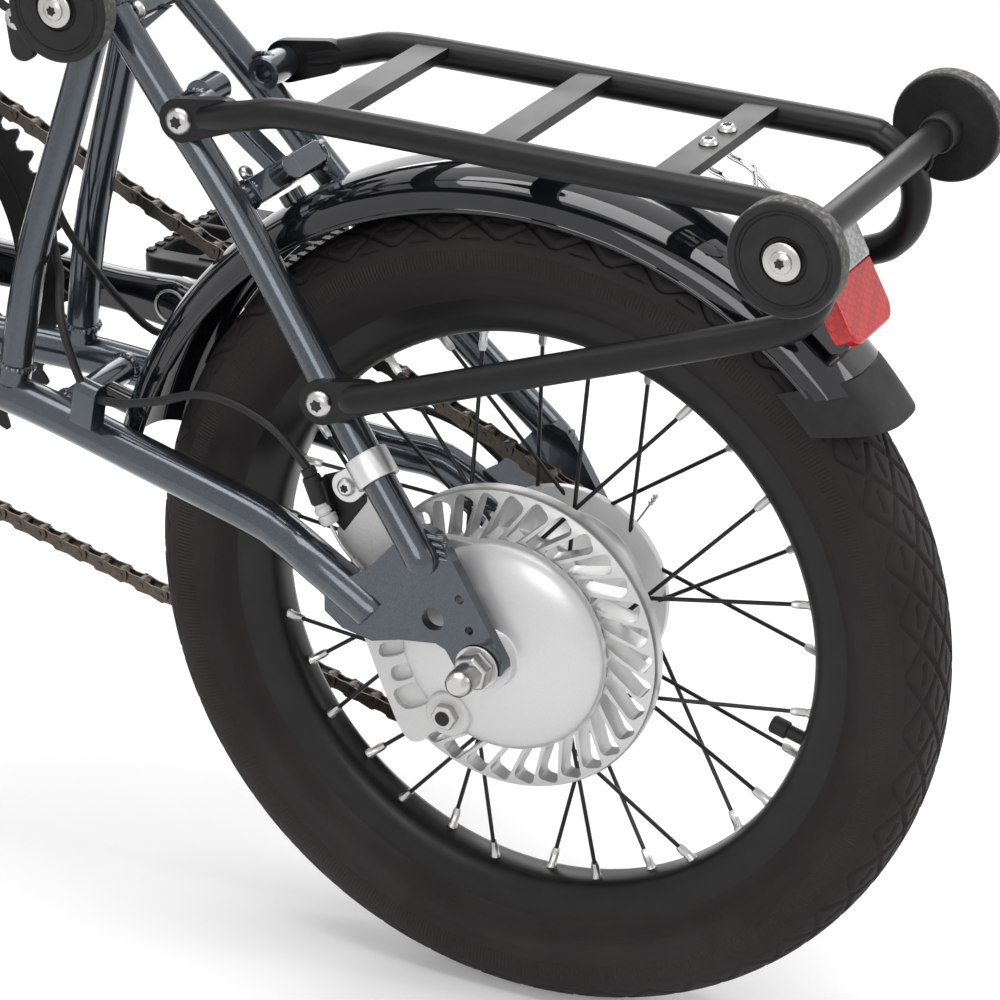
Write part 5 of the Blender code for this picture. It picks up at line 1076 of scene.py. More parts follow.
# %% Dropouts
form = bmesh.new()
dropout = [(-0.0345, 0.062), (-0.027, 0.064), (-0.02, 0.061), (-0.015, 0.054), (0.0132, 0.005),
           (0.0138, 0.001), (0.0118, -0.0024), (0.0078, -0.0036), (-0.004, -0.0052), (-0.011, -0.004),
           (-0.0165, 0.005), (-0.0215, 0.0072), (-0.04, 0.0052), (-0.0543, 0.0016), (-0.07, 0.005),
           (-0.079, 0.012), (-0.079, 0.023), (-0.072, 0.028), (-0.056, 0.038)]
for side in BOTH:
    add_plate(form, dropout, side * 0.0655, side * 0.0715)
dropouts = make_piece(form, "dropouts", "rear", frame_paint, bevel=0.0007)
form = bmesh.new()
for side in BOTH:
    low, high = side * 0.062, side * 0.075
    add_cross_rod(form, REAR_AXLE, 0.005, low, high, 28)
    add_cross_rod(form, rear(-0.0229, 0, 0.0191), 0.0056, low, high, 32)
    add_cross_rod(form, rear(-0.0094, 0, 0.0317), 0.0022, low, high, 20)
    add_cross_rod(form, rear(-0.0044, 0, 0.0172), 0.002, low, high, 20)
cut_with(dropouts, form)

# %% Crown details
form = bmesh.new()
add_plate(form, link_outline(side_of(CROWN), 0.011, side_of(LATCH_PIVOT), 0.007), -0.037, -0.033)
gusset = [(-0.0335, -0.0062), (0.029, -0.005), (0.0335, -0.003), (0.0345, 0.0005), (0.0325, 0.0042),
          (0.029, 0.0056), (-0.0335, 0.006)]
add_prism(form, gusset, SEAT_BRIDGE + STAY_FACE * 0.006, Y_AXIS, -STAY_DOWN, -0.0015, 0.0015)
add_cross_rod(form, STRUT_TOP, 0.0076, -0.0085, 0.0085, 32)
strut_foot = SEAT_BRIDGE + STAY_FACE * 0.005 - STAY_DOWN * 0.004
plate_between(form, STRUT_TOP, strut_foot, 0.005, 0.0012, Y_AXIS, 0.002)
for across in (-0.0056, 0.0056):
    plate_between(form, STRUT_TOP + Y_AXIS * across - STAY_FACE * 0.0026,
                  strut_foot + Y_AXIS * across - STAY_FACE * 0.0026, 0.003, 0.0007, STAY_FACE, 0.001)
add_rod(form, SEAT_BRIDGE - Y_AXIS * 0.006, SEAT_BRIDGE - Y_AXIS * 0.006 + STAY_FACE * 0.0125, 0.006, 28)
hanger = [(-0.1789, 0.275), (-0.201, 0.275), (-0.213, 0.26), (-0.207, 0.253), (-0.196, 0.26)]
add_plate(form, [(a - 0.012, b - 0.0065) for a, b in hanger], -0.005, -0.001)
stay_along = (rear(-0.19, -0.0423, 0.0567) - rear(-0.256, -0.0329, 0.0694)).normalized()
stay_up = (Z_AXIS - stay_along * stay_along.z).normalized()
tunnel = [(-0.0052, -0.017), (0.0052, -0.017)] + arc((0, 0), 0.0052, 0, 180, 12)
add_prism(form, tunnel, rear(-0.2165, -0.047, 0.088), stay_along.cross(stay_up), stay_up, -0.0065, 0.0065)
add_rod(form, rear(-0.2, -0.02, 0.27), rear(-0.2, 0.02, 0.27), 0.0052)
make_piece(form, "rear_frame_brackets", "rear", frame_paint, bevel=0.0005)
form, socket_shade = bmesh.new(), bmesh.new()
add_screw(form, socket_shade, rear(-0.2, -0.02, 0.27), -Y_AXIS, 0.005)
add_screw(form, socket_shade, SEAT_BRIDGE - Y_AXIS * 0.023 - STAY_DOWN * 0.009, STAY_FACE, 0.0042)
make_piece(form, "bracket_screws", "rear", steel, bevel=0.0003)
make_painted_socket_shade(socket_shade, "bracket_screw_sockets", "rear")

# %% Suspension block
form = bmesh.new()
block = [(0, 0), (0.0118, 0), (0.015, 0.002), (0.0168, 0.006), (0.017, 0.015), (0.0158, 0.0172),
         (0.0142, 0.019), (0.0158, 0.0208), (0.017, 0.023), (0.017, 0.035), (0.0155, 0.038), (0, 0.038)]
add_turned(form, block, CROWN - X_AXIS * 0.0133, 48, -X_AXIS)
make_piece(form, "elastomer_block", "rear", rubber, "suspension_block", bevel=0.0004)

# %% [markdown]
# ## Rollers and latch
# When folded, the bike stands and is pushed on four small rollers. Each is a hard rubber ring with a
# groove in its face, on a bolt with a broad washer. The profile of the ring carries the groove, so one
# turned section makes it. A thin band round it is the rubber that the floor has worn grey.

# %% Four rollers
def make_roller(name, centre, side, inner):
    start = centre + Y_AXIS * side * inner
    out = Y_AXIS * side
    section = [(0.0053, 0.012), (0.0245, 0.012), (0.0252, 0.0126), (0.0254, 0.0136), (0.0254, 0.0222),
               (0.025, 0.023), (0.0243, 0.0235), (0.0219, 0.0236), (0.0211, 0.0224), (0.0201, 0.0222),
               (0.0193, 0.0229), (0.015, 0.0231), (0.012, 0.0236), (0.0106, 0.0236), (0.01, 0.0224),
               (0.0053, 0.0224)]
    form = bmesh.new()
    add_turned(form, section, start, 72, out)
    add_turned(form, [(0.0053, 0.0006), (0.0082, 0.0006), (0.0088, 0.0014), (0.0088, 0.0122),
                      (0.0053, 0.0122)], start, 40, out)
    make_piece(form, f"{name}_ring", f"{name}_body", rubber, name, bevel=0.0003)
    form = bmesh.new()
    band = [(0.0248, 0.013), (0.0256, 0.0134), (0.0259, 0.0144), (0.0259, 0.0212), (0.0256, 0.0222),
            (0.0248, 0.0226)]
    add_turned(form, band, start, 72, out)
    make_piece(form, f"{name}_worn_band", f"{name}_body", worn_rubber)
    return start + out * 0.0243, out


bolts, socket_shade = bmesh.new(), bmesh.new()
for side, side_name in SIDES:
    for end_name, centre, inner in (("front", CROWN, 0.044), ("rear", RACK_BAR, 0.0786)):
        seat, out = make_roller(f"{side_name}_{end_name}_roller", centre, side, inner)
        add_turned(bolts, [(0, 0), (0.0085, 0), (0.0085, 0.001), (0.0078, 0.0014), (0, 0.0014)], seat, 40,
                   out)
        add_screw(bolts, socket_shade, seat + out * 0.0012, out, 0.0052, 0.0022)
make_piece(bolts, "roller_bolts", "rear", steel, bevel=0.0003)
make_painted_socket_shade(socket_shade, "roller_bolt_sockets", "rear")
form = bmesh.new()
add_plate(form, link_outline(side_of(LATCH_PIVOT), 0.0066, side_of(rear(-0.2484, 0, 0.2515)), 0.0064, 16),
          -0.044, -0.0373)
make_piece(form, "latch_tab", "latch", black_plastic, "latch_lever", bevel=0.0014)
form, socket_shade = bmesh.new(), bmesh.new()
add_screw(form, socket_shade, LATCH_PIVOT - Y_AXIS * 0.0443, -Y_AXIS, 0.0058, 0.0018)
make_piece(form, "latch_screw", "rear", steel, bevel=0.0003)
make_painted_socket_shade(socket_shade, "latch_screw_socket", "rear")

# %% [markdown]
# ## Rack
# Each side of the rack is one tube, flattened at both ends where a bolt holds it to the frame. Three flat
# bars cross it. The tube's radius shrinks as it nears the bolt and a rounded plate takes over, which is
# how a flattened tube end reads.

# %% Rack
form, socket_shade, bolts = bmesh.new(), bmesh.new(), bmesh.new()
for side in BOTH:
    rail = [(-0.148, 0.0515, 0.2345), (-0.125, 0.0545, 0.24), (-0.104, 0.056, 0.2445), (-0.06, 0.056, 0.244),
            (0.0, 0.056, 0.242), (0.07, 0.056, 0.2397)]
    rail += [(back, 0.056, up) for back, up in arc((0.127, 0.2094), 0.0284, 88, -68, 8)]
    rail += [(0.11, 0.0585, 0.1735), (0.03, 0.066, 0.1487), (-0.052, 0.0728, 0.123), (-0.065, 0.0715, 0.1195)]
    add_tube(form, mirrored(rail, side),
             lambda share: 0.007 - 0.0016 * max(0, (abs(share - 0.5) - 0.47) / 0.03), 24, 5)
    upper, lower = (-0.16, 0.232), (-0.0795, 0.1155)
    add_plate(form, link_outline(upper, 0.0104, (-0.137, 0.2372), 0.008, 14), side * 0.0473, side * 0.0525)
    add_plate(form, link_outline(lower, 0.0104, (-0.056, 0.1222), 0.0078, 14), side * 0.0676, side * 0.0724)
    for (back, up), seat in ((upper, 0.0525), (lower, 0.0724)):
        add_screw(bolts, socket_shade, rear(back, side * seat, up), Y_AXIS * side, 0.0066, 0.0032)
for back, up in ((-0.083, 0.247), (0.0, 0.2447), (0.082, 0.242)):
    add_prism(form, rounded(0.055, 0.008, 0.003), rear(back, 0, up), Y_AXIS, X_AXIS, -0.0024, 0.0024)
add_cross_rod(form, RACK_BAR, 0.007, -0.0783, 0.0783, 28)
for side in BOTH:
    add_weld(form, rear(0.1545, side * 0.056, 0.229), Y_AXIS, 0.0072, 0.0012)
make_piece(form, "rack_tubes", "rear", satin_black, "rack", bevel=0.0005)
for across in (-0.01, 0.011):
    add_screw(bolts, socket_shade, rear(0.082, across, 0.2444), Z_AXIS, 0.0046, 0.0026)
make_piece(bolts, "rack_bolts", "rear", steel, bevel=0.0003)
make_painted_socket_shade(socket_shade, "rack_bolt_sockets", "rear")
form = bmesh.new()
for across in (-0.01, 0.011):
    add_tube(form, [rear(0.082, across, 0.2395), rear(0.083, across, 0.233), rear(0.094, across, 0.228),
                    rear(0.11, across * 1.2, 0.212), rear(0.121, across * 1.3, 0.201)], 0.0013, 12, 6)
add_tube(form, [rear(0.094, -0.013, 0.228), rear(0.1, 0, 0.223), rear(0.094, 0.014, 0.228)], 0.0013, 12, 6)
plate_between(form, rear(0.082, -0.016, 0.2385), rear(0.082, 0.017, 0.2385), 0.006, 0.0008, X_AXIS, 0.003)
make_piece(form, "light_wire_bracket", "rear", chrome)

# %% [markdown]
# ## Fender and flap
# The fender is a thin arched strip of glossy plastic bent round the tyre, with a bead rolled along both
# edges. Its tail is cut almost level, so the angle at which the strip ends depends on the radius. The
# soft flap pulled over the tail is a second strip, cut the same way and a little larger. Its arc isn't
# quite true to the wheel: in the photograph its centre lies a few millimetres ahead of the axle.

# %% Arched strips
FENDER_RADIUS, FENDER_HALF_WIDTH, FENDER_WALL = 0.2214, 0.03, 0.0014


def fender_line(drop=0.017, grow=0.0):
    """Half of the strip's section, as (radius, across) from the middle to the edge."""
    shares = ((0, 0), (0.34, 0.02), (0.62, 0.12), (0.82, 0.3), (0.94, 0.56), (0.99, 0.8), (1.0, 1.0))
    width = FENDER_HALF_WIDTH + grow
    line = smooth_route([(FENDER_RADIUS + grow - drop * b, width * a, 0) for a, b in shares], 4)
    return [(point.x, point.y) for point in line]


def add_arch(form, centre, line, wall, first, last, steps):
    """A strip with its section carried round the wheel. first and last give an angle for each radius."""
    outer = [(radius, -across) for radius, across in reversed(line[1:])] + line
    inner = [(radius - wall * (1 - 0.4 * abs(across) / FENDER_HALF_WIDTH),
              across * (1 - wall / FENDER_HALF_WIDTH)) for radius, across in outer]
    section = outer + list(reversed(inner))
    columns = []
    for step in range(steps + 1):
        share = step / steps
        column = []
        for radius, across in section:
            angle = math.radians(first(radius) + (last(radius) - first(radius)) * share)
            spot = centre + Vector((radius * math.cos(angle), across, radius * math.sin(angle)))
            column.append(form.verts.new(spot))
        columns.append(column)
    join_rings(form, columns)
    form.faces.new(columns[0])
    form.faces.new(list(reversed(columns[-1])))


def add_edge_bead(form, centre, line, first, last):
    """The bead rolled along both edges of a strip, between two angles."""
    steps = 90
    radius, across = line[-1]
    for side in BOTH:
        route = []
        for step in range(steps + 1):
            angle = math.radians(first(radius) + (last(radius) - first(radius)) * step / steps)
            spot = (radius * math.cos(angle), side * (across - 0.0004), radius * math.sin(angle))
            route.append(centre + Vector(spot))
        add_tube(form, route, 0.0013, 10, 1)


def tail_cut(level):
    """The angle at which an almost level cut meets each radius."""
    return lambda radius: level + (FENDER_RADIUS - radius) * 170


# %% Rear fender and flap
FENDER_CENTRE = rear(-0.006, 0, -0.001)
form = bmesh.new()
line = fender_line()
add_arch(form, FENDER_CENTRE, line, FENDER_WALL, tail_cut(41.0), lambda radius: 167.0, 150)
add_edge_bead(form, FENDER_CENTRE, line, tail_cut(41.5), lambda radius: 166.8)
for place, radius, foot in ((SEAT_BRIDGE, 0.008, 0.2229), (STAY_BRIDGE, 0.007, 0.2257)):
    out = (place - REAR_AXLE).normalized()
    reach = (place - REAR_AXLE).length - radius - GAP
    add_rod(form, REAR_AXLE + out * foot, REAR_AXLE + out * reach, 0.006, 28)
make_piece(form, "fender_shell", "rear", gloss_black, "rear_fender")
form = bmesh.new()
line = fender_line(0.0285, 0.0016)
add_arch(form, FENDER_CENTRE, line, 0.0015, tail_cut(35.5), tail_cut(42.8), 16)
make_piece(form, "mud_flap", "rear", rubber, "fender_flap", bevel=0.0004)

# %% [markdown]
# ## Rear light
# The lamp is a black wedge on the fender with a clear top and a red reflector. Its face leans back, and the
# reflector is a plate with round lower corners.

# %% Rear light
LAMP_UP = Vector((-0.46, 0, 0.888)).normalized()
half_width, half_height, corner = 0.024, 0.015, 0.009
reflector = [(half_width, half_height), (-half_width, half_height)]
reflector += arc((-half_width + corner, -half_height + corner), corner, 180, 270, 10)
reflector += arc((half_width - corner, -half_height + corner), corner, 270, 360, 10)
form = bmesh.new()
body = [(0.143, 0.1935), (0.156, 0.165), (0.153, 0.1618)] + arc((-0.006, -0.001), 0.2219, 46.4, 57.4, 8)
body += [(0.1185, 0.199), (0.125, 0.203), (0.134, 0.201)]
add_plate(form, body, -0.0225, 0.0225)
make_piece(form, "lamp_housing", "rear", gloss_black, "rear_light", bevel=0.002)
form = bmesh.new()
add_prism(form, reflector, rear(0.149, 0, 0.1775), Y_AXIS, LAMP_UP, -0.006, 0.0046)
make_piece(form, "lamp_lens", "rear", red_lens, bevel=0.0016)
form = bmesh.new()
top = [(0.144, 0.1915), (0.1475, 0.193), (0.1395, 0.209), (0.132, 0.2125), (0.124, 0.206), (0.13, 0.196)]
add_plate(form, top, -0.0235, 0.0235)
make_piece(form, "lamp_clear_top", "rear", clear_lens, bevel=0.0025)

# %% [markdown]
# ## Brake-arm clip and cables
# A plated band round the left stay holds the brake's arm, with a small black bracket for the cable. The
# two cables are thin cords that stay fixed to this frame, from where they leave the crown to the hub.

# %% Brake-arm clip
def make_clip():
    upper, lower = rear(-0.0627, -0.0632, 0.0929), rear(-0.03, -0.0745, 0.055)
    along = (lower - upper).normalized()
    centre = upper + along * 0.01
    out = (Y_AXIS - along * along.y).normalized()
    form, socket_shade = bmesh.new(), bmesh.new()
    add_turned(form, [(0.0084, -0.007), (0.0102, -0.007), (0.0104, -0.006), (0.0104, 0.006), (0.0102, 0.007),
                      (0.0084, 0.007)], centre, 48, along, out)
    screw = rear(-0.0738, 0, 0.07)
    add_plate(form, link_outline(side_of(centre.lerp(screw, 0.35)), 0.0062, side_of(screw), 0.0078, 14),
              -0.0578, -0.0545)
    add_screw(form, socket_shade, screw - Y_AXIS * 0.0578, -Y_AXIS, 0.0046, 0.0026)
    add_cross_rod(form, screw, 0.0025, -0.0578, -0.0495, 16)
    make_piece(form, "stay_clip", "rear", plated_band, "brake_arm_clip", bevel=0.0004)
    make_painted_socket_shade(socket_shade, "stay_clip_socket", "rear")
    form = bmesh.new()
    plate = [(-0.0885, 0.0715), (-0.076, 0.0765), (-0.065, 0.069), (-0.065, 0.0625), (-0.0775, 0.045),
             (-0.083, 0.05), (-0.087, 0.059)]
    add_plate(form, plate, -0.0542, -0.0518)
    add_plate(form, [(-0.0905, 0.07), (-0.085, 0.0715), (-0.08, 0.056), (-0.085, 0.055)], -0.06, -0.052)
    add_rod(form, rear(-0.0935, -0.059, 0.0765), rear(-0.0915, -0.059, 0.0725), 0.0036, 24)
    add_rod(form, rear(-0.0918, -0.059, 0.0727), rear(-0.0868, -0.059, 0.0599), 0.0044, 28)
    make_piece(form, "cable_bracket", "rear", black_plastic, bevel=0.001)
    form = bmesh.new()
    rings = [(0, 0), (0.0036, 0), (0.0036, 0.0016), (0.0044, 0.0022), (0.0044, 0.0046), (0.0036, 0.005),
             (0.0036, 0.0056), (0.0044, 0.006), (0.0044, 0.01), (0.0038, 0.0108), (0, 0.0108)]
    add_turned(form, rings, rear(-0.0868, -0.059, 0.0599), 28,
               rear(-0.0816, 0, 0.0505) - rear(-0.0868, 0, 0.0599))
    make_piece(form, "cable_adjuster", "rear", cast_silver)
    form = bmesh.new()
    add_tube(form, [rear(-0.0818, -0.0595, 0.0505), rear(-0.075, -0.06, 0.0405),
                    rear(-0.0677, -0.059, 0.0323)],
             0.0008, 10, 5)
    add_rod(form, rear(-0.07, -0.06, 0.035), rear(-0.0655, -0.059, 0.0295), 0.002, 18)
    make_piece(form, "brake_inner_cable", "rear", steel)


make_clip()


# %% Cables
def make_cable(name, points, radius, node):
    route = smooth_route([rear(*point) for point in points], 5)
    curve = bpy.data.curves.new(name, "CURVE")
    curve.dimensions, curve.bevel_depth, curve.bevel_resolution = "3D", radius, 5
    curve.use_fill_caps = True
    line = curve.splines.new("POLY")
    line.points.add(len(route) - 1)
    for knot, point in zip(line.points, route):
        knot.co = (*point, 1)
    line.use_smooth = True
    curve.materials.append(black_plastic)
    made = bpy.data.objects.new(name, curve)
    bpy.context.collection.objects.link(made)
    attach(made, "rear")
    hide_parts(node)


make_cable("brake_cable", [
    (-0.3, -0.019, 0.33), (-0.278, -0.024, 0.27), (-0.2398, -0.006, 0.2464), (-0.2453, -0.008, 0.2217),
    (-0.2514, -0.009, 0.1964), (-0.2559, -0.01, 0.171), (-0.256, -0.012, 0.15), (-0.2518, -0.0165, 0.1418),
    (-0.244, -0.026, 0.1355), (-0.237, -0.038, 0.1274), (-0.2297, -0.047, 0.1154), (-0.219, -0.048, 0.0895),
    (-0.203, -0.0495, 0.0855), (-0.177, -0.053, 0.092), (-0.154, -0.054, 0.1), (-0.134, -0.056, 0.1),
    (-0.114, -0.0585, 0.094), (-0.102, -0.0588, 0.085), (-0.093, -0.059, 0.0755),
], 0.0021, "rear_brake_cable")
make_cable("shift_cable", [
    (-0.3, 0.019, 0.33), (-0.275, 0.03, 0.255), (-0.2638, 0.024, 0.2199), (-0.2644, 0.018, 0.2015),
    (-0.2649, 0.012, 0.183), (-0.2645, 0.007, 0.1643), (-0.2611, 0.004, 0.1522), (-0.2524, 0.012, 0.1298),
    (-0.2423, 0.026, 0.1043), (-0.2267, 0.038, 0.0856),
    (-0.2, 0.0495, 0.09), (-0.16, 0.056, 0.072), (-0.115, 0.069, 0.06), (-0.08, 0.08, 0.046),
    (-0.045, 0.088, 0.015), (-0.0049, 0.09, 0.0016),
], 0.002, "gear_cable")

form = bmesh.new()
add_tube(form, [rear(-0.0049, 0.0905, 0.0016), rear(0.004, 0.0905, 0.006), rear(0.0105, 0.0905, 0.015),
                rear(0.015, 0.0905, 0.0222)], 0.0006, 10, 4)
for index in range(3):
    spot = rear(0.0142 + 0.0012 * index, 0.0905, 0.0208 + 0.002 * index)
    add_tube(form, [spot - Vector((0.0008, 0, 0.001)), spot, spot + Vector((0.0008, 0, 0.001))],
             lambda share: 0.0006 + 0.001 * math.sin(math.pi * share), 12, 4)
make_piece(form, "shift_wire_tail", "rear", steel)


# %% [markdown]
# ## Chain and chainwheels
# The chain runs round three wheels: the chainring, the rear sprocket and the tensioner's pulley. Its line
# is three arcs and the straight runs between them. The line is cut into equal steps of about half an inch,
# and each step gets a pair of plates, inner and outer in turn, with a pin and roller at its start.

# %% The chain's line
CHAINRING_RADIUS, SPROCKET_RADIUS, PULLEY_RADIUS = 0.1129, 0.0325, 0.018
CHAINRING_SIDE, SPROCKET_SIDE = 0.0615, 0.047
PULLEY = rear(-0.085, 0, -0.085)
LINK_PITCH = 0.0127
CHAIN_CIRCLES = [((-0.409, 0.0955), CHAINRING_RADIUS), ((0.0, 0.0), SPROCKET_RADIUS),
                 ((-0.085, -0.085), PULLEY_RADIUS)]


def chain_line():
    """The chain's line as (back, up) points, taken round the three circles in turn."""
    headings, line = [], []
    for index in range(3):
        here, radius = CHAIN_CIRCLES[index]
        there, next_radius = CHAIN_CIRCLES[(index + 1) % 3]
        span = Vector((there[0] - here[0], there[1] - here[1]))
        headings.append(math.atan2(span.y, span.x) + math.acos((radius - next_radius) / span.length))
    for index in range(3):
        centre, radius = CHAIN_CIRCLES[index]
        first, last = headings[index - 1], headings[index]
        while last > first:
            last -= 2 * math.pi
        steps = max(4, math.ceil((first - last) / math.radians(2)))
        for step in range(steps + 1):
            angle = first + (last - first) * step / steps
            line.append((centre[0] + radius * math.cos(angle), centre[1] + radius * math.sin(angle)))
    return line


def chain_spot(back, up):
    """A point of the line, moved sideways from the chainring's side to the sprocket's."""
    share = min(1.0, max(0.0, (back + 0.36) / 0.25))
    return rear(back, CHAINRING_SIDE + (SPROCKET_SIDE - CHAINRING_SIDE) * share, up)


def chain_pins():
    """Evenly spaced points on the line, an even number of them."""
    line = [chain_spot(back, up) for back, up in chain_line()]
    line.append(line[0])
    marks = np.cumsum([0] + [(b - a).length for a, b in zip(line, line[1:])])
    count = 2 * round(marks[-1] / (2 * LINK_PITCH))
    wanted = np.linspace(0, marks[-1], count, endpoint=False)
    axes = [np.interp(wanted, marks, [point[axis] for point in line]) for axis in range(3)]
    return [Vector(point) for point in zip(*axes)]


# %% Links
pins = chain_pins()
form = bmesh.new()
for index, pin in enumerate(pins):
    after = pins[(index + 1) % len(pins)]
    along = (after - pin).normalized()
    up = Y_AXIS.cross(along).normalized()
    across = along.cross(up)
    pitch = (after - pin).length
    plate = arc((pitch, 0), 0.0041, -70, 70, 6) + [(pitch / 2, 0.0029)]
    plate += arc((0, 0), 0.0041, 110, 250, 6) + [(pitch / 2, -0.0029)]
    inside = 0.0018 if index % 2 else 0.0028
    for low in (inside, -inside - 0.0009):
        add_prism(form, plate, pin, along, up, low, low + 0.0009)
    add_collar(form, pin, across, 0, 0.0017, -0.0041, 0.0041, 8)
    add_collar(form, pin, across, 0.0017, 0.0038, -0.0017, 0.0017, 10)
make_piece(form, "chain_links", "rear", chain_steel, "chain")
print("chain pins:", len(pins))


# %% Toothed wheels
def toothed(teeth, pitch_radius, phase):
    """A toothed outline whose first gap holds the pin at the phase angle."""
    points = []
    for tooth in range(teeth):
        middle = phase + 2 * math.pi * (tooth + 0.5) / teeth
        half = math.pi / teeth
        for share, lift in ((-1.0, -0.004), (-0.62, -0.003), (-0.42, 0.0002), (-0.16, 0.003), (0.16, 0.003),
                            (0.42, 0.0002), (0.62, -0.003)):
            angle = middle + share * half
            points.append(((pitch_radius + lift) * math.cos(angle), (pitch_radius + lift) * math.sin(angle)))
    return points


def add_toothed(form, centre, outline, bore, low, high):
    """A flat toothed ring between two side values."""
    inner = [(bore * math.cos(math.atan2(b, a)), bore * math.sin(math.atan2(b, a))) for a, b in outline]
    loops = []
    for level in (low, high):
        loops.append([[form.verts.new(centre + Vector((a, level, b))) for a, b in line]
                      for line in (outline, inner)])
    count = len(outline)
    for index in range(count):
        after = (index + 1) % count
        (outer_low, inner_low), (outer_high, inner_high) = loops
        form.faces.new((outer_low[index], outer_low[after], inner_low[after], inner_low[index]))
        form.faces.new((outer_high[index], inner_high[index], inner_high[after], outer_high[after]))
        form.faces.new((outer_low[index], outer_high[index], outer_high[after], outer_low[after]))
        form.faces.new((inner_low[index], inner_low[after], inner_high[after], inner_high[index]))


def pin_phase(centre, radius):
    """The angle of a pin that lies on a wheel, about level with its centre."""
    def miss(pin):
        reach = math.hypot(pin.x - centre.x, pin.z - centre.z)
        return abs(reach - radius) + 3 * abs(pin.z - centre.z)

    near = min(pins, key=miss)
    return math.atan2(near.z - centre.z, near.x - centre.x)


form = bmesh.new()
outline = toothed(56, CHAINRING_RADIUS, pin_phase(BOTTOM_BRACKET, CHAINRING_RADIUS))
add_toothed(form, BOTTOM_BRACKET, outline, 0.096, CHAINRING_SIDE - 0.001, CHAINRING_SIDE + 0.001)
add_collar(form, BOTTOM_BRACKET, Y_AXIS, 0.085, 0.0962, CHAINRING_SIDE - 0.0015, CHAINRING_SIDE + 0.0015, 112)
make_piece(form, "toothed_chainring", "crank", satin_black, "chainring", bevel=0.0003)
form = bmesh.new()
outline = toothed(16, SPROCKET_RADIUS, pin_phase(REAR_AXLE, SPROCKET_RADIUS))
add_toothed(form, REAR_AXLE, outline, 0.02, SPROCKET_SIDE - 0.001, SPROCKET_SIDE + 0.001)
cap = [(0.0053, 0.0374), (0.024, 0.0374), (0.024, 0.0455), (0.0225, 0.0465), (0.0225, 0.049),
       (0.0205, 0.0505), (0.019, 0.059), (0.017, 0.06), (0.0053, 0.06)]
add_turned(form, cap, REAR_AXLE, 64)
make_piece(form, "toothed_sprocket", "sprocket", chain_steel, "rear_sprocket", bevel=0.0003)
form = bmesh.new()
outline = toothed(9, PULLEY_RADIUS, pin_phase(PULLEY, PULLEY_RADIUS))
add_toothed(form, PULLEY, outline, 0.0034, 0.0455, 0.0485)
add_turned(form, [(0.0034, 0.0442), (0.0085, 0.0442), (0.01, 0.045), (0.01, 0.049), (0.0085, 0.0532),
                  (0.0034, 0.0532)], PULLEY, 40)
make_piece(form, "toothed_pulley", "pulley", black_plastic, "tensioner_pulley", bevel=0.0003)

# %% Tensioner
form, socket_shade = bmesh.new(), bmesh.new()
TENSIONER = rear(-0.035, 0, 0.004)
add_plate(form, link_outline(side_of(TENSIONER), 0.009, side_of(PULLEY), 0.008, 16), 0.0541, 0.0579)
add_cross_rod(form, PULLEY, 0.003, 0.043, 0.056)
add_turned(form, [(0, 0.0425), (0.0058, 0.0425), (0.006, 0.0434), (0, 0.0434)], PULLEY, 32)
add_screw(form, socket_shade, PULLEY + Y_AXIS * 0.0578, Y_AXIS, 0.005, 0.0026)
make_piece(form, "tensioner_plate", "tensioner", satin_black, "tensioner_arm", bevel=0.0008)
make_painted_socket_shade(socket_shade, "tensioner_socket", "tensioner")
form = bmesh.new()
add_cross_rod(form, TENSIONER, 0.004, 0.0537, 0.066)
add_turned(form, [(0, 0.0526), (0.006, 0.0526), (0.0064, 0.0537), (0, 0.0537)], TENSIONER, 32)
make_piece(form, "tensioner_pin", "rear", steel, bevel=0.0002)

# %% [markdown]
# ## Cranks and pedals
# A crank arm is a forging: thick round the axle, slimmer in the middle, round again at the pedal eye. A
# row of rounded sections, each with its own width and side offset, gives that shape. Shallow slots are
# then cut along its faces. The pedals fold, so each plate has its own hinge and body.

# %% Crank arms
CRANK_TURN, CRANK_LENGTH = -4, 0.165
CRANK_OUT = outward(math.radians(CRANK_TURN))
SPIDER_ARMS = [outward(math.radians(CRANK_TURN + 36 + 72 * index)) for index in range(5)]


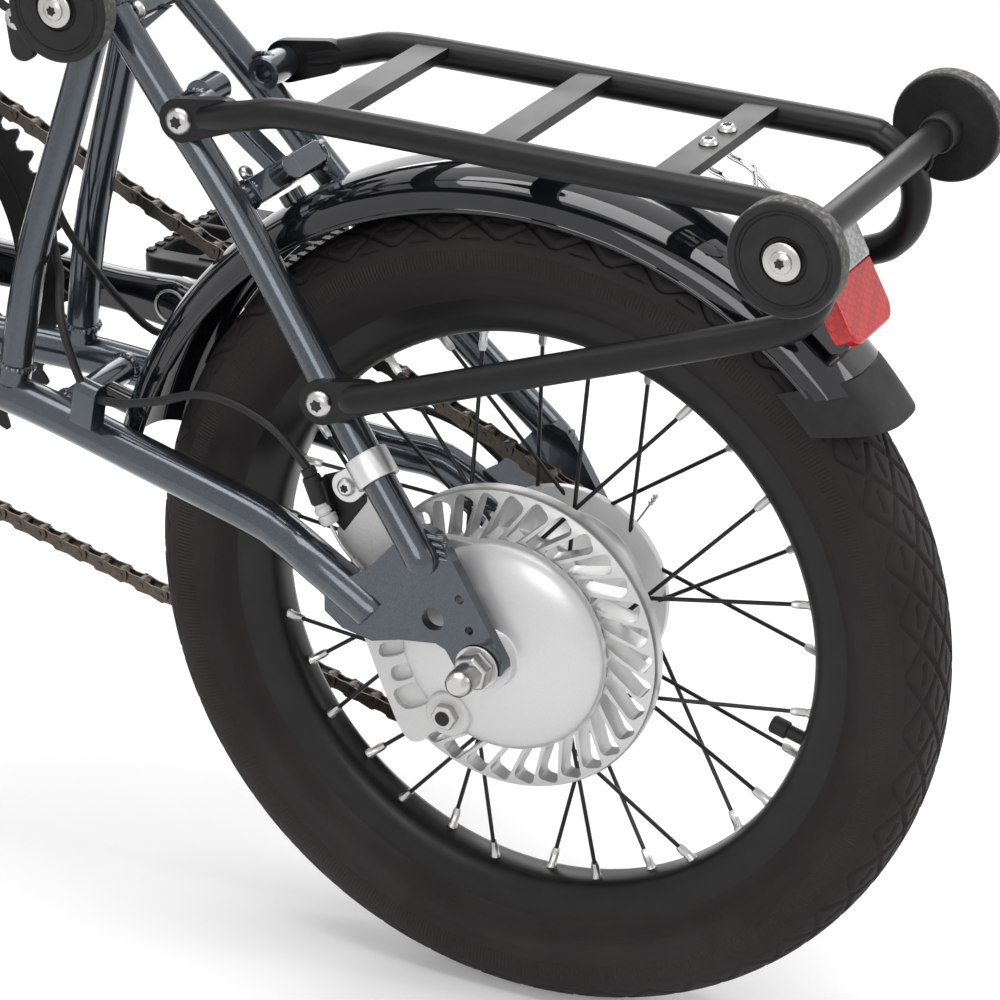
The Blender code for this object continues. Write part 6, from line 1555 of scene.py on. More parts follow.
def make_crank(side, name):
    along = CRANK_OUT * side
    up = along.cross(Y_AXIS).normalized()
    form = bmesh.new()
    stations = ((-0.0178, 0.006, 0.0735, 0.0045), (-0.0165, 0.0105, 0.0735, 0.006),
                (-0.01, 0.016, 0.0732, 0.0069), (0.0, 0.0178, 0.0731, 0.007), (0.012, 0.0165, 0.0731, 0.007),
                (0.03, 0.0132, 0.0738, 0.0066), (0.065, 0.0118, 0.0775, 0.006), (0.1, 0.011, 0.0815, 0.0058),
                (0.135, 0.011, 0.0824, 0.0058), (0.155, 0.0126, 0.0825, 0.0059),
                (0.165, 0.0134, 0.0825, 0.0059), (0.174, 0.0112, 0.0825, 0.0054),
                (0.1785, 0.006, 0.0825, 0.004))
    sections = []
    for reach, half_width, middle, half_depth in stations:
        centre = BOTTOM_BRACKET + along * reach + Y_AXIS * side * middle
        ring = rounded(half_width, half_depth, min(half_width, half_depth) * 0.62, 4)
        sections.append([centre + up * a + Y_AXIS * b for a, b in ring])
    add_loft(form, sections)
    arm = make_piece(form, f"{name}_arm", "crank", gloss_black, name)
    form = bmesh.new()
    for low, high in ((0.04, 0.098), (0.11, 0.14)):
        slot = link_outline((low, 0), 0.0072 - low * 0.012, (high, 0), 0.0064 - high * 0.012, 10)
        for face in BOTH:
            depth = 0.079 + 0.006 * (low > 0.1) if face > 0 else 0.0705 + 0.0065 * (low > 0.1)
            levels = (depth, depth + 0.02) if face > 0 else (depth - 0.02, depth)
            add_prism(form, slot, BOTTOM_BRACKET, along, up, *(side * level for level in levels))
    cut_with(arm, form)
    form, socket_shade = bmesh.new(), bmesh.new()
    eye = BOTTOM_BRACKET + along * CRANK_LENGTH
    add_collar(form, eye, Y_AXIS * side, 0.0072, 0.0098, 0.0868, 0.0888, 40)
    add_collar(form, eye, Y_AXIS * side, 0.0078, 0.0092, 0.0757, 0.0768, 40)
    add_collar(form, BOTTOM_BRACKET, Y_AXIS * side, 0.0088, 0.015, 0.0795, 0.0802, 40)
    add_turned(form, [(0, 0.0795), (0.0085, 0.0795), (0.0085, 0.0822), (0.0075, 0.0828), (0, 0.0828)],
               BOTTOM_BRACKET, 32, Y_AXIS * side)
    # A dark hexagon in the axle bolt's socket: painted shade.
    add_collar(socket_shade, BOTTOM_BRACKET, Y_AXIS * side, 0, 0.0042, 0.0829, 0.081, 6)
    if side > 0:
        for reach in SPIDER_ARMS:
            spot = BOTTOM_BRACKET + reach * 0.0905
            add_turned(form, [(0, 0.067), (0.0048, 0.067), (0.0048, 0.0682), (0.004, 0.0688), (0, 0.0688)],
                       spot, 24)
            # Dark hexagons in the chainring bolts' sockets: painted shade.
            add_collar(socket_shade, spot, Y_AXIS, 0, 0.0022, 0.0689, 0.068, 6)
    make_piece(form, f"{name}_fittings", "crank", steel if side > 0 else satin_black, bevel=0.0003)
    make_painted_socket_shade(socket_shade, f"{name}_sockets", "crank")


make_crank(1, "right_crank")
make_crank(-1, "left_crank")
form = bmesh.new()
SPIDER_WIDTHS = ((0.006, 0.011), (0.03, 0.0095), (0.06, 0.0072), (0.082, 0.0072), (0.092, 0.007),
                 (0.0975, 0.004))
for reach in SPIDER_ARMS:
    sections = []
    for distance, half in SPIDER_WIDTHS:
        centre = BOTTOM_BRACKET + reach * distance + Y_AXIS * 0.0652
        ring = rounded(half, 0.0018, 0.0014, 3)
        sections.append([centre + reach.cross(Y_AXIS) * a + Y_AXIS * b for a, b in ring])
    add_loft(form, sections)
add_turned(form, [(0.0088, 0.0634), (0.025, 0.0634), (0.025, 0.0665), (0.02, 0.069), (0.0088, 0.069)],
           BOTTOM_BRACKET, 48)
make_piece(form, "chainring_spider", "crank", gloss_black)
form = bmesh.new()
add_cross_rod(form, BOTTOM_BRACKET, 0.0084, -0.0792, 0.0792, 28)
for side in BOTH:
    add_turned(form, [(0.0084, 0.0388), (0.019, 0.0388), (0.019, 0.0425), (0.015, 0.044), (0.0084, 0.044)],
               BOTTOM_BRACKET, 40, Y_AXIS * side)
make_piece(form, "bottom_bracket_axle", "crank", steel, "crank_axle", bevel=0.0003)


# %% Pedals
def make_pedal(side, name):
    eye = BOTTOM_BRACKET + CRANK_OUT * side * CRANK_LENGTH
    out = Y_AXIS * side
    inner = 0.089
    hinge = eye + out * (inner + 0.015)
    form = bmesh.new()
    shaft = [(0, -0.012), (0.006, -0.012), (0.006, 0.0), (0.0108, 0.0), (0.011, 0.003), (0.0072, 0.004),
             (0.0066, 0.008), (0, 0.008)]
    add_turned(form, shaft, eye + out * inner, 32, out)
    add_box(form, eye + out * (inner + 0.01), (0.026, 0.008, 0.0058))
    add_collar(form, hinge, X_AXIS, 0.0024, 0.0049, -0.013, 0.013, 24)
    make_piece(form, f"{name}_carrier", f"{name}_carrier", steel, f"{name}_axle", bevel=0.0006)
    middle = Vector((eye.x, hinge.y + side * 0.0525, eye.z))
    form = bmesh.new()
    add_prism(form, rounded(0.0398, 0.045, 0.011, 6), middle, X_AXIS, Y_AXIS, -0.0098, 0.0098)
    for end in BOTH:
        add_box(form, hinge + X_AXIS * end * 0.018 + out * 0.004, (0.0088, 0.015, 0.0098))
    plate = make_piece(form, f"{name}_plate", f"{name}_plate", black_plastic, name, bevel=0.0014)
    form = bmesh.new()
    for shift in (-0.022, 0.022):
        for row in (-0.0225, 0.0, 0.0225):
            spot = middle + X_AXIS * shift + Y_AXIS * row
            add_prism(form, rounded(0.0115, 0.009, 0.003, 4), spot, X_AXIS, Y_AXIS, -0.03, 0.03)
    cut_with(plate, form)
    form = bmesh.new()
    for row in range(9):
        across = -0.036 + 0.009 * row
        for level in BOTH:
            for shift in (-0.0367, 0.0367):
                add_box(form, middle + X_AXIS * shift + Y_AXIS * across + Z_AXIS * level * 0.01,
                        (0.004, 0.0044, 0.0018))
            add_box(form, middle + Y_AXIS * across + Z_AXIS * level * 0.01, (0.016, 0.003, 0.0016))
    add_rod(form, hinge - X_AXIS * 0.0218, hinge + X_AXIS * 0.0218, 0.002, 16)
    make_piece(form, f"{name}_studs", f"{name}_plate", black_plastic)


make_pedal(1, "right_pedal")
make_pedal(-1, "left_pedal")

# %% [markdown]
# ## Main frame
# The photograph shows only the rear of the bike, so the rest follows the usual build of its kind: a seat
# tube on a crank shell, and a deep beam that carries the battery and folds at a hinge. The beam is one
# rounded section pushed along the bike. Beads of weld follow that section where the beam meets a tube.

# %% Beam helpers
BEAM_HEIGHT, SEAT_TOP, HINGE_X, HINGE_Y = 0.57, 0.665, -0.115, -0.045
HINGE = Vector((HINGE_X, HINGE_Y, BEAM_HEIGHT))
BEAM_SECTION, BEAM_BORE = rounded(0.029, 0.035, 0.012, 6), rounded(0.026, 0.032, 0.009, 6)
HINGE_LOW, HINGE_HIGH = HINGE_Y + 0.0095, 0.034
HINGE_SECTION = [(across + (HINGE_LOW + HINGE_HIGH) / 2, up)
                 for across, up in rounded((HINGE_HIGH - HINGE_LOW) / 2, 0.043, 0.01, 6)]


def add_along_beam(form, outline, start_x, end_x):
    add_prism(form, outline, Vector((0, 0, BEAM_HEIGHT)), Y_AXIS, Z_AXIS, start_x, end_x)


def add_beam_weld(form, x):
    route = [Vector((x, across, BEAM_HEIGHT + up)) for across, up in BEAM_SECTION]
    add_tube(form, route, lambda share: 0.002 * (1 + 0.2 * math.sin(2 * math.pi * 60 * share)), 8, 3, True)


def add_knuckle(form, low, high, plate_x):
    """One knuckle of the beam's hinge, tied to its hinge plate."""
    add_collar(form, HINGE, Z_AXIS, 0.0042, 0.009, low, high, 36)
    middle = Vector(((plate_x + HINGE_X) / 2, HINGE_Y + 0.008, BEAM_HEIGHT + (low + high) / 2))
    add_box(form, middle, (abs(plate_x - HINGE_X), 0.019, high - low))


def add_lugs(form, centre, along, half, thickness, radius, pin):
    """Two ears either side of a lever, and the pin through them."""
    for side in BOTH:
        inner = centre + along * side * (half + GAP)
        add_rod(form, inner, inner + along * side * thickness, radius, 28)
    reach = along * (half + thickness)
    add_rod(form, centre - reach, centre + reach, pin, 20)


# %% Main frame
seat_top = seat_tube(SEAT_TOP)
stand_hip = Vector((-0.095, 0, 0.52))
STAND_FOOT_X = -0.078
seat_lever_pivot = seat_top - SEAT_UP * 0.015 - Y_AXIS * 0.029
form = bmesh.new()
add_collar(form, BOTTOM_BRACKET, Y_AXIS, 0.009, 0.02, -0.0385, 0.0385, 48)
add_rod(form, BOTTOM_BRACKET + SEAT_UP * 0.012, seat_tube(0.345), 0.017, 40)
add_collar(form, seat_tube(0.3449), SEAT_UP, 0.0138, 0.017, 0.0,
           (seat_top - seat_tube(0.3449)).length - 0.0295, 40)
block_end = CROWN - X_AXIS * (0.013 + 0.0006 + 0.038)
add_rod(form, block_end - X_AXIS * 0.006, block_end, 0.019, 40)
add_weld(form, seat_tube(block_end.z) + X_AXIS * 0.0172, X_AXIS, 0.012, 0.0018)
for side in BOTH:
    outline = link_outline(side_of(BOTTOM_BRACKET), 0.02, side_of(PIVOT), 0.018, 16)
    add_plate(form, outline, side * 0.0365, side * 0.0415)
    add_weld(form, BOTTOM_BRACKET + Y_AXIS * side * 0.0362, Y_AXIS, 0.0202, 0.0014)
end_x = seat_tube(BEAM_HEIGHT).x
add_beam_weld(form, HINGE_X + 0.0105)
for height in (BEAM_HEIGHT - 0.0355, BEAM_HEIGHT + 0.0355):
    add_weld(form, seat_tube(height), SEAT_UP, 0.0174, 0.0018)
add_weld(form, BOTTOM_BRACKET + SEAT_UP * 0.0195, SEAT_UP, 0.0172, 0.002)
add_knuckle(form, -0.016, 0.016, HINGE_X + 0.01)
add_cross_rod(form, stand_hip, 0.009, -0.0365, 0.0365, 32)
add_box(form, stand_hip + Z_AXIS * 0.01, (0.018, 0.044, 0.017))
make_piece(form, "main_frame_tubes", "main", frame_paint, "main_frame", bevel=0.0006)
form = bmesh.new()
add_along_beam(form, BEAM_SECTION, HINGE_X + 0.0095, end_x - 0.006)
beam_shell = make_piece(form, "beam_shell", "main", frame_paint)
form = bmesh.new()
add_along_beam(form, HINGE_SECTION, HINGE_X + 0.0002, HINGE_X + 0.01)
hinge_face = make_piece(form, "beam_hinge_face", "main", frame_paint)
form = bmesh.new()
add_rod(form, seat_tube(block_end.z), block_end - X_AXIS * 0.005, 0.012, 32)
stop_rod = make_piece(form, "block_stop_rod", "main", frame_paint)
form = bmesh.new()
add_rod(form, seat_tube(block_end.z) - SEAT_UP * 0.05, seat_tube(block_end.z) + SEAT_UP * 0.05, 0.015, 40)
cut_with(stop_rod, form)
for target in (beam_shell, hinge_face):
    form = bmesh.new()
    add_along_beam(form, BEAM_BORE, HINGE_X - 0.02, HINGE_X + 0.288)
    cut_with(target, form)
form = bmesh.new()
add_collar(form, seat_top - SEAT_UP * 0.03, SEAT_UP, 0.0138, 0.0215, 0.0, 0.031, 48)
add_box(form, seat_top - SEAT_UP * 0.015 - Y_AXIS * 0.023, (0.0105, 0.012, 0.003), SEAT_BACK, SEAT_UP)
for side in BOTH:
    tie = seat_lever_pivot + SEAT_UP * side * 0.0068 + Y_AXIS * 0.0045
    add_box(form, tie, (0.009, 0.013, 0.003), SEAT_BACK, SEAT_UP)
add_lugs(form, seat_lever_pivot, SEAT_UP, 0.005, 0.003, 0.0055, 0.0022)
make_piece(form, "seat_collar", "main", satin_black, bevel=0.0006)
form, socket_shade = bmesh.new(), bmesh.new()
add_cross_rod(form, PIVOT, 0.0058, -0.044, 0.044, 28)
for side in BOTH:
    add_screw(form, socket_shade, PIVOT + Y_AXIS * side * 0.0415, Y_AXIS * side, 0.01, 0.0034)
    add_cross_rod(form, stand_hip, 0.0039, side * 0.034, side * 0.055, 20)
    add_collar(form, stand_hip, Y_AXIS * side, 0, 0.007, 0.0532, 0.056, 6)
make_piece(form, "pivot_bolts", "main", steel, bevel=0.0004)
make_painted_socket_shade(socket_shade, "pivot_bolt_sockets", "main")
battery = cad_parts["battery"]
battery.data.materials.clear()
battery.data.materials.append(black_plastic)


# %% Quick-release levers
def make_blade(name, body, node, pivot, along, axle, size, half):
    """A cam lever: an eye on its pin and a blade that swells towards its tip."""
    length, thickness, width = size
    form = bmesh.new()
    add_collar(form, pivot, axle, 0.0026, 0.0055 if half < 0.007 else 0.0065, -half, half, 28)
    across = axle.cross(along).normalized()
    sections = []
    for share, grow in ((0.0, 0.7), (0.15, 0.85), (0.55, 0.9), (0.85, 1.0), (0.96, 0.9), (1.0, 0.55)):
        centre = pivot + along * (0.0045 + (length - 0.0045) * share)
        ring = rounded(width / 2 * grow, thickness / 2 * (0.9 if share < 1 else 0.6), thickness * 0.28, 3)
        sections.append([centre + axle * a + across * b for a, b in ring])
    add_loft(form, sections)
    make_piece(form, name, body, aluminium, node, bevel=0.0003)


make_blade("clamp_blade", "clamp_lever", "seat_clamp_lever", seat_lever_pivot, SEAT_BACK, SEAT_UP,
           (0.055, 0.006, 0.0095), 0.005)

# %% [markdown]
# ## Saddle and seat post
# A saddle is a foam pad under a stretched cover, on a stiff base with two steel rails. The pad is a loft of
# rounded sections from a narrow nose to a broad tail, then smoothed with subdivision. A cloth simulation
# would only blow up so thin and firm a pad, so its small bulges are shaped directly.

# %% Saddle
SADDLE_STEPS, SADDLE_FLOOR = 18, 0.0342
SADDLE_SHAPE = ((0, 0.9), (0.18, 0.965), (0.42, 1.0), (0.66, 0.96), (0.86, 0.82), (0.97, 0.58),
                (1.0, 0.32), (0.95, 0.1), (0.86, 0.0), (0.4, 0.0), (0, 0.0))
saddle_top = seat_tube(0.855)


def saddle_station(index):
    """How far back a section lies, its half width, its height, and how full it is: least at an end."""
    share = index / SADDLE_STEPS
    full = math.sin(math.pi * min(1.0, min(share, 1 - share) / 0.1) / 2) ** 0.6 if 0 < share < 1 else 0.35
    width = (0.02 + 0.064 / (1 + math.exp(-11 * (share - 0.6)))) * (0.42 + 0.58 * full)
    lift = 0.0585 + 0.0095 * math.cos(2 * math.pi * share)
    return -0.1445 + 0.269 * share, width, lift, full


form = bmesh.new()
sections = []
for index in range(SADDLE_STEPS + 1):
    back, width, lift, full = saddle_station(index)
    lift -= 0.006 * (1 - full)
    floor = SADDLE_FLOOR + 0.004 * (1 - full)
    ring = []
    for a, b in SADDLE_SHAPE:
        ring.append((a * width, floor + (lift - floor) * b))
    ring += [(-a, b) for a, b in reversed(ring[1:-1])]
    sections.append([saddle_top + Vector((back, across, up)) for across, up in ring])
add_loft(form, sections)
saddle = make_piece(form, "saddle_pad", "seat", saddle_cover, "saddle")
smooth = saddle.modifiers.new("smooth", "SUBSURF")
smooth.levels = smooth.render_levels = 2
form = bmesh.new()
for side in BOTH:
    seam = []
    for index in range(1, SADDLE_STEPS):
        back, width, lift, full = saddle_station(index)
        up = SADDLE_FLOOR + (lift - SADDLE_FLOOR) * 0.6
        seam.append(saddle_top + Vector((back, side * width * 0.955, up)))
    add_tube(form, seam, 0.0011, 8, 4)
make_piece(form, "saddle_piping", "seat", black_plastic)

# %% Saddle base, rails and post
form = bmesh.new()
add_collar(form, saddle_top, SEAT_UP, 0.0137, 0.017, -0.02, 0.001, 40)
add_box(form, saddle_top + SEAT_UP * 0.01, (0.034, 0.034, 0.019), SEAT_BACK, SEAT_UP)
add_box(form, saddle_top + Vector((0.006, 0, 0.013)), (0.036, 0.05, 0.016))
make_piece(form, "saddle_clamp", "seat", satin_black, "saddle_base", bevel=0.0016)
form = bmesh.new()
for side in BOTH:
    rail = [(-0.105, 0.008, 0.03), (-0.075, 0.016, 0.018), (-0.045, 0.0215, 0.012), (0.05, 0.0215, 0.012),
            (0.085, 0.026, 0.02), (0.11, 0.034, 0.03)]
    add_tube(form, [saddle_top + Vector((a, side * b, c)) for a, b, c in rail], 0.0035, 18, 6)
add_rod(form, saddle_top + Vector((0.006, -0.031, 0.013)), saddle_top + Vector((0.006, 0.031, 0.013)), 0.0035,
        20)
make_piece(form, "saddle_rails", "seat", steel)
form = bmesh.new()
post = [(0, -0.33), (0.0126, -0.33), (0.0134, -0.329), (0.0134, 0), (0, 0)]
add_turned(form, post, saddle_top, 56, SEAT_UP)
make_piece(form, "seat_post_tube", "seat", satin_black, "seat_post")

# %% [markdown]
# ## Parking stand
# The stand is two splayed tubes on one pivot, each with a rubber foot.

# %% Stand
form, feet = bmesh.new(), bmesh.new()
for side in BOTH:
    hip = stand_hip + Y_AXIS * side * 0.045
    foot = Vector((STAND_FOOT_X, side * 0.2, 0.008))
    add_tube(form, [hip, foot + (hip - foot).normalized() * 0.004], 0.008, 24, 1)
    add_collar(form, stand_hip, Y_AXIS * side, 0.0045, 0.0105, 0.037, 0.053, 32)
    add_turned(feet, [(0, -0.008), (0.0135, -0.008), (0.015, -0.0062), (0.015, 0.002), (0.012, 0.0058),
                      (0, 0.006)],
               foot, 40, Z_AXIS)
brace = stand_hip + (Vector((STAND_FOOT_X, 0, 0)) - stand_hip) * 0.054
add_cross_rod(form, brace, 0.006, -0.052, 0.052, 24)
make_piece(form, "stand_legs", "stand", satin_black, "centre_stand", bevel=0.0004)
make_piece(feet, "stand_feet", "stand", rubber, bevel=0.0006)

# %% [markdown]
# ## Front frame, fork and front brake
# The front half of the beam ends in the head tube. The fork is a crown with two curved legs, and its brake
# is a rim calliper whose arms reach round the tyre to a rubber block on each side.

# %% Front frame
HEAD_LOW, HEAD_HIGH, CROWN_HEIGHT, LIGHT_HEIGHT = 0.289, 0.447041, 0.2435, 0.395
form = bmesh.new()
head_section = [(0.0129, 0), (0.0228, 0), (0.0232, 0.0015), (0.0232, 0.011), (0.0215, 0.013)]
head_length = HEAD_HIGH - HEAD_LOW
head_section += [(radius, head_length - height) for radius, height in reversed(head_section)]
add_turned(form, head_section, column(HEAD_LOW), 56, COLUMN_UP)
front_end_x = column((BEAM_HEIGHT - WHEEL_RADIUS) / COLUMN_UP.z).x
add_along_beam(form, BEAM_SECTION, front_end_x + 0.005, HINGE_X - 0.005)
add_along_beam(form, HINGE_SECTION, HINGE_X - 0.01, HINGE_X - 0.0002)
add_beam_weld(form, HINGE_X - 0.0105)
add_beam_weld(form, front_end_x + 0.023)
add_knuckle(form, -0.043, -0.0163, HINGE_X - 0.01)
add_knuckle(form, 0.0163, 0.043, HINGE_X - 0.01)
hinge_lever = Vector((HINGE_X - 0.022, 0.0415, BEAM_HEIGHT))
add_lugs(form, hinge_lever, Z_AXIS, 0.008, 0.004, 0.0065, 0.003)
for side in BOTH:
    add_box(form, hinge_lever + Z_AXIS * side * 0.0103 - Y_AXIS * 0.008, (0.012, 0.018, 0.004))
light_seat = column(LIGHT_HEIGHT, 0, 0.0185)
add_rod(form, light_seat, light_seat + COLUMN_FORE * 0.015, 0.008)
make_piece(form, "front_frame_tubes", "front", frame_paint, "front_frame", bevel=0.0006)
form = bmesh.new()
add_rod(form, HINGE - Z_AXIS * 0.0445, HINGE + Z_AXIS * 0.0445, 0.004, 24)
for side in BOTH:
    add_turned(form, [(0, 0.0431), (0.0062, 0.0431), (0.0062, 0.0438), (0.0054, 0.0442), (0, 0.0442)], HINGE,
               32, Z_AXIS * side)
make_piece(form, "hinge_pin", "front", steel, bevel=0.0004)
make_blade("hinge_blade", "hinge_lever", "frame_hinge_lever", hinge_lever, X_AXIS, Z_AXIS,
           (0.107, 0.0062, 0.015), 0.008)

# %% Front light
form, glass = bmesh.new(), bmesh.new()
light_start = column(LIGHT_HEIGHT, 0, 0.0338)
add_turned(form, [(0, 0), (0.014, 0), (0.0165, 0.0015), (0.0225, 0.01), (0.024, 0.015), (0.024, 0.0318),
                  (0.0228, 0.0335), (0.0215, 0.0335), (0.0208, 0.03), (0, 0.03)], light_start, 56,
                  COLUMN_FORE)
add_turned(glass, [(0, 0.0303), (0.0206, 0.0303), (0.0213, 0.033), (0.017, 0.035), (0, 0.0358)], light_start,
           56, COLUMN_FORE)
make_piece(form, "headlamp_shell", "front", black_plastic, "front_light", bevel=0.0004)
make_piece(glass, "headlamp_lens", "front", clear_lens)

# %% Fork
form = bmesh.new()
add_rod(form, column(CROWN_HEIGHT), column(0.502), 0.0124, 36)
add_rod(form, column(0.256), column(HEAD_LOW - GAP), 0.019, 44)
add_rod(form, column(CROWN_HEIGHT, -0.047), column(CROWN_HEIGHT, 0.047), 0.0138, 36)
for side in BOTH:
    leg = [column(0.2475, side * 0.04, 0), column(0.19, side * 0.046, 0), column(0.13, side * 0.0495, 0.0012),
           column(0.09, side * 0.0515, 0.006), column(0.05, side * 0.0523, 0.015),
           column(0.022, side * 0.0525, 0.024)]
    add_tube(form, leg, lambda share: 0.011 * (1 - 0.34 * max(0.0, (share - 0.55) / 0.45) ** 1.5), 26, 6)
    add_weld(form, column(0.232, side * 0.0417), COLUMN_UP, 0.0112, 0.0018)
    add_plate(form, link_outline(side_of(FRONT_AXLE), 0.013, side_of(column(0.04, 0, 0.02)), 0.01, 14),
              side * 0.05, side * 0.055)
make_piece(form, "fork_tubes", "fork_assembly", frame_paint, "fork", bevel=0.0005)
form = bmesh.new()
add_cross_rod(form, FRONT_AXLE, 0.0059, -0.068, 0.068, 28)
for side in BOTH:
    out = Y_AXIS * side
    add_collar(form, FRONT_AXLE, out, 0.0058, 0.0108, 0.0343, 0.0497, 32)
    add_collar(form, FRONT_AXLE, out, 0.0058, 0.0125, 0.0553, 0.0566, 36)
    add_turned(form, [(0.0058, 0.0566), (0.0098, 0.0566), (0.01, 0.0575), (0.01, 0.0628), (0.0088, 0.064),
                      (0.0058, 0.064)],
               FRONT_AXLE, 6, out)
make_piece(form, "front_axle_and_nuts", "fork_assembly", steel, "front_axle", bevel=0.0005)

# %% Front brake
form, blocks = bmesh.new(), bmesh.new()
near = 0.0145
CALLIPER_ARM = ((0.144, 0.0375), (0.17, 0.039), (0.205, 0.0385), (0.233, 0.033), (0.249, 0.015),
                (0.25, -0.006))
for side in BOTH:
    arm = [column(height, side * across, near + 0.0045) for height, across in CALLIPER_ARM]
    add_tube(form, arm, lambda share: 0.005 + 0.0012 * math.sin(math.pi * share), 20, 6)
    shoe = column(0.15, side * 0.019, near + 0.02)
    add_box(blocks, shoe, (0.04, 0.0078, 0.0088), COLUMN_FORE, COLUMN_UP)
    add_box(form, column(0.15, side * 0.0245, near + 0.02), (0.036, 0.003, 0.0088), COLUMN_FORE, COLUMN_UP)
    add_rod(form, column(0.15, side * 0.025, near + 0.016), column(0.15, side * 0.042, near + 0.01), 0.004,
            24)
add_rod(form, column(0.2475, 0, 0.0143), column(0.2475, 0, 0.03), 0.005, 24)
add_turned(form, [(0, 0.0245), (0.0095, 0.0245), (0.0095, 0.029), (0.0075, 0.03), (0, 0.03)], column(0.2475),
           32, COLUMN_FORE)
make_piece(form, "calliper_arms", "fork_assembly", aluminium, "front_brake", bevel=0.0006)
make_piece(blocks, "brake_blocks", "fork_assembly", rubber, bevel=0.001)

# %% Front fender and motor
form = bmesh.new()
line = fender_line()
add_arch(form, FRONT_AXLE, line, FENDER_WALL, lambda radius: 40.5, lambda radius: 133.5, 110)
add_edge_bead(form, FRONT_AXLE, line, lambda radius: 40.8, lambda radius: 133.2)
add_rod(form, column(0.2195), column(0.2292), 0.007, 28)
make_piece(form, "front_fender_shell", "fork_assembly", gloss_black, "front_fender")
form = bmesh.new()
half = [(0.059, 0.0), (0.059, 0.019), (0.062, 0.0215), (0.067, 0.023), (0.0672, 0.0265), (0.066, 0.0275),
        (0.06, 0.029), (0.056, 0.0312), (0.03, 0.0338), (0.016, 0.034), (0.0063, 0.034)]
add_turned(form, half + [(radius, -side) for radius, side in reversed(half[1:])], FRONT_AXLE, 96)
make_piece(form, "motor_shell", "front_wheel", satin_black, "front_motor", bevel=0.0004)
form, socket_shade = bmesh.new(), bmesh.new()
for side in BOTH:
    for index in range(6):
        spot = FRONT_AXLE + outward(math.pi * index / 3 + 0.2) * 0.048 + Y_AXIS * side * 0.0318
        add_screw(form, socket_shade, spot, Y_AXIS * side, 0.0034, 0.0018)
make_piece(form, "motor_screws", "front_wheel", steel)
make_painted_socket_shade(socket_shade, "motor_screw_sockets", "front_wheel")

# %% [markdown]
# ## Handlepost and controls
# The handlepost folds down on a small hinge above the head tube. The bar carries two grips, two brake
# levers and a plain display. The display's window is left blank, because the part carries no words.

# %% Handlepost and its hinge
FOLD_HEIGHT, BAR_HEIGHT = 0.512841, 0.860041
fold_axis = (Y_AXIS - COLUMN_FORE).normalized()
fold_out = (Y_AXIS + COLUMN_FORE).normalized()
fold_point = column(FOLD_HEIGHT, 0.026 / math.sqrt(2), 0.026 / math.sqrt(2))
post_lever = column(FOLD_HEIGHT - 0.02) - fold_out * 0.027
form = bmesh.new()
base = [(0.0128, 0), (0.0205, 0), (0.021, 0.0012), (0.021, 0.01), (0.019, 0.0125), (0.019, 0.0655),
        (0.0128, 0.0655)]
add_turned(form, base, column(HEAD_HIGH + GAP), 56, COLUMN_UP)
add_collar(form, fold_point, fold_axis, 0.0033, 0.008, -0.008, 0.008, 32)
add_box(form, fold_point - fold_out * 0.008 - COLUMN_UP * 0.0052, (0.018, 0.016, 0.01), fold_out, COLUMN_UP)
add_lugs(form, post_lever, fold_axis, 0.005, 0.003, 0.0055, 0.0022)
for side in BOTH:
    add_box(form, post_lever + fold_axis * side * 0.0068 + fold_out * 0.007, (0.016, 0.003, 0.009), fold_out,
            COLUMN_UP)
make_piece(form, "post_socket", "fork_assembly", satin_black, "handlepost_base", bevel=0.0006)
make_blade("post_blade", "post_lever", "handlepost_lever", post_lever, COLUMN_UP, fold_axis,
           (0.073, 0.0058, 0.0095), 0.005)
form = bmesh.new()
add_turned(form, [(0, 0.00015), (0.019, 0.00015), (0.019, 0.006), (0.0165, 0.009), (0.0165, 0.33),
                  (0.015, 0.338), (0, 0.34)],
           column(FOLD_HEIGHT), 56, COLUMN_UP)
add_rod(form, column(BAR_HEIGHT, -0.022), column(BAR_HEIGHT, 0.022), 0.0175, 44)
for side in BOTH:
    inner = fold_point + fold_axis * side * 0.0083
    add_rod(form, inner, inner + fold_axis * side * 0.006, 0.008, 32)
    add_box(form, fold_point + fold_axis * side * 0.0113 - fold_out * 0.01 + COLUMN_UP * 0.0052,
            (0.02, 0.006, 0.01), fold_out, COLUMN_UP)
add_rod(form, fold_point - fold_axis * 0.015, fold_point + fold_axis * 0.015, 0.0029, 24)
make_piece(form, "post_tube", "post", satin_black, "handlepost", bevel=0.0006)

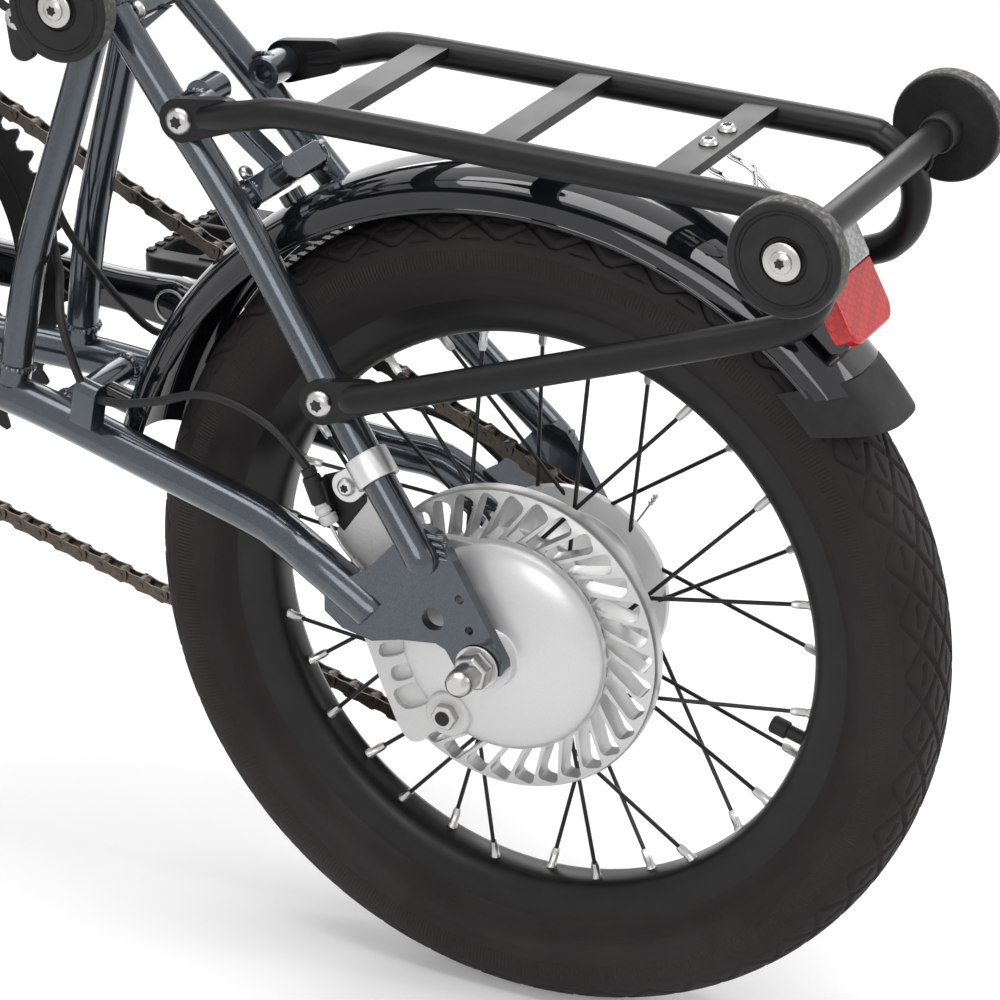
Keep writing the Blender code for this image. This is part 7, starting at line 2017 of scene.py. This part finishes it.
# %% Handlebar and controls
form = bmesh.new()
add_collar(form, column(BAR_HEIGHT), Y_AXIS, 0, 0.0111, -0.2795, 0.2795, 40)
make_piece(form, "bar_tube", "post", satin_black, "handlebar")
for side, name in SIDES:
    out = Y_AXIS * side
    grip = [(0.0114, 0.155), (0.016, 0.155), (0.0164, 0.156)]
    for ring in range(22):
        start = 0.16 + ring * 0.005
        grip += [(0.0164, start), (0.0155, start + 0.001), (0.0155, start + 0.0018), (0.0164, start + 0.0028)]
    grip += [(0.0165, 0.272), (0.0165, 0.2785), (0.015, 0.28), (0.0114, 0.28)]
    form = bmesh.new()
    add_turned(form, grip, column(BAR_HEIGHT), 48, out)
    made = make_piece(form, f"{name}_grip_sleeve", "post", grip_rubber, f"{name}_grip")
    pivot = column(BAR_HEIGHT, side * 0.138, 0.032)
    form = bmesh.new()
    add_collar(form, column(BAR_HEIGHT), out, 0.0114, 0.0158, 0.128, 0.148, 44)
    add_lugs(form, pivot, COLUMN_UP, 0.0045, 0.003, 0.006, 0.0022)
    for end in BOTH:
        add_box(form, pivot - COLUMN_FORE * 0.0105 + COLUMN_UP * end * 0.0063, (0.019, 0.012, 0.003),
                COLUMN_FORE, COLUMN_UP)
    make_piece(form, f"{name}_clamp", "post", satin_black, f"{name}_lever_bracket", bevel=0.0008)
    form = bmesh.new()
    add_collar(form, pivot, COLUMN_UP, 0.0025, 0.006, -0.0045, 0.0045, 32)
    blade = [pivot + out * 0.004, pivot + out * 0.016 + COLUMN_FORE * 0.01,
             pivot + out * 0.03 + COLUMN_FORE * 0.018, pivot + out * 0.064 + COLUMN_FORE * 0.023,
             pivot + out * 0.0975 + COLUMN_FORE * 0.026]
    add_tube(form, blade, lambda share: 0.0041 - 0.0006 * math.sin(math.pi * share), 20, 6)
    make_piece(form, f"{name}_blade", f"{name}_lever", aluminium, f"{name}_brake_lever", bevel=0.0003)

# %% Display
form = bmesh.new()
centre = column(BAR_HEIGHT)
add_collar(form, centre, Y_AXIS, 0.0114, 0.015, 0.03, 0.04, 40)
add_box(form, centre + COLUMN_UP * 0.0168 + Y_AXIS * 0.035, (0.02, 0.01, 0.0086), COLUMN_FORE, COLUMN_UP)
add_prism(form, rounded(0.0225, 0.0425, 0.007), centre + COLUMN_UP * 0.025, COLUMN_FORE, Y_AXIS, -0.0055,
          0.005)
make_piece(form, "display_case", "post", black_plastic, "display", bevel=0.0014)
form = bmesh.new()
add_prism(form, rounded(0.0185, 0.0375, 0.004), centre + COLUMN_UP * 0.025, COLUMN_FORE, Y_AXIS, -0.0062,
          -0.005)
make_piece(form, "display_window", "post", gloss_black, bevel=0.0003)
